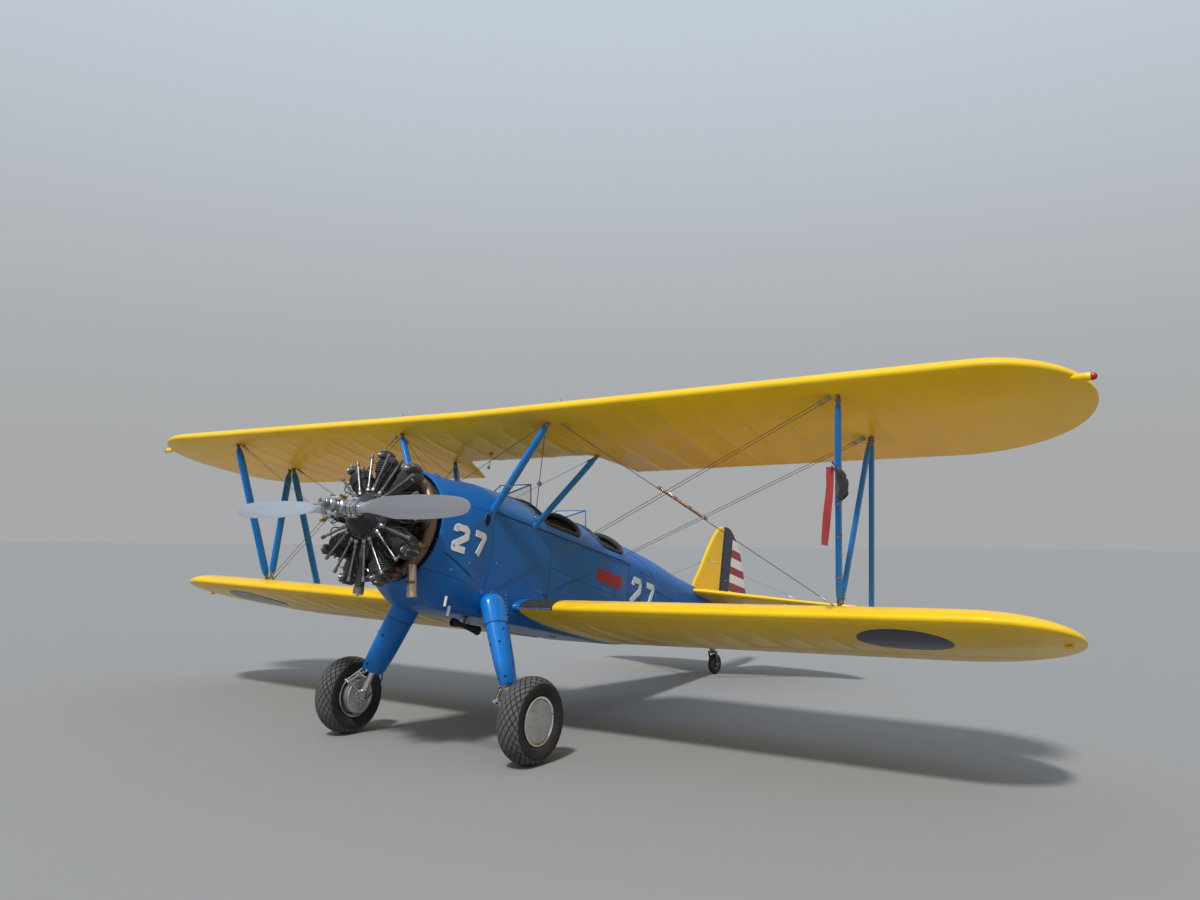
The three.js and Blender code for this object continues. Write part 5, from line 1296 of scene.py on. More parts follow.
RUDDER_HINGE, FIN_REAR, FIN_HALF = 6.385, 6.359, 0.020
FIN_LEAD = [(0.390, 5.652), (0.437, 5.655), (0.674, 5.789), (1.011, 5.980), (1.193, 6.110), (1.282, 6.195),
            (1.330, 6.275), (1.352, 6.345)]
RUDDER_REAR = [(-0.150, 6.450), (-0.142, 6.560), (-0.090, 6.800), (0.030, 7.060), (0.200, 7.215),
               (0.400, 7.262),
               (0.560, 7.240), (0.681, 7.174), (0.921, 7.049), (1.157, 6.869), (1.316, 6.651),
               (1.360, 6.533),
               (1.366, 6.480)]
FIN_LUGS, LUG_HALF = (0.560, 0.900, 1.240), 0.009
STRIPE_FROM_Y = 6.650
STRIPES = (1.240, 1.110, 1.000, 0.880, 0.780, 0.667, 0.552, 0.440, 0.326, 0.213, 0.100, -0.013)
RIB_GAP = 0.17


def rib_dip(place, gap=RIB_GAP, share=0.05):
    """How much thinner the cloth is between two ribs."""
    return 1 - share * math.sin(math.pi * place / gap) ** 2


def make_fin_and_rudder():
    heights = np.concatenate([np.arange(0.390, 1.19, 0.0425), np.linspace(1.19, 1.352, 13)])
    heights = sorted(set(np.round(heights, 4)))
    rings = []
    for z in heights:
        lead = float(table_curve(FIN_LEAD, z)[0])
        chord = max(FIN_REAR - lead, 0.012)
        ring = foil_ring(lead, FIN_REAR, 0.05,
                         lambda y: FIN_HALF * rib_dip(z - 0.39) * min(1.0, chord / 0.08 + 0.3))
        rings.append([(x, y, z) for y, x in ring])
    fin = Shape().loft(rings)
    for z in FIN_LUGS:
        fin.pad(0.013, 0.035, -0.005, 0.005, 0.012, 0.001, 1, Matrix.Translation((0, 6.364, z)))
        fin.rod((0, RUDDER_HINGE, z - 0.007), (0, RUDDER_HINGE, z + 0.007), 0.006, 12, 1)
    fin.build("fin_cloth", ["yellow", "steel"], slot="wing_yellow", replaces="fin")

    heights = [*np.arange(-0.130, 1.35, RIB_GAP / 4), -0.150, -0.148, -0.145, -0.141,
               1.345, 1.352, 1.358, 1.362, 1.366, *STRIPES]
    for z in FIN_LUGS:
        heights += [z - LUG_HALF - 0.0005, z - LUG_HALF, z + LUG_HALF, z + LUG_HALF + 0.0005]
    heights = sorted(set(np.round(heights, 4)))
    rings = []
    for z in heights:
        notched = any(abs(z - lug) <= LUG_HALF + 0.0001 for lug in FIN_LUGS)
        lead = RUDDER_HINGE + 0.022 if notched else RUDDER_HINGE - FIN_HALF
        if z > 1.352:
            lead += 0.09 * ((z - 1.352) / 0.014) ** 2
        rear = max(float(table_curve(RUDDER_REAR, z)[0]), lead + 0.02)
        thick = rib_dip(z + 0.150)
        ring = foil_ring(lead, rear, 0.002 if notched else 0.020,
                         lambda y: max(0.0205 - 0.0145 * max(y - RUDDER_HINGE, 0) / 0.885, 0.003) * thick,
                         STRIPE_FROM_Y)
        rings.append([(x, y, z) for y, x in ring])
    wide = len(rings[0])

    def paint(row, column):
        z = (heights[row] + heights[row + 1]) / 2
        if z > STRIPES[0] or (3 < column < wide - 5):
            return 0
        return 1 + sum(z < border for border in STRIPES[1:]) % 2

    rudder = Shape().loft(rings, paint)
    for sign in (1, -1):
        rudder.tube([(sign * 0.014, 6.440, 0.640), (sign * 0.075, 6.425, 0.640)], [0.008, 0.004], 8, 3)
        rudder.bolt((sign * 0.074, 6.425, 0.632), (0, 0, 1), 0.006, 0.012, 3)
    rudder.build("rudder_cloth_striped", ["navy", "white", "red", "steel"], "rudder_panel", "rudder_cloth",
                 "rudder")


# Across, leading edge, trailing edge, thickness
TAILPLANE = [(0.0, 5.490, 6.900, 0.080), (0.090, 5.490, 6.830, 0.080), (0.700, 5.745, 6.820, 0.072),
             (1.250, 6.000, 6.740, 0.060), (1.600, 6.150, 6.620, 0.048), (1.800, 6.220, 6.480, 0.040),
             (1.900, 6.236, 6.350, 0.034)]
TAIL_Z, TAIL_REAR, ELEVATOR_HINGE, CENTRE_LEAD = 0.350, 6.244, 6.290, 5.6465
ELEVATOR_LUGS = (0.480, 1.200)
OUTER_PLACES = (0.56, 0.70, 0.84, 0.98, 1.12, 1.25, 1.38, 1.50, 1.60, 1.68, 1.74, 1.79, 1.83, 1.86, 1.88,
                1.895)
ELEVATOR_CUT = {"inner": 0.115, "start_y": 6.340, "outer": 0.370, "end_y": 6.900}


def make_tailplane():
    half = [0.0915, 0.14, 0.25, 0.40, *OUTER_PLACES]
    stations = [-x for x in reversed(half)] + [-0.0905, 0.0905] + half
    rings = []
    for x in stations:
        lead, _, thick = table_curve(TAILPLANE, abs(x))
        inside = abs(x) < 0.091
        lead = CENTRE_LEAD if inside else lead
        thick *= 1.0 if inside else rib_dip(abs(x), 0.28, 0.04)
        nose = min(0.10, 0.45 * (TAIL_REAR - lead))
        ring = foil_ring(lead, TAIL_REAR, 0.01 if inside else nose, lambda y: thick / 2)
        rings.append([(x, y, TAIL_Z + z) for y, z in ring])
    plane = Shape().loft(rings)
    for sign in (1, -1):
        for x in ELEVATOR_LUGS:
            plane.pad(0.005, 0.036, -0.012, 0.012, 0.0045, 0.001, 1,
                      Matrix.Translation((sign * x, 6.262, TAIL_Z)))
            plane.rod((sign * x - 0.007, ELEVATOR_HINGE, TAIL_Z),
                      (sign * x + 0.007, ELEVATOR_HINGE, TAIL_Z), 0.006, 12, 1)
    plane.build("stabiliser_cloth", ["yellow", "steel"], slot="wing_yellow", replaces="stabiliser")

    elevators = Shape()
    cut = ELEVATOR_CUT
    for sign in (1, -1):
        stations = [cut["inner"], 0.14, 0.17, 0.21, 0.26, 0.31, 0.335, 0.35, 0.37, 0.42, *OUTER_PLACES]
        for lug in ELEVATOR_LUGS:
            stations += [lug - LUG_HALF - 0.0005, lug - LUG_HALF, lug + LUG_HALF, lug + LUG_HALF + 0.0005]
        rings = []
        for x in sorted(stations):
            lead, trail, thick = table_curve(TAILPLANE, x)
            notched = any(abs(x - lug) <= LUG_HALF + 0.0001 for lug in ELEVATOR_LUGS)
            start = ELEVATOR_HINGE + 0.022 if notched else ELEVATOR_HINGE - thick / 2
            slope = (cut["end_y"] - cut["start_y"]) / (cut["outer"] - cut["inner"])
            end = min(trail, cut["start_y"] + (x - cut["inner"]) * slope)
            thin = rib_dip(x, 0.28, 0.05)

            def depth(y):
                share = min(max((y - ELEVATOR_HINGE) / (trail - ELEVATOR_HINGE), 0), 1)
                return (thick / 2 - (thick / 2 - 0.004) * share) * (thin if share > 0.05 else 1)

            ring = foil_ring(start, end, 0.002 if notched else thick / 2, depth)
            rings.append([(sign * x, y, TAIL_Z + z) for y, z in ring])
        elevators.loft(rings)
        elevators.pad(0.006, 0.020, -0.062, -0.02, 0.005, 0.002, 1,
                      Matrix.Translation((sign * 0.16, ELEVATOR_HINGE + 0.01, TAIL_Z)))
        inner, outer = 0.62, 1.02
        for x in (inner, outer):
            trail = float(table_curve(TAILPLANE, x)[1])
            elevators.pad(0.002, 0.058, -0.012, 0.012, 0.0015, 0.0005, 2,
                          Matrix.Translation((sign * x, trail - 0.060, TAIL_Z)))
    elevators.rod((-0.130, ELEVATOR_HINGE, TAIL_Z), (0.130, ELEVATOR_HINGE, TAIL_Z), 0.0195, 24, 1)
    elevators.build("elevator_cloth", ["yellow", "steel", "seam"], "elevator_panels", "wing_yellow",
                    "elevators")


make_fin_and_rudder()
make_tailplane()


# Propeller
# Along the blade, chord, thickness, pitch in degrees
BLADE = [(0.1853, 0.084, 0.084, 0), (0.250, 0.088, 0.070, 30), (0.340, 0.130, 0.044, 42),
         (0.520, 0.176, 0.028, 34),
         (0.760, 0.180, 0.020, 26), (1.000, 0.162, 0.015, 20), (1.170, 0.128, 0.011, 17),
         (1.240, 0.086, 0.009, 16),
         (1.258, 0.058, 0.0075, 16), (1.268, 0.020, 0.006, 16)]


def make_propeller():
    rings = []
    tip = (1.19, 1.21, 1.225, 1.24, 1.25, 1.258, 1.264, 1.268)
    places = [*np.linspace(0.1853, 0.34, 12), *np.linspace(0.37, 1.17, 26), *tip]
    for along in places:
        chord, thick, pitch = table_curve(BLADE, along)
        tilt, round_share = math.radians(pitch), max(0.0, 1 - (along - 0.1853) / 0.12)
        ring = []
        for t in np.linspace(0, 2 * math.pi, 36, endpoint=False):
            a = chord / 2 * math.cos(t)
            b = thick / 2 * math.copysign(abs(math.sin(t)) ** 1.7, math.sin(t))
            if b < 0:
                b *= round_share + (1 - round_share) * 0.55
            ring.append((along, -a * math.sin(tilt) - b * math.cos(tilt),
                         a * math.cos(tilt) - b * math.sin(tilt)))
        rings.append(ring)
    blade = Shape().loft(rings)
    blade.lathe([(0.041, 0.0), (0.0445, 0.002), (0.0445, 0.012), (0.041, 0.014)],
                aim((0.188, 0, 0), (1, 0, 0)), 32)
    for side, sign in SIDES:
        space = LEVEL if sign > 0 else LEVEL @ Matrix.Rotation(math.pi, 4, "Y")
        blade.build(f"{side}_blade_metal", "blade", "propeller", "blade_polished",
                    f"{side}_propeller_blade", space, 60)

    hub = Shape()
    hub.lathe([(0.010, -0.212), (0.0115, -0.2185), (0.020, -0.222), (0.029, -0.221), (0.0335, -0.214),
               (0.0338, -0.200),
               (0.0305, -0.197), (0.0305, -0.188), (0.0338, -0.185), (0.0338, -0.152), (0.044, -0.146),
               (0.0475, -0.140),
               (0.0475, -0.112), (0.043, -0.108), (0.043, -0.092), (0.0475, -0.088), (0.0475, -0.074),
               (0.058, -0.068),
               (0.0655, -0.060), (0.0655, 0.018), (0.060, 0.024), (0.060, 0.044), (0.0655, 0.048),
               (0.0655, 0.061),
               (0.037, 0.061)], aim((0, 0, 0), (0, 1, 0)), 48)
    for sign in (1, -1):
        hub.lathe([(0.052, 0.020), (0.0575, 0.030), (0.0575, 0.078), (0.0500, 0.082), (0.0500, 0.094),
                   (0.0575, 0.098),
                   (0.0575, 0.128), (0.053, 0.132), (0.053, 0.146), (0.0578, 0.149), (0.0578, 0.166),
                   (0.0535, 0.170),
                   (0.0535, 0.180), (0.0565, 0.182), (0.0565, 0.1845), (0.046, 0.185)],
                  aim((0, 0, 0), (sign, 0, 0)), 40)
        for reach in (0.113, 0.157):
            for rise in (1, -1):
                hub.pad(0.012, 0.016, -0.018, 0.018, 0.008, 0.003, 0,
                        aim((sign * reach, -0.004, rise * 0.062), (0, 1, 0)))
                hub.bolt((sign * reach, -0.022, rise * 0.064), (0, -1, 0), 0.0095, 0.010, 1)
                hub.bolt((sign * reach, 0.014, rise * 0.064), (0, 1, 0), 0.0095, 0.010, 1)
    for k in range(8):
        turn = math.pi * (k + 0.5) / 4
        hub.bolt((0.057 * math.cos(turn), -0.061, 0.057 * math.sin(turn)), (0, -1, 0), 0.006, 0.006, 1)
    for sign in (1, -1):
        hub.lathe([(0.0135, -0.045), (0.018, -0.040), (0.018, 0.040), (0.0135, 0.045)],
                  aim((0, -0.085, sign * 0.055), (1, 0, 0)), 20, 1)
    hub.build("propeller_clamp_hub", ["hub", "bright"], "propeller", "hub_steel", "propeller_hub")


make_propeller()


# Engine, nine cylinders about the thrust line
CYLINDERS, CYLINDER_Y, FOOT = 9, 0.365, 0.170
ROCKER_SIDE = 0.056
HARNESS = {"y": 0.296, "radius": 0.214, "tube": 0.0085}
SUMP_X, SUMP_Y, SUMP_Z = 0.010, 0.300, -0.603


def bay_turn(k):
    """A place whose Z axis points out along cylinder k."""
    return Matrix.Rotation(2 * math.pi * k / CYLINDERS, 4, "Y")


def cylinder_profile():
    made = [(0.068, 0.0), (0.090, 0.004), (0.090, 0.016), (0.066, 0.020)]
    for k in range(12):
        low = 0.026 + 0.0145 * k
        reach = 0.078 + 0.0006 * k
        made += [(0.064, low), (reach, low + 0.0015), (reach, low + 0.0045), (0.064, low + 0.006)]
    for k in range(8):
        low = 0.204 + 0.0145 * k
        reach = 0.096 if k < 6 else 0.096 - 0.010 * (k - 5)
        made += [(0.072, low), (reach, low + 0.0015), (reach, low + 0.005), (0.072, low + 0.0065)]
    return made + [(0.060, 0.330), (0.030, 0.340), (0.0, 0.342)]


def make_cylinder(engine, k):
    turn = bay_turn(k)
    engine.lathe(cylinder_profile(), turn @ Matrix.Translation((0, CYLINDER_Y, FOOT)), 26, 0)
    for side in (1, -1):
        box = turn @ Matrix.Translation((side * ROCKER_SIDE, CYLINDER_Y, 0))
        box = box @ Matrix.Rotation(-side * 0.10, 4, "Y")
        rings = []
        for y, z, wide, high in ((-0.108, 0.506, 0.016, 0.015), (-0.104, 0.507, 0.022, 0.023),
                                 (-0.085, 0.508, 0.025, 0.029),
                                 (-0.045, 0.509, 0.0265, 0.033), (0.0, 0.510, 0.0265, 0.036),
                                 (0.030, 0.510, 0.024, 0.034),
                                 (0.040, 0.509, 0.016, 0.024)):
            rings.append([(x, y, z + w) for x, w in round_outline(wide, high, 0.62 * wide, 4)])
        engine.loft(rings, 0, at=box)
        cover = []
        for z, shrink in ((0.5395, 0.0), (0.5435, 0.0), (0.5490, 0.004), (0.5515, 0.010)):
            cover.append([(x, y - 0.040, z) for x,
                          y in round_outline(0.0265 - shrink, 0.058 - shrink, 0.02 - shrink / 2, 4)])
        engine.loft(cover, 0, at=box)
        for x, y in ((0.021, -0.088), (-0.021, -0.088), (0.021, 0.008), (-0.021, 0.008)):
            engine.bolt(box @ Vector((x, y, 0.542)), box.to_3x3() @ Vector((0, 0, 1)), 0.006, 0.005, 1)
        engine.lathe([(0.020, 0.0), (0.020, 0.005), (0.017, 0.008), (0.0, 0.009)],
                     box @ aim((0, -0.104, 0.506), (0, -1, 0)), 18, 0)
        engine.bolt(box @ Vector((0, -0.112, 0.506)), box.to_3x3() @ Vector((0, -1, 0)), 0.009, 0.007, 1)
        foot, head = Vector((side * 0.028, 0.235, 0.205)), Vector((side * 0.097, 0.266, 0.506))
        line = [foot.lerp(head, s) for s in (0.0, 0.10, 0.101, 0.16, 0.161, 0.90, 0.901, 1.0)]
        engine.tube(line[2:6], [0.0165, 0.0165, 0.0105, 0.0105], 12, 6, turn)
        engine.tube(line[:2] + [foot.lerp(head, 0.11)], 0.0155, 12, 0, turn)
        engine.tube([foot.lerp(head, 0.88), *line[6:]], [0.0130, 0.0150, 0.0150], 12, 0, turn)
        engine.lathe([(0.020, -0.012), (0.022, 0.0), (0.017, 0.014)], turn @ aim(foot, head - foot), 14, 2)
        plug = Vector((side * 0.090, 0.318, 0.452))
        engine.tube([plug - Vector((side * 0.03, 0, 0)), plug,
                     plug + Vector((side * 0.018, -0.012, 0.004))],
                    [0.010, 0.010, 0.006], 10, 2, turn)
    for side in (1, -1):
        lead = smooth_path([(side * 0.030, 0.292, 0.222), (side * 0.066, 0.262, 0.290),
                            (side * 0.118, 0.268, 0.380),
                            (side * 0.112, 0.303, 0.455)], 6)
        engine.tube(lead, 0.0045, 7, 3, turn)
    engine.tube(smooth_path([(0.090, 0.560, 0.190), (0.105, 0.545, 0.27), (0.098, 0.500, 0.37),
                             (0.055, 0.445, 0.44)], 5),
                0.027, 12, 0, turn)
    for reach in (0.20, 0.26):
        engine.lathe([(0.030, 0), (0.032, 0.004), (0.032, 0.012), (0.030, 0.016)],
                     turn @ aim((0.098, 0.552 - (reach - 0.2) * 0.3, reach), (0.1, -0.15, 1)), 14, 2)
    for x in (-0.052, 0.0, 0.052):
        for y in (CYLINDER_Y - 0.058, CYLINDER_Y + 0.058):
            outward = turn.to_3x3() @ Vector((0, 0, 1))
            engine.bolt(turn @ Vector((x, y, FOOT + 0.016)), outward, 0.007, 0.006, 2)


def hoop_section(turn, radius, y, tube, sides):
    """The section, at that turn, of a round tube that runs in a circle about the thrust line."""
    made = []
    for a in np.linspace(0, 2 * math.pi, sides, endpoint=False):
        reach = radius + tube * math.cos(a)
        made.append((reach * math.sin(turn), y + tube * math.sin(a), reach * math.cos(turn)))
    return made


def make_engine():
    centre = aim((0, 0, 0), (0, 1, 0))
    engine = Shape()
    for k in range(CYLINDERS):
        make_cylinder(engine, k)
    engine.lathe([(0.100, 0.2703), (0.176, 0.2703), (0.188, 0.276), (0.188, 0.300), (0.180, 0.306),
                  (0.180, 0.424),
                  (0.190, 0.432), (0.190, 0.455), (0.225, 0.475), (0.225, 0.545), (0.200, 0.560),
                  (0.150, 0.575),
                  (0.150, 0.655)], centre, 54, 4)
    engine.bolt_circle(18, 0.182, 0.272, 0.006, 0.007, 2, 0.5)
    engine.bolt_circle(18, 0.212, 0.476, 0.006, 0.007, 2, 0.5)
    turns = np.linspace(0, 2 * math.pi, 73)[:-1]
    harness = [hoop_section(turn, HARNESS["radius"], HARNESS["y"], HARNESS["tube"], 8) for turn in turns]
    engine.loft(np.array(harness), 3, wrap=True)
    sump = Matrix.Translation((SUMP_X, SUMP_Y, 0)) @ aim((0, 0, 0), (0, 0, -1))
    engine.lathe([(0.050, 0.180), (0.052, 0.300), (0.044, 0.330), (0.036, 0.345), (0.036, 0.545),
                  (0.041, 0.550),
                  (0.041, 0.592), (0.038, 0.596)], sump, 32, 4)
    engine.lathe([(0.0375, 0.594), (0.0360, 0.6005), (0.020, 0.603), (0.0, 0.6035)], sump, 32, 5)
    engine.bolt((SUMP_X, SUMP_Y, SUMP_Z), (0, 0, -1), 0.009, 0.007, 2)
    engine.tube(smooth_path([(0.045, 0.300, -0.400), (0.090, 0.33, -0.43), (0.120, 0.44, -0.40),
                             (0.100, 0.55, -0.30)], 6),
                0.011, 10, 2)
    engine.build("engine_cylinders",
                 ["cylinder", "bright", "steel", "lead", "crankcase", "cream", "push_tube"],
                 slot="engine_black", replaces="engine_block")

    nose = Shape()
    nose.lathe([(0.0355, 0.047), (0.0355, 0.092), (0.050, 0.096), (0.060, 0.094), (0.066, 0.100),
                (0.082, 0.104),
                (0.112, 0.128), (0.140, 0.160), (0.158, 0.190), (0.172, 0.222), (0.182, 0.226),
                (0.184, 0.268),
                (0.120, 0.2697)], centre, 54)
    nose.bolt_circle(14, 0.172, 0.224, 0.006, 0.007, 1)
    for k in range(9):
        turn = 2 * math.pi * (k + 0.5) / 9
        inner = np.array((0.075 * math.sin(turn), 0.104, 0.075 * math.cos(turn)))
        outer = np.array((0.165 * math.sin(turn), 0.212, 0.165 * math.cos(turn)))
        nose.tube([inner, (inner + outer) / 2 + (0, -0.004, 0), outer], [0.004, 0.006, 0.006], 8)
    nose.bolt_circle(8, 0.066, 0.099, 0.005, 0.006, 1, 0.25)
    nose.build("engine_nose_casting", ["crankcase", "steel"], slot="engine_grey",
               replaces="engine_nose_case")


COLLECTOR = {"y": 0.530, "radius": 0.412, "tube": 0.046}


def make_exhaust():
    exhaust = Shape()
    rings = []
    for k in range(108):
        turn = 2 * math.pi * k / 108
        swell = 0.003 if k % 12 < 2 else 0.0
        rings.append(hoop_section(turn, COLLECTOR["radius"], COLLECTOR["y"], COLLECTOR["tube"] + swell, 18))
    exhaust.loft(np.array(rings), wrap=True)
    for k in range(CYLINDERS):
        turn = bay_turn(k)
        path = smooth_path([(-0.045, 0.400, 0.466), (-0.052, 0.455, 0.462), (-0.052, 0.505, 0.440),
                            (-0.050, 0.530, 0.410)], 4)
        exhaust.tube(path, [0.026] * 4 + [0.029] * 5 + [0.032] * 4, 14, 0, turn)
        exhaust.lathe([(0.034, 0.0), (0.036, 0.003), (0.036, 0.009), (0.030, 0.012)],
                      turn @ aim((-0.046, 0.414, 0.466), (0, 1, 0)), 16, 0)
    path = smooth_path([(0.285, 0.530, -0.300), (0.300, 0.535, -0.380), (0.312, 0.545, -0.470),
                        (0.319, 0.556, -0.540),
                        (0.322, 0.560, -0.562)], 5)
    exhaust.tube(path, 0.038, 24, 1)
    direction = path[-1] - path[-2]
    exhaust.lathe([(0.037, -0.050), (0.040, -0.030), (0.0425, 0.0), (0.0405, 0.002), (0.038, -0.002),
                   (0.034, -0.060),
                   (0.0, -0.062)], aim(path[-1], direction), 32, 1)
    exhaust.lathe([(0.0378, -0.120), (0.0415, -0.116), (0.0415, -0.100), (0.0378, -0.096)],
                  aim(path[-1], direction), 32, 0)
    exhaust.build("exhaust_ring", ["bronze", "copper"], slot="exhaust_bronze", replaces="exhaust_collector")


make_engine()
make_exhaust()


# Paint, seams and plates on the fuselage, with a painted shadow band under the deck's edge
NUMERALS = {
    "2": [(0, 0.77), (0, 0.91), (0.13, 1), (0.87, 1), (1, 0.91), (1, 0.62), (0, 0.17), (0, 0), (1, 0)],
    "7": [(0, 1), (0.92, 1), (1, 0.93), (0.42, 0)],
}
NUMBER = "27"
NOSE_NUMBER = {"y": 0.735, "low": -0.155, "high": 0.068, "wide": 0.190, "gap": 0.055, "half": 0.0265}
REAR_NUMBER = {"y": 3.600, "low": -0.140, "high": 0.180, "wide": 0.240, "gap": 0.110, "half": 0.030}
PAINT_LIFT, NUMBER_LIFT = 0.0012, 0.0046


def fine_path(path, step=0.03):
    """The path with more points, at most a step apart."""
    made = []
    for a, b in zip(path, path[1:]):
        a, b = np.array(a, float), np.array(b, float)
        count = max(1, int(math.ceil(np.linalg.norm(b - a) / step)))
        made += [a + (b - a) * k / count for k in range(count)]
    made.append(np.array(path[-1], float))
    return made


def band(shape, path, half, high=PAINT_LIFT, look=0, place=on_side, low=-0.002):
    """A flat strip along a path on the skin, mitred at its corners."""
    path = fine_path(path)
    rings = []
    for k, point in enumerate(path):
        after = unit(path[k + 1] - point) if k + 1 < len(path) else unit(point - path[k - 1])
        before = unit(point - path[k - 1]) if k else after
        way = unit(before + after)
        reach = half / max(np.dot(way, after), 0.4)
        aside = reach * np.array((-way[1], way[0]))
        corners = ((point + aside, low), (point + aside, high), (point - aside, high), (point - aside, low))
        rings.append([place(*spot, lift)[0] for spot, lift in corners])
    return shape.loft(rings, look)


def patch(shape, centre, half_y, half_z, high=PAINT_LIFT, look=0, place=on_side, sides=28, low=-0.002):
    """A closed oval on the skin."""
    rings = []
    for share, lift in ((0.02, low), (1.0, low), (1.0, high), (0.6, high), (0.02, high)):
        ring = []
        for t in np.linspace(0, 2 * math.pi, sides, endpoint=False):
            spot = centre[0] + math.cos(t) * half_y * share, centre[1] + math.sin(t) * half_z * share
            ring.append(place(*spot, lift)[0])
        rings.append(ring)
    return shape.loft(rings, look)


def paint_number(shape, row, sign):
    """The number in flat bars with round joints, reading forwards on both sides."""
    span = len(NUMBER) * row["wide"] + (len(NUMBER) - 1) * row["gap"]
    for k, digit in enumerate(NUMBER):
        path = []
        for u, v in NUMERALS[digit]:
            run = k * (row["wide"] + row["gap"]) + row["half"] + u * (row["wide"] - 2 * row["half"])
            y = row["y"] + (run if sign > 0 else span - run)
            path.append((y, row["low"] + row["half"] + v * (row["high"] - row["low"] - 2 * row["half"])))
        for start, end in zip(path, path[1:]):
            band(shape, [start, end], row["half"], NUMBER_LIFT, low=-0.004)
        for joint in path[1:-1]:
            patch(shape, joint, row["half"], row["half"], NUMBER_LIFT, sides=16, low=-0.004)


SEAMS = [
    [(1.185, 0.254), (1.239, 0.146), (1.277, 0.027), (1.282, -0.134), (1.264, -0.297), (1.225, -0.400)],
    [(2.032, 0.249), (2.100, 0.060), (2.123, -0.251), (2.110, -0.330)],
    [(0.614, -0.330), (0.861, -0.355), (1.209, -0.409)],
    [(0.951, 0.246), (1.077, 0.253), (1.208, 0.255)],
    [(3.606, 0.412), (3.933, 0.372), (4.098, 0.272), (4.116, 0.243)],
    [(3.500, -0.490), (3.500, 0.275)],
]
# The deck's lower edge: a dark band of painted shadow where the decking overhangs the side
DECK_EDGE_SHADOW = [(1.252, 0.279), (3.500, 0.279)]
STRINGERS = [[(3.53, -0.02), (4.13, -0.04), (5.00, -0.05), (6.10, -0.02)],
             [(3.53, 0.16), (4.13, 0.14), (5.00, 0.11), (6.10, 0.12)],
             [(3.53, -0.26), (4.13, -0.22), (5.00, -0.19), (6.10, -0.13)]]
# A dark oval of painted shade stands in for the hole's recess, with a rim round it
OVAL_HOLE = {"centre": (1.151, 0.183), "half": (0.043, 0.051)}


def make_side_paint():
    for side, sign in SIDES:
        space = side_space(sign)
        paint = Shape()
        paint_number(paint, NOSE_NUMBER, sign)
        paint_number(paint, REAR_NUMBER, sign)
        paint.build(f"{side}_side_number", "white_paint", space=space)

        lines = Shape()
        for seam in SEAMS:
            band(lines, seam, 0.0016, 0.0006)
        # Painted shadow: a dark band under the deck's lower edge, in the seam colour
        band(lines, DECK_EDGE_SHADOW, 0.0080, 0.0014)
        # Painted shade: a dark oval in place of the hole's recess
        patch(lines, OVAL_HOLE["centre"], *OVAL_HOLE["half"], 0.0012)
        turns = np.linspace(0, 2 * math.pi, 33)[:-1]
        (y, z), (a, b) = OVAL_HOLE["centre"], OVAL_HOLE["half"]
        rim = [on_side(y + (a + 0.003) * math.cos(t), z + (b + 0.003) * math.sin(t), 0.001)[0]
               for t in turns]
        lines.tube([*rim, rim[0], rim[1]], 0.0035, 8, 1)
        band(lines, [(2.13, 0.262), (2.60, 0.262), (3.49, 0.262)], 0.005, 0.004, 1)
        band(lines, [(2.102, -0.013), (2.934, -0.071), (3.49, -0.10)], 0.004, 0.0028, 1)
        band(lines, [(0.700, -0.168), (1.040, -0.297)], 0.010, 0.004, 1)
        band(lines, [(0.690, -0.186), (1.030, -0.315)], 0.003, 0.0015)
        for path in STRINGERS:
            band(lines, path, 0.006, 0.0032, 2)
        for path in SEAMS[:4]:
            for point in fine_path(path, 0.095)[1:-1]:
                spot, out = on_side(point[0] - 0.016, point[1])
                lines.lathe([(0.0055, -0.002), (0.0055, 0.0012), (0.0035, 0.002)], aim(spot, out), 10, 1)
        for y, z in ((1.043, -0.305), (1.350, -0.137), (0.80, -0.30), (0.98, -0.21)):
            spot, out = on_side(y, z)
            lines.lathe([(0.011, -0.002), (0.011, 0.002), (0.007, 0.004)], aim(spot, out), 14, 3)
        for y in (3.84, 4.02):
            spot, out = on_side(y, 0.262 if y < 4 else 0.255)
            lines.pad(0.010, 0.045, -0.002, 0.006, 0.006, 0.002, 1, aim(spot, out, (0, 1, 0)))
        lines.build(f"{side}_skin_seams", ["seam", "blue", "blue_cloth", "steel"], slot="cowl_blue",
                    space=space)

        plates = Shape()
        band(plates, [(2.880, 0.065), (3.340, 0.050)], 0.062, 0.0016, 0)
        band(plates, [(2.990, -0.078), (3.180, -0.084)], 0.042, 0.0012, 1)
        plates.build(f"{side}_blank_plates", ["red_plate", "faded_blue"], space=space)


make_side_paint()


# Deck top: lines of the access panel and joints, and the filler cap
def make_deck_details():
    deck = Shape()
    for x in (-0.15, 0.15):
        band(deck, [(1.30, x), (1.66, x * 1.05)], 0.0018, 0.0006, 0, on_deck)
    for y in (1.30, 1.66):
        band(deck, [(y, -0.15), (y, 0.15)], 0.0018, 0.0006, 0, on_deck)
    for y in (1.262, 2.75):
        band(deck, [(y, -0.40), (y, -0.2), (y, 0.0), (y, 0.2), (y, 0.40)], 0.0022, 0.0008, 0, on_deck)
    spot, out = on_deck(0.90, 0.0)
    deck.lathe([(0.045, -0.004), (0.045, 0.010), (0.040, 0.014), (0.012, 0.016), (0.012, 0.030),
                (0.004, 0.032)],
               aim(spot, out), 28, 1)
    for x in np.linspace(-0.13, 0.13, 5):
        for y in (1.312, 1.648):
            spot, out = on_deck(y, float(x))
            deck.lathe([(0.0055, -0.002), (0.0055, 0.0012), (0.0035, 0.002)], aim(spot, out), 10, 2)
    deck.build("deck_panel_lines", ["seam", "blue", "steel"], slot="cowl_blue")


make_deck_details()


# Windshields
# Middle pane's foot, top and side panes' rear end along y, and the height of the top
WINDSHIELDS = {"front": (1.712, 1.964, 1.984, 0.722), "rear": (2.604, 2.892, 2.911, 0.705)}
PANE = {"thick": 0.004, "sill_x": 0.084, "sill_z": 0.550, "head_x": 0.180, "back_x": 0.214, "back_z": 0.450}


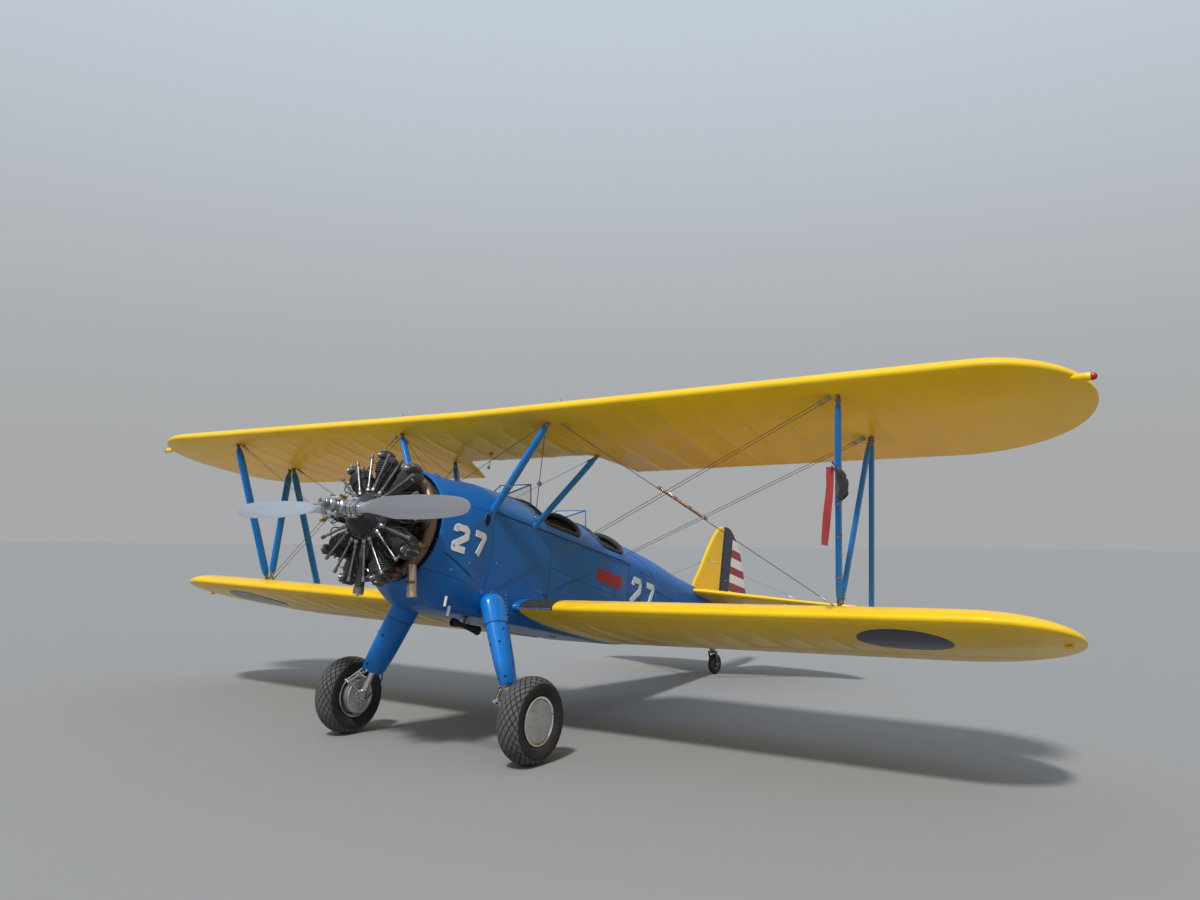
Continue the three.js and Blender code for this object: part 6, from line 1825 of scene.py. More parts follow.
def over_deck(point, apex):
    """The place on the way to the apex where the line comes out of the deck."""
    point, apex = np.array(point, float), np.array(apex, float)
    for share in np.linspace(0, 0.6, 61):
        place = point + (apex - point) * share
        if place[2] > skin_z(place[1], place[0]) + 0.001:
            return place
    return place


def make_windshield(name, sill, head, back, head_z):
    low, high = (PANE["sill_x"], sill, PANE["sill_z"]), (PANE["head_x"], head, head_z)
    rear = (PANE["back_x"], back, PANE["back_z"])
    middle = [over_deck((x, sill, PANE["sill_z"]), (x * PANE["head_x"] / PANE["sill_x"], head, head_z))
              for x in np.linspace(-PANE["sill_x"], PANE["sill_x"], 9)]
    side = [over_deck(np.array(low) + (np.array(rear) - low) * share, high)
            for share in np.linspace(0, 1, 12)]
    panes = Shape()
    flip = np.array((-1, 1, 1))
    left = [*side, np.array(high)]
    for points in ([*middle, np.array(high), np.array(high) * flip], left, [p * flip for p in left]):
        points = np.array(points)
        normal = unit(np.cross(points[1] - points[0], points[-1] - points[0]))
        inward = np.array((0, back, 0.4)) - points.mean(axis=0)
        normal = normal * np.sign(np.dot(normal, inward))
        panes.loft([points, points + normal * PANE["thick"]], 0)
    panes.build(f"{name}_clear_panes", "glass", slot="windshield_glass", replaces=f"{name}_windshield",
                crease=20)

    frames = Shape()
    edge = 0.0055
    for sign in (1, -1):
        to_side = np.array((sign, 1, 1))
        frames.tube([side[0] * to_side, np.array(high) * to_side], [edge * 1.25, edge * 1.1], 10,
                    1 if name == "front" else 0)
        frames.tube([np.array(high) * to_side, side[-1] * to_side], edge, 10)
        frames.tube([p * to_side for p in side], 0.0065, 10)
        for k in (1, 4, 7, 10):
            frames.bolt(side[k] * to_side + (sign * 0.006, 0, 0.002), (sign, 0, 0.6), 0.005, 0.003, 2)
    frames.tube([np.array(high), np.array(high) * flip], edge, 10)
    frames.tube(middle, 0.0065, 10)
    frames.build(f"{name}_windshield_frame", ["blue", "strut_blue", "steel"], slot="strut_blue")


for shield, row in WINDSHIELDS.items():
    make_windshield(shield, *row)


# Cockpit furniture
BELT_HALF, BELT_THICK, SEAT_LEG_X = 0.0215, 0.0013, 0.182
SEAT_Y = {"front": 2.150, "rear": 3.000}
PANEL_Y = {"front": 1.900, "rear": 2.830}
STICK_Y = {"front": 2.060, "rear": 2.915}
PAN = {"half": 0.210, "depth": 0.380, "low": -0.120, "sheet": 0.012, "back_top": 0.300}
CUSHION = {"half": 0.188, "depth": 0.340, "low": -0.0985, "top": -0.034}
# Across, height, radius
DIALS = [(-0.185, 0.330, 0.040), (-0.085, 0.345, 0.046), (0.025, 0.345, 0.046), (0.130, 0.335, 0.042),
         (-0.130, 0.235, 0.034), (-0.030, 0.235, 0.034), (0.070, 0.235, 0.040), (0.175, 0.240, 0.030)]


def make_seat(name, y):
    seat, half, depth = Shape(), PAN["half"], PAN["depth"]
    rear = y + depth
    seat.pad(half - 0.002, depth / 2 - 0.004, PAN["low"], PAN["low"] + PAN["sheet"], 0.035, 0.003, 0,
             Matrix.Translation((0, y + depth / 2, 0)))
    turns = np.radians(np.linspace(0, 90, 7))
    outline = [(half, -0.106), (half, PAN["back_top"] - 0.09)]
    outline += [(half - 0.09 + 0.09 * math.cos(t), PAN["back_top"] - 0.09 + 0.09 * math.sin(t))
                for t in turns[1:]]
    outline += [(-x, z) for x, z in outline[::-1]]
    seat.loft([[(x, rear - 0.012, z) for x, z in outline], [(x, rear - 0.002, z) for x, z in outline]])
    seat.tube([(x * 0.985, rear - 0.008, z) for x, z in outline], 0.0085, 10)
    for x in (-0.11, 0.0, 0.11):
        seat.tube([(x, rear - 0.013, -0.06), (x, rear - 0.015, -0.04), (x, rear - 0.015, 0.20),
                   (x, rear - 0.013, 0.22)],
                  [0.004, 0.009, 0.009, 0.004], 10)
    for sign in (1, -1):
        x = sign * (half - 0.006)
        arm = [(y + 0.006, -0.106), (y + 0.006, -0.055), (y + 0.10, -0.020), (y + 0.26, 0.012),
               (rear - 0.006, 0.019),
               (rear - 0.006, -0.106)]
        seat.loft([[(x - 0.004, a, b) for a, b in arm], [(x + 0.004, a, b) for a, b in arm]])
        seat.tube([(x, a, b) for a, b in arm[:5]], 0.006, 8)
        for a, lean in ((y + 0.075, 0.02), (rear - 0.075, -0.02)):
            foot = (sign * SEAT_LEG_X, a + lean, -0.50)
            seat.tube([(sign * SEAT_LEG_X, a, PAN["low"] + 0.002), foot], 0.012, 12, 1)
        for a, high, b, low, radius in ((y + 0.080, -0.16, rear - 0.080, -0.44, 0.009),
                                        (y + 0.075, -0.48, rear - 0.090, -0.48, 0.010)):
            seat.tube([(sign * SEAT_LEG_X, a, high), (sign * SEAT_LEG_X, b, low)], radius, 10, 1)
        for k in range(5):
            seat.bolt((x + sign * 0.002, y + 0.05 + 0.07 * k, -0.094), (sign, 0, 0), 0.005, 0.003, 2)
    seat.build(f"{name}_bucket_seat", ["seat_grey", "primer", "steel"], slot="seat_metal",
               replaces=f"{name}_seat")


def make_cushion(name, y):
    """Crowned cushion in five channels with a piped edge."""
    pad = Shape()
    half, depth = CUSHION["half"], CUSHION["depth"]
    columns, rows = 41, 27
    top, bottom = [], []
    for j in range(rows):
        for i in range(columns):
            u, v = 2 * i / (columns - 1) - 1, 2 * j / (rows - 1) - 1
            su, sv = math.sin(u * math.pi / 2), math.sin(v * math.pi / 2)
            edge = (1 - abs(su) ** 6) * (1 - abs(sv) ** 6)
            channel = 1 - 0.16 * math.exp(-(((su * 2.5 + 10.0) % 1.0 - 0.5) / 0.09) ** 2)
            dent = 0.10 * math.exp(-(su ** 2 + (sv - 0.1) ** 2) / 0.25)
            crown = 1 - 0.18 * su ** 2 - 0.14 * sv ** 2 - dent
            wrinkle = 0.0012 * math.sin(23 * su + 9 * sv) * math.sin(17 * sv - 5 * su)
            x, run = su * half, y + 0.005 + depth / 2 + sv * depth / 2
            waist = 1 - 0.02 * (1 - edge)
            middle = CUSHION["low"] + 0.022
            top.append((x * waist, run,
                        middle + (CUSHION["top"] - middle) * edge ** 0.3 * channel * crown + wrinkle))
            bottom.append((x * waist, run, middle - (middle - CUSHION["low"]) * edge ** 0.3))
    faces = []
    for j in range(rows - 1):
        for i in range(columns - 1):
            a = j * columns + i
            faces.append((a, a + 1, a + columns + 1, a + columns))
    count = rows * columns
    faces += [tuple(i + count for i in face[::-1]) for face in faces]
    ring = list(range(columns)) + [j * columns + columns - 1 for j in range(1, rows)]
    ring += [(rows - 1) * columns + i
             for i in range(columns - 2, -1, -1)] + [j * columns for j in range(rows - 2, 0, -1)]
    faces += [(a, a + count, b + count, b) for a, b in zip(ring, ring[1:] + ring[:1])]
    pad.add(top + bottom, faces)
    edge_z = CUSHION["low"] + 0.022
    border = [(x, yy + y + 0.005 + depth / 2, edge_z) for x, yy in
              round_outline(half * 0.985, depth / 2 - 0.001, 0.02, 5)]
    pad.tube([*border, border[0], border[1]], 0.0042, 8)
    made = pad.build(f"{name}_leather_cushion", "leather", slot="black_leather",
                     replaces=f"{name}_seat_cushion",
                     crease=60)


def make_headrest(name, end):
    """Padded bulkhead in upright channels behind the cockpit."""
    front, back = end + 0.004, end + 0.045
    arch = [(x, z) for x, _, z in deck_arch(end + 0.024, 0.026) if z >= 0.36]
    first = arch[0]
    outline = [(first[0] * 1.0, 0.352), *arch, (-first[0], 0.352)]
    outline += [(x, 0.352) for x in np.linspace(-first[0], first[0], 18)[1:-1]]
    centre = np.array((0.0, 0.45))
    outline = np.array(outline)
    rings = []
    for scale, y in ((0.02, back), (0.97, back), (1.0, back - 0.006), (1.0, front + 0.018),
                     (0.985, front + 0.012)):
        rings.append([(*(centre + (p - centre) * scale)[:1], y, (centre + (p - centre) * scale)[1])
                      for p in outline])
    for scale in (0.95, 0.88, 0.78, 0.66, 0.54, 0.42, 0.30, 0.18, 0.06, 0.01):
        ring = []
        for p in outline:
            x, z = centre + (p - centre) * scale
            pleat = abs(math.sin(math.pi * x / 0.075)) ** 0.5
            ring.append((x, front + 0.012 - 0.010 * (1 - scale ** 4) * (0.35 + 0.65 * pleat), z))
        rings.append(ring)
    made = Shape().loft(rings).build(f"{name}_leather_headrest", "leather", slot="black_leather",
                                     replaces=f"{name}_headrest", crease=60)


def make_coaming(name, start, end, half):
    """Leather roll laced round the opening."""
    outline = opening_outline(start, end, half)
    places = []
    for x, y in [*outline, outline[0], outline[1]]:
        x = min(max(x, -0.398), 0.398)
        places.append((x, y, skin_z(y, x) + 0.004))
    path = smooth_path(places, 2)
    radii = []
    for k, spot in enumerate(path):
        rear = max(0.0, (spot[1] - end + 0.12) / 0.12)
        radii.append(0.0185 + 0.008 * rear + 0.0006 * math.sin(1.9 * k) + 0.0005 * math.sin(0.7 * k + 2))
    roll = Shape().tube(path, radii, 16)
    made = roll.build(f"{name}_coaming_roll", "leather", slot="black_leather", crease=60)
    lacing = Shape()
    for k in range(2, len(path) - 4, 3):
        spot = path[k]
        along = unit(path[k + 1] - path[k])
        out = unit(np.cross(along, (0, 0, 1)))
        around = [spot + radii[k] * 1.06 * (math.cos(t) * out + math.sin(t) * np.array((0, 0, 1)))
                  for t in np.linspace(0.1, math.pi - 0.1, 9)]
        lacing.tube(around, 0.0016, 6)
    lacing.build(f"{name}_coaming_lacing", "cloth_black", slot="black_leather")


def make_panel(name, y):
    """Instrument board with dials, switches and knobs."""
    board = Shape()
    arch = [(x, z) for x, _, z in deck_arch(y + 0.006, 0.024) if z >= 0.282]
    width = skin_x(y, 0.15) - 0.024
    outline = [(-width, 0.122), (-width, 0.27), *arch, (width, 0.27), (width, 0.122)]
    board.loft([[(x, at, z) for x, z in outline] for at in (y + 0.001, y + 0.011)])
    face = y + 0.011
    for x, z, radius in DIALS:
        place = aim((x, face, z), (0, 1, 0))
        board.lathe([(radius, -0.004), (radius, 0.004), (radius * 0.94, 0.007), (radius * 0.86, 0.007),
                     (radius * 0.84, 0.002), (0.0, 0.002)], place, 36, 1)
        board.lathe([(radius * 0.85, 0.0005), (radius * 0.85, 0.003), (0.0, 0.003)], place, 36, 2)
        for k in range(12):
            turn = 2 * math.pi * k / 12
            way = np.array((math.cos(turn), 0, math.sin(turn)))
            spot = np.array((x, face + 0.0034, z))
            board.rod(spot + way * radius * 0.66, spot + way * radius * 0.80, 0.0009, 4, 3)
        turn = 1.1 + 7.3 * x + 3.0 * z
        way = np.array((math.cos(turn), 0, math.sin(turn)))
        pivot = np.array((x, face + 0.0044, z))
        board.tube([pivot - way * radius * 0.18, pivot + way * radius * 0.66], [0.0018, 0.0006], 6, 3)
        board.lathe([(radius * 0.09, 0.0), (radius * 0.09, 0.0062), (0, 0.0066)], place, 12, 1)
        for k in range(4):
            turn = math.pi / 4 + math.pi * k / 2
            spot = (x + radius * 1.12 * math.cos(turn), face, z + radius * 1.12 * math.sin(turn))
            board.bolt(spot, (0, 1, 0), 0.0035, 0.002, 4)
    for k, x in enumerate((-0.20, -0.15, -0.10, 0.0, 0.05, 0.12, 0.19)):
        place = aim((x, face, 0.165), (0, 1, 0))
        board.lathe([(0.011, 0), (0.011, 0.003), (0.005, 0.004), (0.005, 0.009)], place, 16, 4)
        if k % 2:
            board.lathe([(0.009, 0.008), (0.012, 0.011), (0.012, 0.019), (0.009, 0.022)], place, 16, 5)
        else:
            board.tube([(x, face + 0.006, 0.165), (x, face + 0.024, 0.174)], [0.0035, 0.0045], 10, 4)
    board.build(f"{name}_dial_panel", ["panel", "black_paint", "dial", "white_paint", "steel", "red_plate"],
                slot="panel_black", replaces=f"{name}_instrument_panel")


def make_controls():
    gear = Shape()
    gear.rod((0, STICK_Y["front"] - 0.060, -0.500), (0, STICK_Y["rear"] + 0.060, -0.500), 0.0195, 20)
    for y in STICK_Y.values():
        gear.lathe([(0.0205, -0.03), (0.028, -0.026), (0.028, 0.026), (0.0205, 0.03)],
                   aim((0, y, -0.5), (0, 1, 0)), 24)
        gear.tube([(0, y, -0.500), (0, y, -0.30), (0, y, 0.03), (0, y, 0.060)],
                  [0.0145, 0.0125, 0.0120, 0.0120], 16)
        grip = [(0.0125, 0.050), (0.0165, 0.056), (0.0170, 0.064)]
        for k in range(5):
            grip += [(0.0185, 0.070 + 0.018 * k), (0.0170, 0.079 + 0.018 * k)]
        grip += [(0.0185, 0.160), (0.0165, 0.167), (0.010, 0.170)]
        gear.lathe(grip, Matrix.Translation((0, y, 0)), 24, 1)
        for sign in (1, -1):
            gear.pad(0.006, 0.015, -0.578, -0.480, 0.006, 0.002, 2,
                     Matrix.Translation((sign * 0.022, y - 0.035, 0)))
            gear.bolt((sign * 0.028, y - 0.035, -0.500), (sign, 0, 0), 0.009, 0.005, 2)
        gear.pad(0.030, 0.015, -0.582, -0.570, 0.006, 0.002, 2, Matrix.Translation((0, y - 0.035, 0)))
    gear.build("stick_and_torque_tube", ["dark_steel", "lead", "steel"], slot="gear_steel",
               replaces="control_sticks")


def make_cabin():
    """Frame tubes, floor boards, foot bars and levers inside the cockpits."""
    cabin = Shape()
    inner = 0.405
    for sign in (1, -1):
        for z in (0.22, -0.10, -0.50):
            cabin.tube([(sign * (inner if z > -0.4 else 0.38), y, z) for y in (1.30, 2.0, 2.8, 3.35)],
                       0.011, 12)
        for k, y in enumerate((1.55, 1.93, 2.28, 2.62, 2.86, 3.20)):
            cabin.rod((sign * inner, y, 0.22), (sign * inner, y, -0.10), 0.009, 10)
            cabin.rod((sign * inner, y, -0.10), (sign * 0.38, y + 0.12 * (-1) ** k, -0.50), 0.009, 10)
        for y in SEAT_Y.values():
            for x, width in ((0.10, 0.075), (0.24, 0.055)):
                cabin.pad(width, 0.30, -0.540, -0.526, 0.01, 0.002, 1,
                          Matrix.Translation((sign * x, y - 0.14, 0)))
            cabin.rod((sign * 0.14, y - 0.40, -0.53), (sign * 0.14, y - 0.36, -0.36), 0.010, 10, 2)
            cabin.pad(0.045, 0.012, -0.02, 0.02, 0.008, 0.003, 2,
                      Matrix.Translation((sign * 0.14, y - 0.36, -0.35)))
            cabin.rod((sign * 0.19, y - 0.36, -0.35), (sign * 0.09, y - 0.36, -0.35), 0.008, 10, 3)
    for y in SEAT_Y.values():
        cabin.pad(0.012, 0.09, -0.02, 0.05, 0.01, 0.003, 2, Matrix.Translation((0.385, y + 0.03, 0.12)))
        for k in range(3):
            spot = np.array((0.372, y + 0.01 * k, 0.17))
            cabin.rod(spot, spot + (-0.012 * k, -0.03, 0.055), 0.004, 8, 3)
            cabin.lathe([(0.002, -0.011), (0.009, -0.007), (0.011, 0.0), (0.009, 0.007), (0.002, 0.011)],
                        Matrix.Translation(Vector(spot + (-0.012 * k, -0.03, 0.062))), 14, 4 + k % 2)
    cabin.build("cabin_frame_tubes", ["primer", "wood", "dark_steel", "steel", "red_plate", "lead"],
                slot="seat_metal")


def make_belts(name, y):
    """Lap and shoulder straps lying on the seat."""
    rear, top = y + PAN["depth"], CUSHION["top"]
    straps = Shape()

    def strap(points):
        path = smooth_path(points, 6)
        along = np.gradient(path, axis=0)
        rings = []
        for spot, way in zip(path, along):
            lengthwise = abs(way[0]) < np.linalg.norm(way) * 0.6
            side = np.array((1.0, 0, 0) if lengthwise else (0, 1.0, 0))
            side = unit(side - unit(way) * np.dot(side, unit(way)))
            up = np.cross(side, unit(way))
            rings.append([spot + side * BELT_HALF * a + up * BELT_THICK * b
                          for a, b in ((-1, -1), (1, -1), (1, 1), (-1, 1))])
        straps.loft(rings)

    for sign in (1, -1):
        strap([(sign * 0.193, y + 0.30, -0.090), (sign * 0.186, y + 0.29, top - 0.004),
               (sign * 0.12, y + 0.24, top + 0.004),
               (sign * 0.045, y + 0.20, top + 0.005)])
        strap([(sign * 0.085, rear - 0.020, 0.285), (sign * 0.085, rear - 0.026, 0.20),
               (sign * 0.082, rear - 0.030, 0.08),
               (sign * 0.075, rear - 0.050, top + 0.012), (sign * 0.065, y + 0.22, top + 0.009)])
        straps.pad(0.026, 0.016, -0.002, 0.002, 0.005, 0.001, 1,
                   Matrix.Translation((sign * 0.082, rear - 0.034, 0.10))
                   @ Matrix.Rotation(math.pi / 2, 4, "X"))
    straps.pad(0.038, 0.028, top + 0.003, top + 0.011, 0.008, 0.002, 1,
               Matrix.Translation((0.0, y + 0.20, 0)))
    straps.build(f"{name}_seat_straps", ["webbing", "steel"], slot="seat_metal")


for cockpit, (opening_start, opening_end, opening_half) in COCKPITS.items():
    make_seat(cockpit, SEAT_Y[cockpit])
    make_cushion(cockpit, SEAT_Y[cockpit])
    make_belts(cockpit, SEAT_Y[cockpit])
    make_headrest(cockpit, opening_end)
    make_coaming(cockpit, opening_start, opening_end, opening_half)
    make_panel(cockpit, PANEL_Y[cockpit])
make_controls()
make_cabin()


# Wing fittings
def on_face(wing, face):
    """Places on the upper (0) or lower (1) face of a wing, as across and back from its leading edge."""
    way = 1 if face == 0 else -1

    def place(x, back, lift=0.0):
        height = section_heights(back / wing["chord"])[face] * wing["chord"] + wing["dihedral"] * x
        return np.array((x, back, height + way * lift)), np.array((0.0, 0, way))
    return place


WALKWAY = {"inner": 0.494, "outer": 0.844, "end": 0.86}
DISC = {"x": 3.610, "back": 0.470, "radius": 0.330}
GRIP = {"x": 4.648, "back": 0.580, "up": -0.044}
TIP_LAMP = {"x": 4.868, "back": 0.300, "up": -0.022}
LIFTING_RINGS = {"x": 0.925, "backs": (0.20, 0.95)}
GAUGE = {"x": -0.201, "back": 0.726}
FUEL_CAP = {"x": 0.35, "back": 0.50}


def make_wing_fittings():
    for side, sign in SIDES:
        walk = Shape()
        parts = [(1, 0.006), (1, 0.002), (0, 0.0), (0, 0.004), (0, 0.015), (0, 0.04)]
        parts += [(0, p) for p in np.linspace(0.08, WALKWAY["end"], 16)]
        rings = []
        for x in (WALKWAY["inner"], 0.58, 0.67, 0.76, WALKWAY["outer"]):
            outer, inner = [], []
            for face, part in parts:
                height = section_heights(part)[face] * LOWER["chord"] + LOWER["dihedral"] * x
                spot = np.array((x, part * LOWER["chord"], height))
                out = unit((0, -1.0, 0.25)) if part < 0.01 else np.array((0, 0, 1.0))
                outer.append(spot + out * 0.0022)
                inner.append(spot - out * 0.004)
            rings.append(outer + inner[::-1])
        walk.loft(rings)
        lip = [(x, -0.003, -0.012 + LOWER["dihedral"] * x) for x in (WALKWAY["inner"] - 0.005, 0.66, 0.835)]
        walk.tube(lip, 0.0065, 10, 1, flat=1.4)
        walk.build(f"{side}_wing_walkway", ["grit", "bright"], slot="panel_black",
                   space=wing_space(LOWER, sign))

        rings = []
        for x, grow in ((0.4325, 0.016), (0.446, 0.010), (0.462, 0.005), (0.480, 0.002), (0.492, 0.0005)):
            ring = np.array(wing_ring(x, 0.0, LOWER["chord"], LOWER["dihedral"] * x))
            middle = ring.mean(axis=0)
            reach = ring - middle
            reach[:, 1:] *= 1 + grow / np.maximum(np.linalg.norm(reach[:, 1:], axis=1), 0.05)[:, None]
            rings.append(middle + reach)
        Shape().loft(np.array(rings)).build(f"{side}_wing_root_fillet", "blue", slot="cowl_blue",
                                            space=wing_space(LOWER, sign))

        disc = Shape()
        patch(disc, (DISC["x"], DISC["back"]), DISC["radius"], DISC["radius"], 0.0035, 0, on_face(LOWER, 1),
              48, low=-0.006)
        disc.build(f"{side}_wing_disc", "navy", slot="rudder_cloth", space=wing_space(LOWER, sign))

        small = Shape()
        for back in LIFTING_RINGS["backs"]:
            spot = on_wing(UPPER, LIFTING_RINGS["x"], back, topside(UPPER, back))
            ring = [spot + (0, 0.022 * math.cos(t), 0.020 + 0.022 * math.sin(t))
                    for t in np.linspace(0, 2 * math.pi, 17)]
            small.tube([*ring, ring[1]], 0.0035, 8)
            small.pad(0.014, 0.020, -0.002, 0.004, 0.005, 0.001, 0, Matrix.Translation(Vector(spot)))
        grip = aim(on_wing(LOWER, GRIP["x"], GRIP["back"], GRIP["up"]), (1, 0, 0))
        small.lathe([(0.004, -0.030), (0.011, -0.022), (0.0135, -0.008), (0.0135, 0.018), (0.010, 0.028),
                     (0.0, 0.032)],
                    grip, 16, 1)
        lamp = aim(on_wing(UPPER, TIP_LAMP["x"], TIP_LAMP["back"], TIP_LAMP["up"]), (1, 0, 0))
        small.lathe([(0.004, -0.150), (0.013, -0.105), (0.022, -0.055), (0.0265, -0.015), (0.0265, 0.018),
                     (0.022, 0.026)],
                    lamp, 20, 1)
        small.lathe([(0.0225, 0.020), (0.0240, 0.026), (0.0235, 0.040), (0.018, 0.052), (0.009, 0.058),
                     (0.0, 0.060)],
                    lamp, 20, 2)
        small.build(f"{side}_wing_small_fittings",
                    ["steel", "yellow_metal", "red_lamp" if sign > 0 else "green_lamp"],
                    slot="wing_yellow", space=side_space(sign))

    gauge = Shape()
    spot = on_wing(UPPER, GAUGE["x"], GAUGE["back"], underside(UPPER, GAUGE["back"]))
    gauge.rod(spot + (0, 0, 0.004), spot + (0, 0, -0.13), 0.009, 14, 0)
    gauge.lathe([(0.016, 0.0), (0.016, -0.018), (0.010, -0.022)], Matrix.Translation(Vector(spot)), 18, 1)
    gauge.lathe([(0.008, -0.128), (0.015, -0.134), (0.015, -0.150), (0.005, -0.156)],
                Matrix.Translation(Vector(spot)), 18, 1)
    for x in (-FUEL_CAP["x"], FUEL_CAP["x"]):
        cap = on_wing(UPPER, x, FUEL_CAP["back"], topside(UPPER, FUEL_CAP["back"]))
        gauge.lathe([(0.048, -0.004), (0.048, 0.008), (0.040, 0.013), (0.010, 0.015), (0.008, 0.026),
                     (0.003, 0.027)],
                    Matrix.Translation(Vector(cap)), 28, 1)
    gauge.build("fuel_gauge_and_caps", ["glass", "brass"], slot="wing_yellow")


make_wing_fittings()


# Further bracing between the cabane struts, round the tail, and the spreader on the landing wires
def cabane_end(spar, side, end):
    """Where a bracing wire meets the top or the foot of a cabane strut."""
    if end == "top":
        made = on_wing(UPPER, CABANE["top_x"] - 0.02, UPPER_SPARS[spar],
                       underside(UPPER, UPPER_SPARS[spar]) - 0.02)
    else:
        made = np.array((CABANE["foot_x"] + 0.02, CABANE[spar + "_y"], 0.300))
    return made * (side, 1, 1)


SPREADER_SHARES = (0.385, 0.565)   # where the wooden spreader starts and ends on the landing wires


def make_more_wires():
    cross = Shape()
    for side in (1, -1):
        brace(cross, cabane_end("front", side, "top"), cabane_end("rear", side, "foot"), WIRE_WIDTH)
        brace(cross, cabane_end("rear", side, "top"), cabane_end("front", side, "foot"), WIRE_WIDTH)
        brace(cross, cabane_end("front", side, "top") + (0, -0.02, 0),
              cabane_end("front", -side, "foot") + (0, -0.02, 0), WIRE_WIDTH)
        for sign in (1, -1):
            foot = np.array((side * 1.20, 6.10 + 0.10 * sign - 0.1, 0.388 if sign > 0 else 0.312))
            top = (side * 0.02, 5.90 + 0.1 * sign, 0.83) if sign > 0 else (side * 0.075, 5.98, -0.235)
            brace(cross, top, foot, TAIL_WIRE_WIDTH)
        cross.tube([(side * 0.088, 5.72, -0.250), (side * 0.62, 5.86, 0.03), (side * 1.13, 6.00, 0.316)],
                   [0.013, 0.0165, 0.013], 14, 2)
    for side in (1, -1):
        a, b = cabane_end("front", side, "top"), cabane_end("rear", side, "foot")
        c, d = cabane_end("rear", side, "top"), cabane_end("front", side, "foot")
        middle = a + (b - a) * np.linalg.norm(a - c) / (np.linalg.norm(a - c) + np.linalg.norm(b - d))
        cross.pad(0.007, 0.030, -0.018, 0.018, 0.006, 0.002, 1, Matrix.Translation(Vector(middle)))
    cross.build("cabane_and_tail_wires", ["wire", "steel", "cream"], slot="wire_steel")

    for side, sign in SIDES:
        spreader = Shape()
        top, foot = landing_line(0.25, 0.22)
        along, fore, across = strut_axes(top, foot)
        start, end = (top + (foot - top) * share + across * 0.012 for share in SPREADER_SHARES)
        for shift in (-0.5, 0.5):
            rings = [[spot + fore * (0.011 * a + shift * 0.030) + across * 0.008 * b
                      for a, b in round_outline(1, 1, 0.4, 2)]
                     for spot in (start, (start + end) / 2, end)]
            spreader.loft(rings)
        for share in (0.04, 0.35, 0.65, 0.96):
            spot = start + (end - start) * share
            spreader.loft([[spot + along * e + fore * 0.036 * a + across * 0.013 * b
                            for a, b in round_outline(1, 1, 0.4, 2)] for e in (-0.008, 0.008)], 1)
        spreader.build(f"{side}_wire_spreader", ["wood", "steel"], slot="wire_steel",
                       space=side_space(sign))


make_more_wires()


# Air speed head with its cover and ribbon, and the suction horn and drain pegs under the belly
# Bands round the left front strut: share of its length, width, thickness, half height
STRUT_BANDS = [(0.33, 0.1, 0.041, 0.009), (0.50, 0.1, 0.041, 0.009), (0.66, 0.099, 0.040, 0.006),
               (0.86, 0.099, 0.040, 0.006)]
COVER_TOP = np.array((3.352, 1.372, 0.585))
# Below the top of the cover, half width, half depth
COVER_SIZES = [(0.0, 0.006, 0.005), (0.010, 0.018, 0.012), (0.03, 0.030, 0.018), (0.05, 0.033, 0.020),
               (0.065, 0.030, 0.019),
               (0.08, 0.040, 0.023), (0.12, 0.043, 0.025), (0.15, 0.036, 0.021), (0.165, 0.040, 0.021),
               (0.19, 0.038, 0.018), (0.21, 0.024, 0.012), (0.222, 0.005, 0.003)]
RIBBON_TOP = np.array((3.300, 1.290, 0.575))
RIBBON = {"length": 0.545, "half": 0.027, "half_thick": 0.0008, "turn": 0.45}


def strut_point(share):
    """A point on the left front strut, from its top (0) to its foot (1)."""
    top, foot = strut_line("front")
    return top + (foot - top) * share


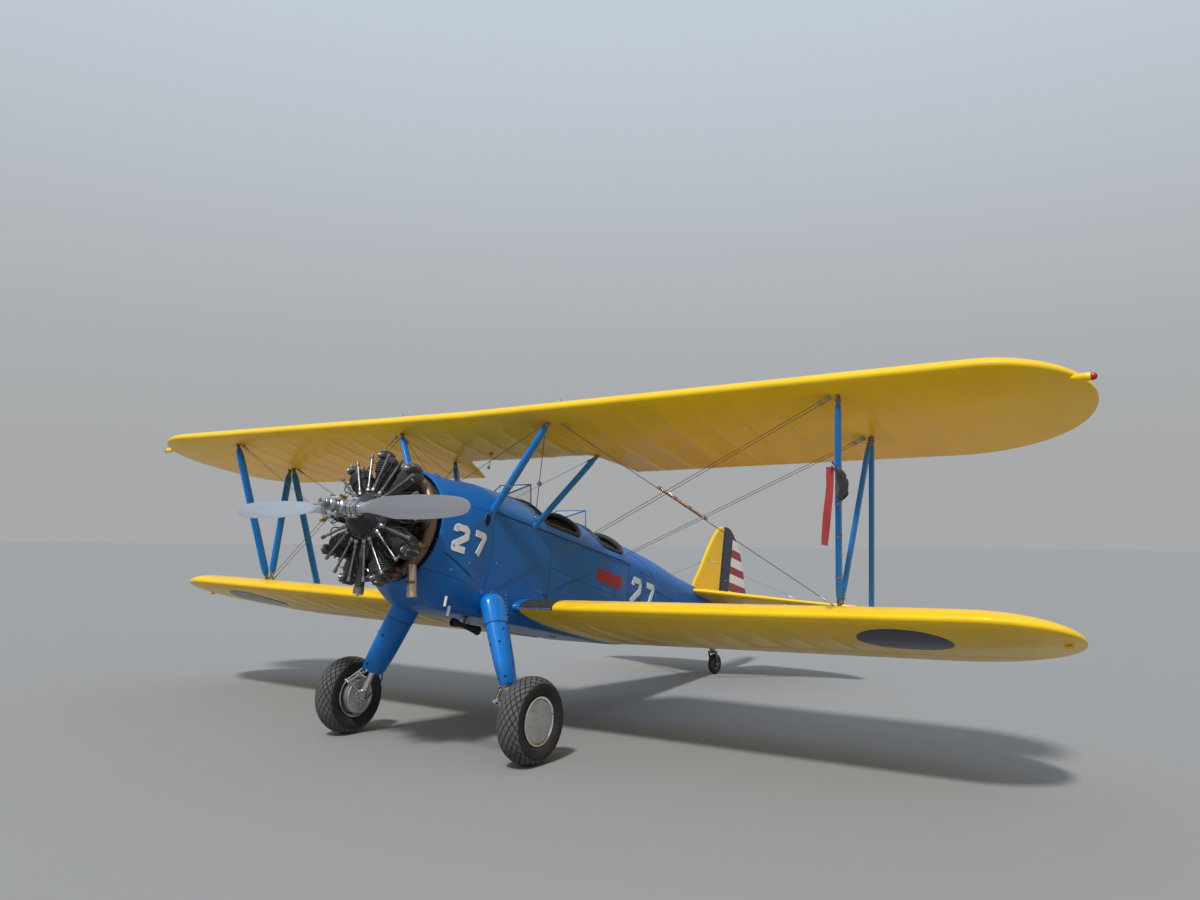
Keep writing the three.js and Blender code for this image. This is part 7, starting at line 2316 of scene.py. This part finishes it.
def make_pitot():
    head = Shape()
    mount = strut_point(0.36) + (0, -0.05, 0)
    tip = mount + np.array((0.02, -0.165, 0.030))
    head.tube(smooth_path([mount + (0, 0.03, -0.05), mount + (0.008, -0.02, -0.01),
                           mount + (0.015, -0.07, 0.022), tip], 5),
              0.008, 12, 1)
    for rise in (0.0, -0.028):
        head.tube([mount + (0.014, -0.06, 0.020 + rise), tip + (0, 0.0, rise)], [0.0075, 0.0055], 12)
    along, fore, across = strut_axes(*strut_line("front"))
    for share, width, thick, half in STRUT_BANDS:
        head.loft([streamline_ring(strut_point(share) + along * e, fore, across, width, thick)
                   for e in (-half, half)], 2)
    head.build("air_speed_head", ["chrome", "strut_blue", "dark_steel"], slot="strut_blue")

    cover = Shape()
    rings = []
    for drop, width, depth in COVER_SIZES:
        sway = (0.016 * math.sin(16 * drop - 1.2), 0.012 * math.sin(14 * drop + 1), -drop)
        centre = COVER_TOP + np.array(sway)
        rings.append([centre + (width * (1 + 0.16 * math.sin(5 * t + 30 * drop)) * math.cos(t),
                                depth * (1 + 0.14 * math.sin(4 * t + 1 - 25 * drop)) * math.sin(t),
                                0.010 * math.sin(3 * t + 2) * drop / 0.22)
                      for t in np.linspace(0, 2 * math.pi, 32, endpoint=False)])
    cover.loft(rings)
    made = cover.build("air_speed_head_cover", "cloth_black", slot="black_leather", crease=60)

    ribbon = Shape()
    rings = []
    for k in range(41):
        run = k / 40
        centre = RIBBON_TOP + np.array((0.008 * math.sin(5.2 * run) * run, 0.010 * math.sin(9 * run) * run,
                                        -RIBBON["length"] * run))
        twist = RIBBON["turn"] + 0.45 * run + 0.22 * math.sin(7 * run)
        side = np.array((math.cos(twist), math.sin(twist), 0))
        out = np.array((-math.sin(twist), math.cos(twist), 0))
        curl = 0.005 * math.sin(3 + 6 * run)
        rings.append([centre + side * RIBBON["half"] * a + out * (curl * a * a + RIBBON["half_thick"] * b)
                      for a, b in ((-1, -1), (-0.5, -1), (0, -1), (0.5, -1), (1, -1), (1, 1), (0.5, 1),
                                   (0, 1), (-0.5, 1),
                                   (-1, 1))])
    ribbon.loft(rings)
    made = ribbon.build("cover_ribbon", "cloth_red", crease=60)


HORN_START, HORN_END = np.array((0.200, 1.190, -0.665)), np.array((0.200, 1.520, -0.690))
DRAIN_PEGS = ((0.375, 0.880, -0.535), (0.350, 0.960, -0.600))


def make_belly_fittings():
    horn = Shape()
    place = aim(HORN_START, HORN_END - HORN_START)
    profile = [(0.030, 0.0), (0.035, 0.004), (0.034, 0.03), (0.020, 0.10), (0.018, 0.14), (0.026, 0.22),
               (0.038, 0.32),
               (0.041, 0.331), (0.036, 0.331), (0.023, 0.22), (0.015, 0.14), (0.017, 0.10), (0.029, 0.01)]
    horn.lathe(profile, place, 28, 0, wrap=True)
    horn.lathe([(0.028, 0.02), (0.028, 0.024)], place, 24, 2)
    horn.pad(0.006, 0.045, -0.665, -0.590, 0.02, 0.002, 1, Matrix.Translation((0.200, 1.345, 0)))
    hose = smooth_path([(0.215, 1.32, -0.672), (0.235, 1.30, -0.650), (0.240, 1.30, -0.600)], 4)
    horn.tube(hose, 0.006, 8, 2)
    for x, y, z in DRAIN_PEGS:
        horn.tube([(x, y, z + 0.035), (x, y - 0.004, z - 0.045)], [0.012, 0.011], 12, 3)
    horn.build("belly_horn_and_drains", ["black_paint", "alloy", "lead", "white_paint"], slot="gear_steel")


make_pitot()
make_belly_fittings()


# Floor and light
FLOOR_GREY, FLOOR_DARK = (0.265, 0.262, 0.255), (0.245, 0.241, 0.234)
SKY_LOW, SKY_HIGH = (0.385, 0.395, 0.40), (0.60, 0.68, 0.78)
TOWARDS_SUN = Vector((0.22, -0.80, 1.10))
SUN_POWER, SUN_WIDTH = 2.9, math.radians(6)


def make_sky():
    """Bright overhead and as pale as the floor at the horizon."""
    world = bpy.data.worlds.new("sky")
    world.use_nodes = True
    nodes, links = world.node_tree.nodes, world.node_tree.links
    place = nodes.new("ShaderNodeTexCoord")
    parts = nodes.new("ShaderNodeSeparateXYZ")
    links.new(place.outputs["Generated"], parts.inputs["Vector"])
    height = nodes.new("ShaderNodeMapRange")
    height.interpolation_type = "SMOOTHSTEP"
    height.inputs["From Min"].default_value = 0.04
    height.inputs["From Max"].default_value = 0.75
    links.new(parts.outputs["Z"], height.inputs["Value"])
    blend = nodes.new("ShaderNodeMix")
    blend.data_type = "RGBA"
    blend.inputs[6].default_value = (*SKY_LOW, 1)
    blend.inputs[7].default_value = (*SKY_HIGH, 1)
    links.new(height.outputs["Result"], blend.inputs["Factor"])
    links.new(blend.outputs[2], nodes["Background"].inputs["Color"])
    bpy.context.scene.world = world


def make_studio():
    bpy.ops.mesh.primitive_plane_add(size=1, location=(0, 0, 0))
    floor = bpy.context.object
    floor.name = "floor"
    floor.scale = (400, 400, 1)
    paint = surface("studio_floor", FLOOR_GREY, 0.95, mottle=(0.8, FLOOR_DARK, 0.5),
                    bumps=(("noise", 60, 0.0005),))
    floor.data.materials.append(paint)
    make_sky()
    bpy.context.scene.view_settings.view_transform = "Standard"
    data = bpy.data.lights.new("key", "SUN")
    data.energy, data.angle = SUN_POWER, SUN_WIDTH
    light = bpy.data.objects.new("key", data)
    bpy.context.scene.collection.objects.link(light)
    light.rotation_euler = TOWARDS_SUN.to_track_quat("Z", "Y").to_euler()


make_studio()
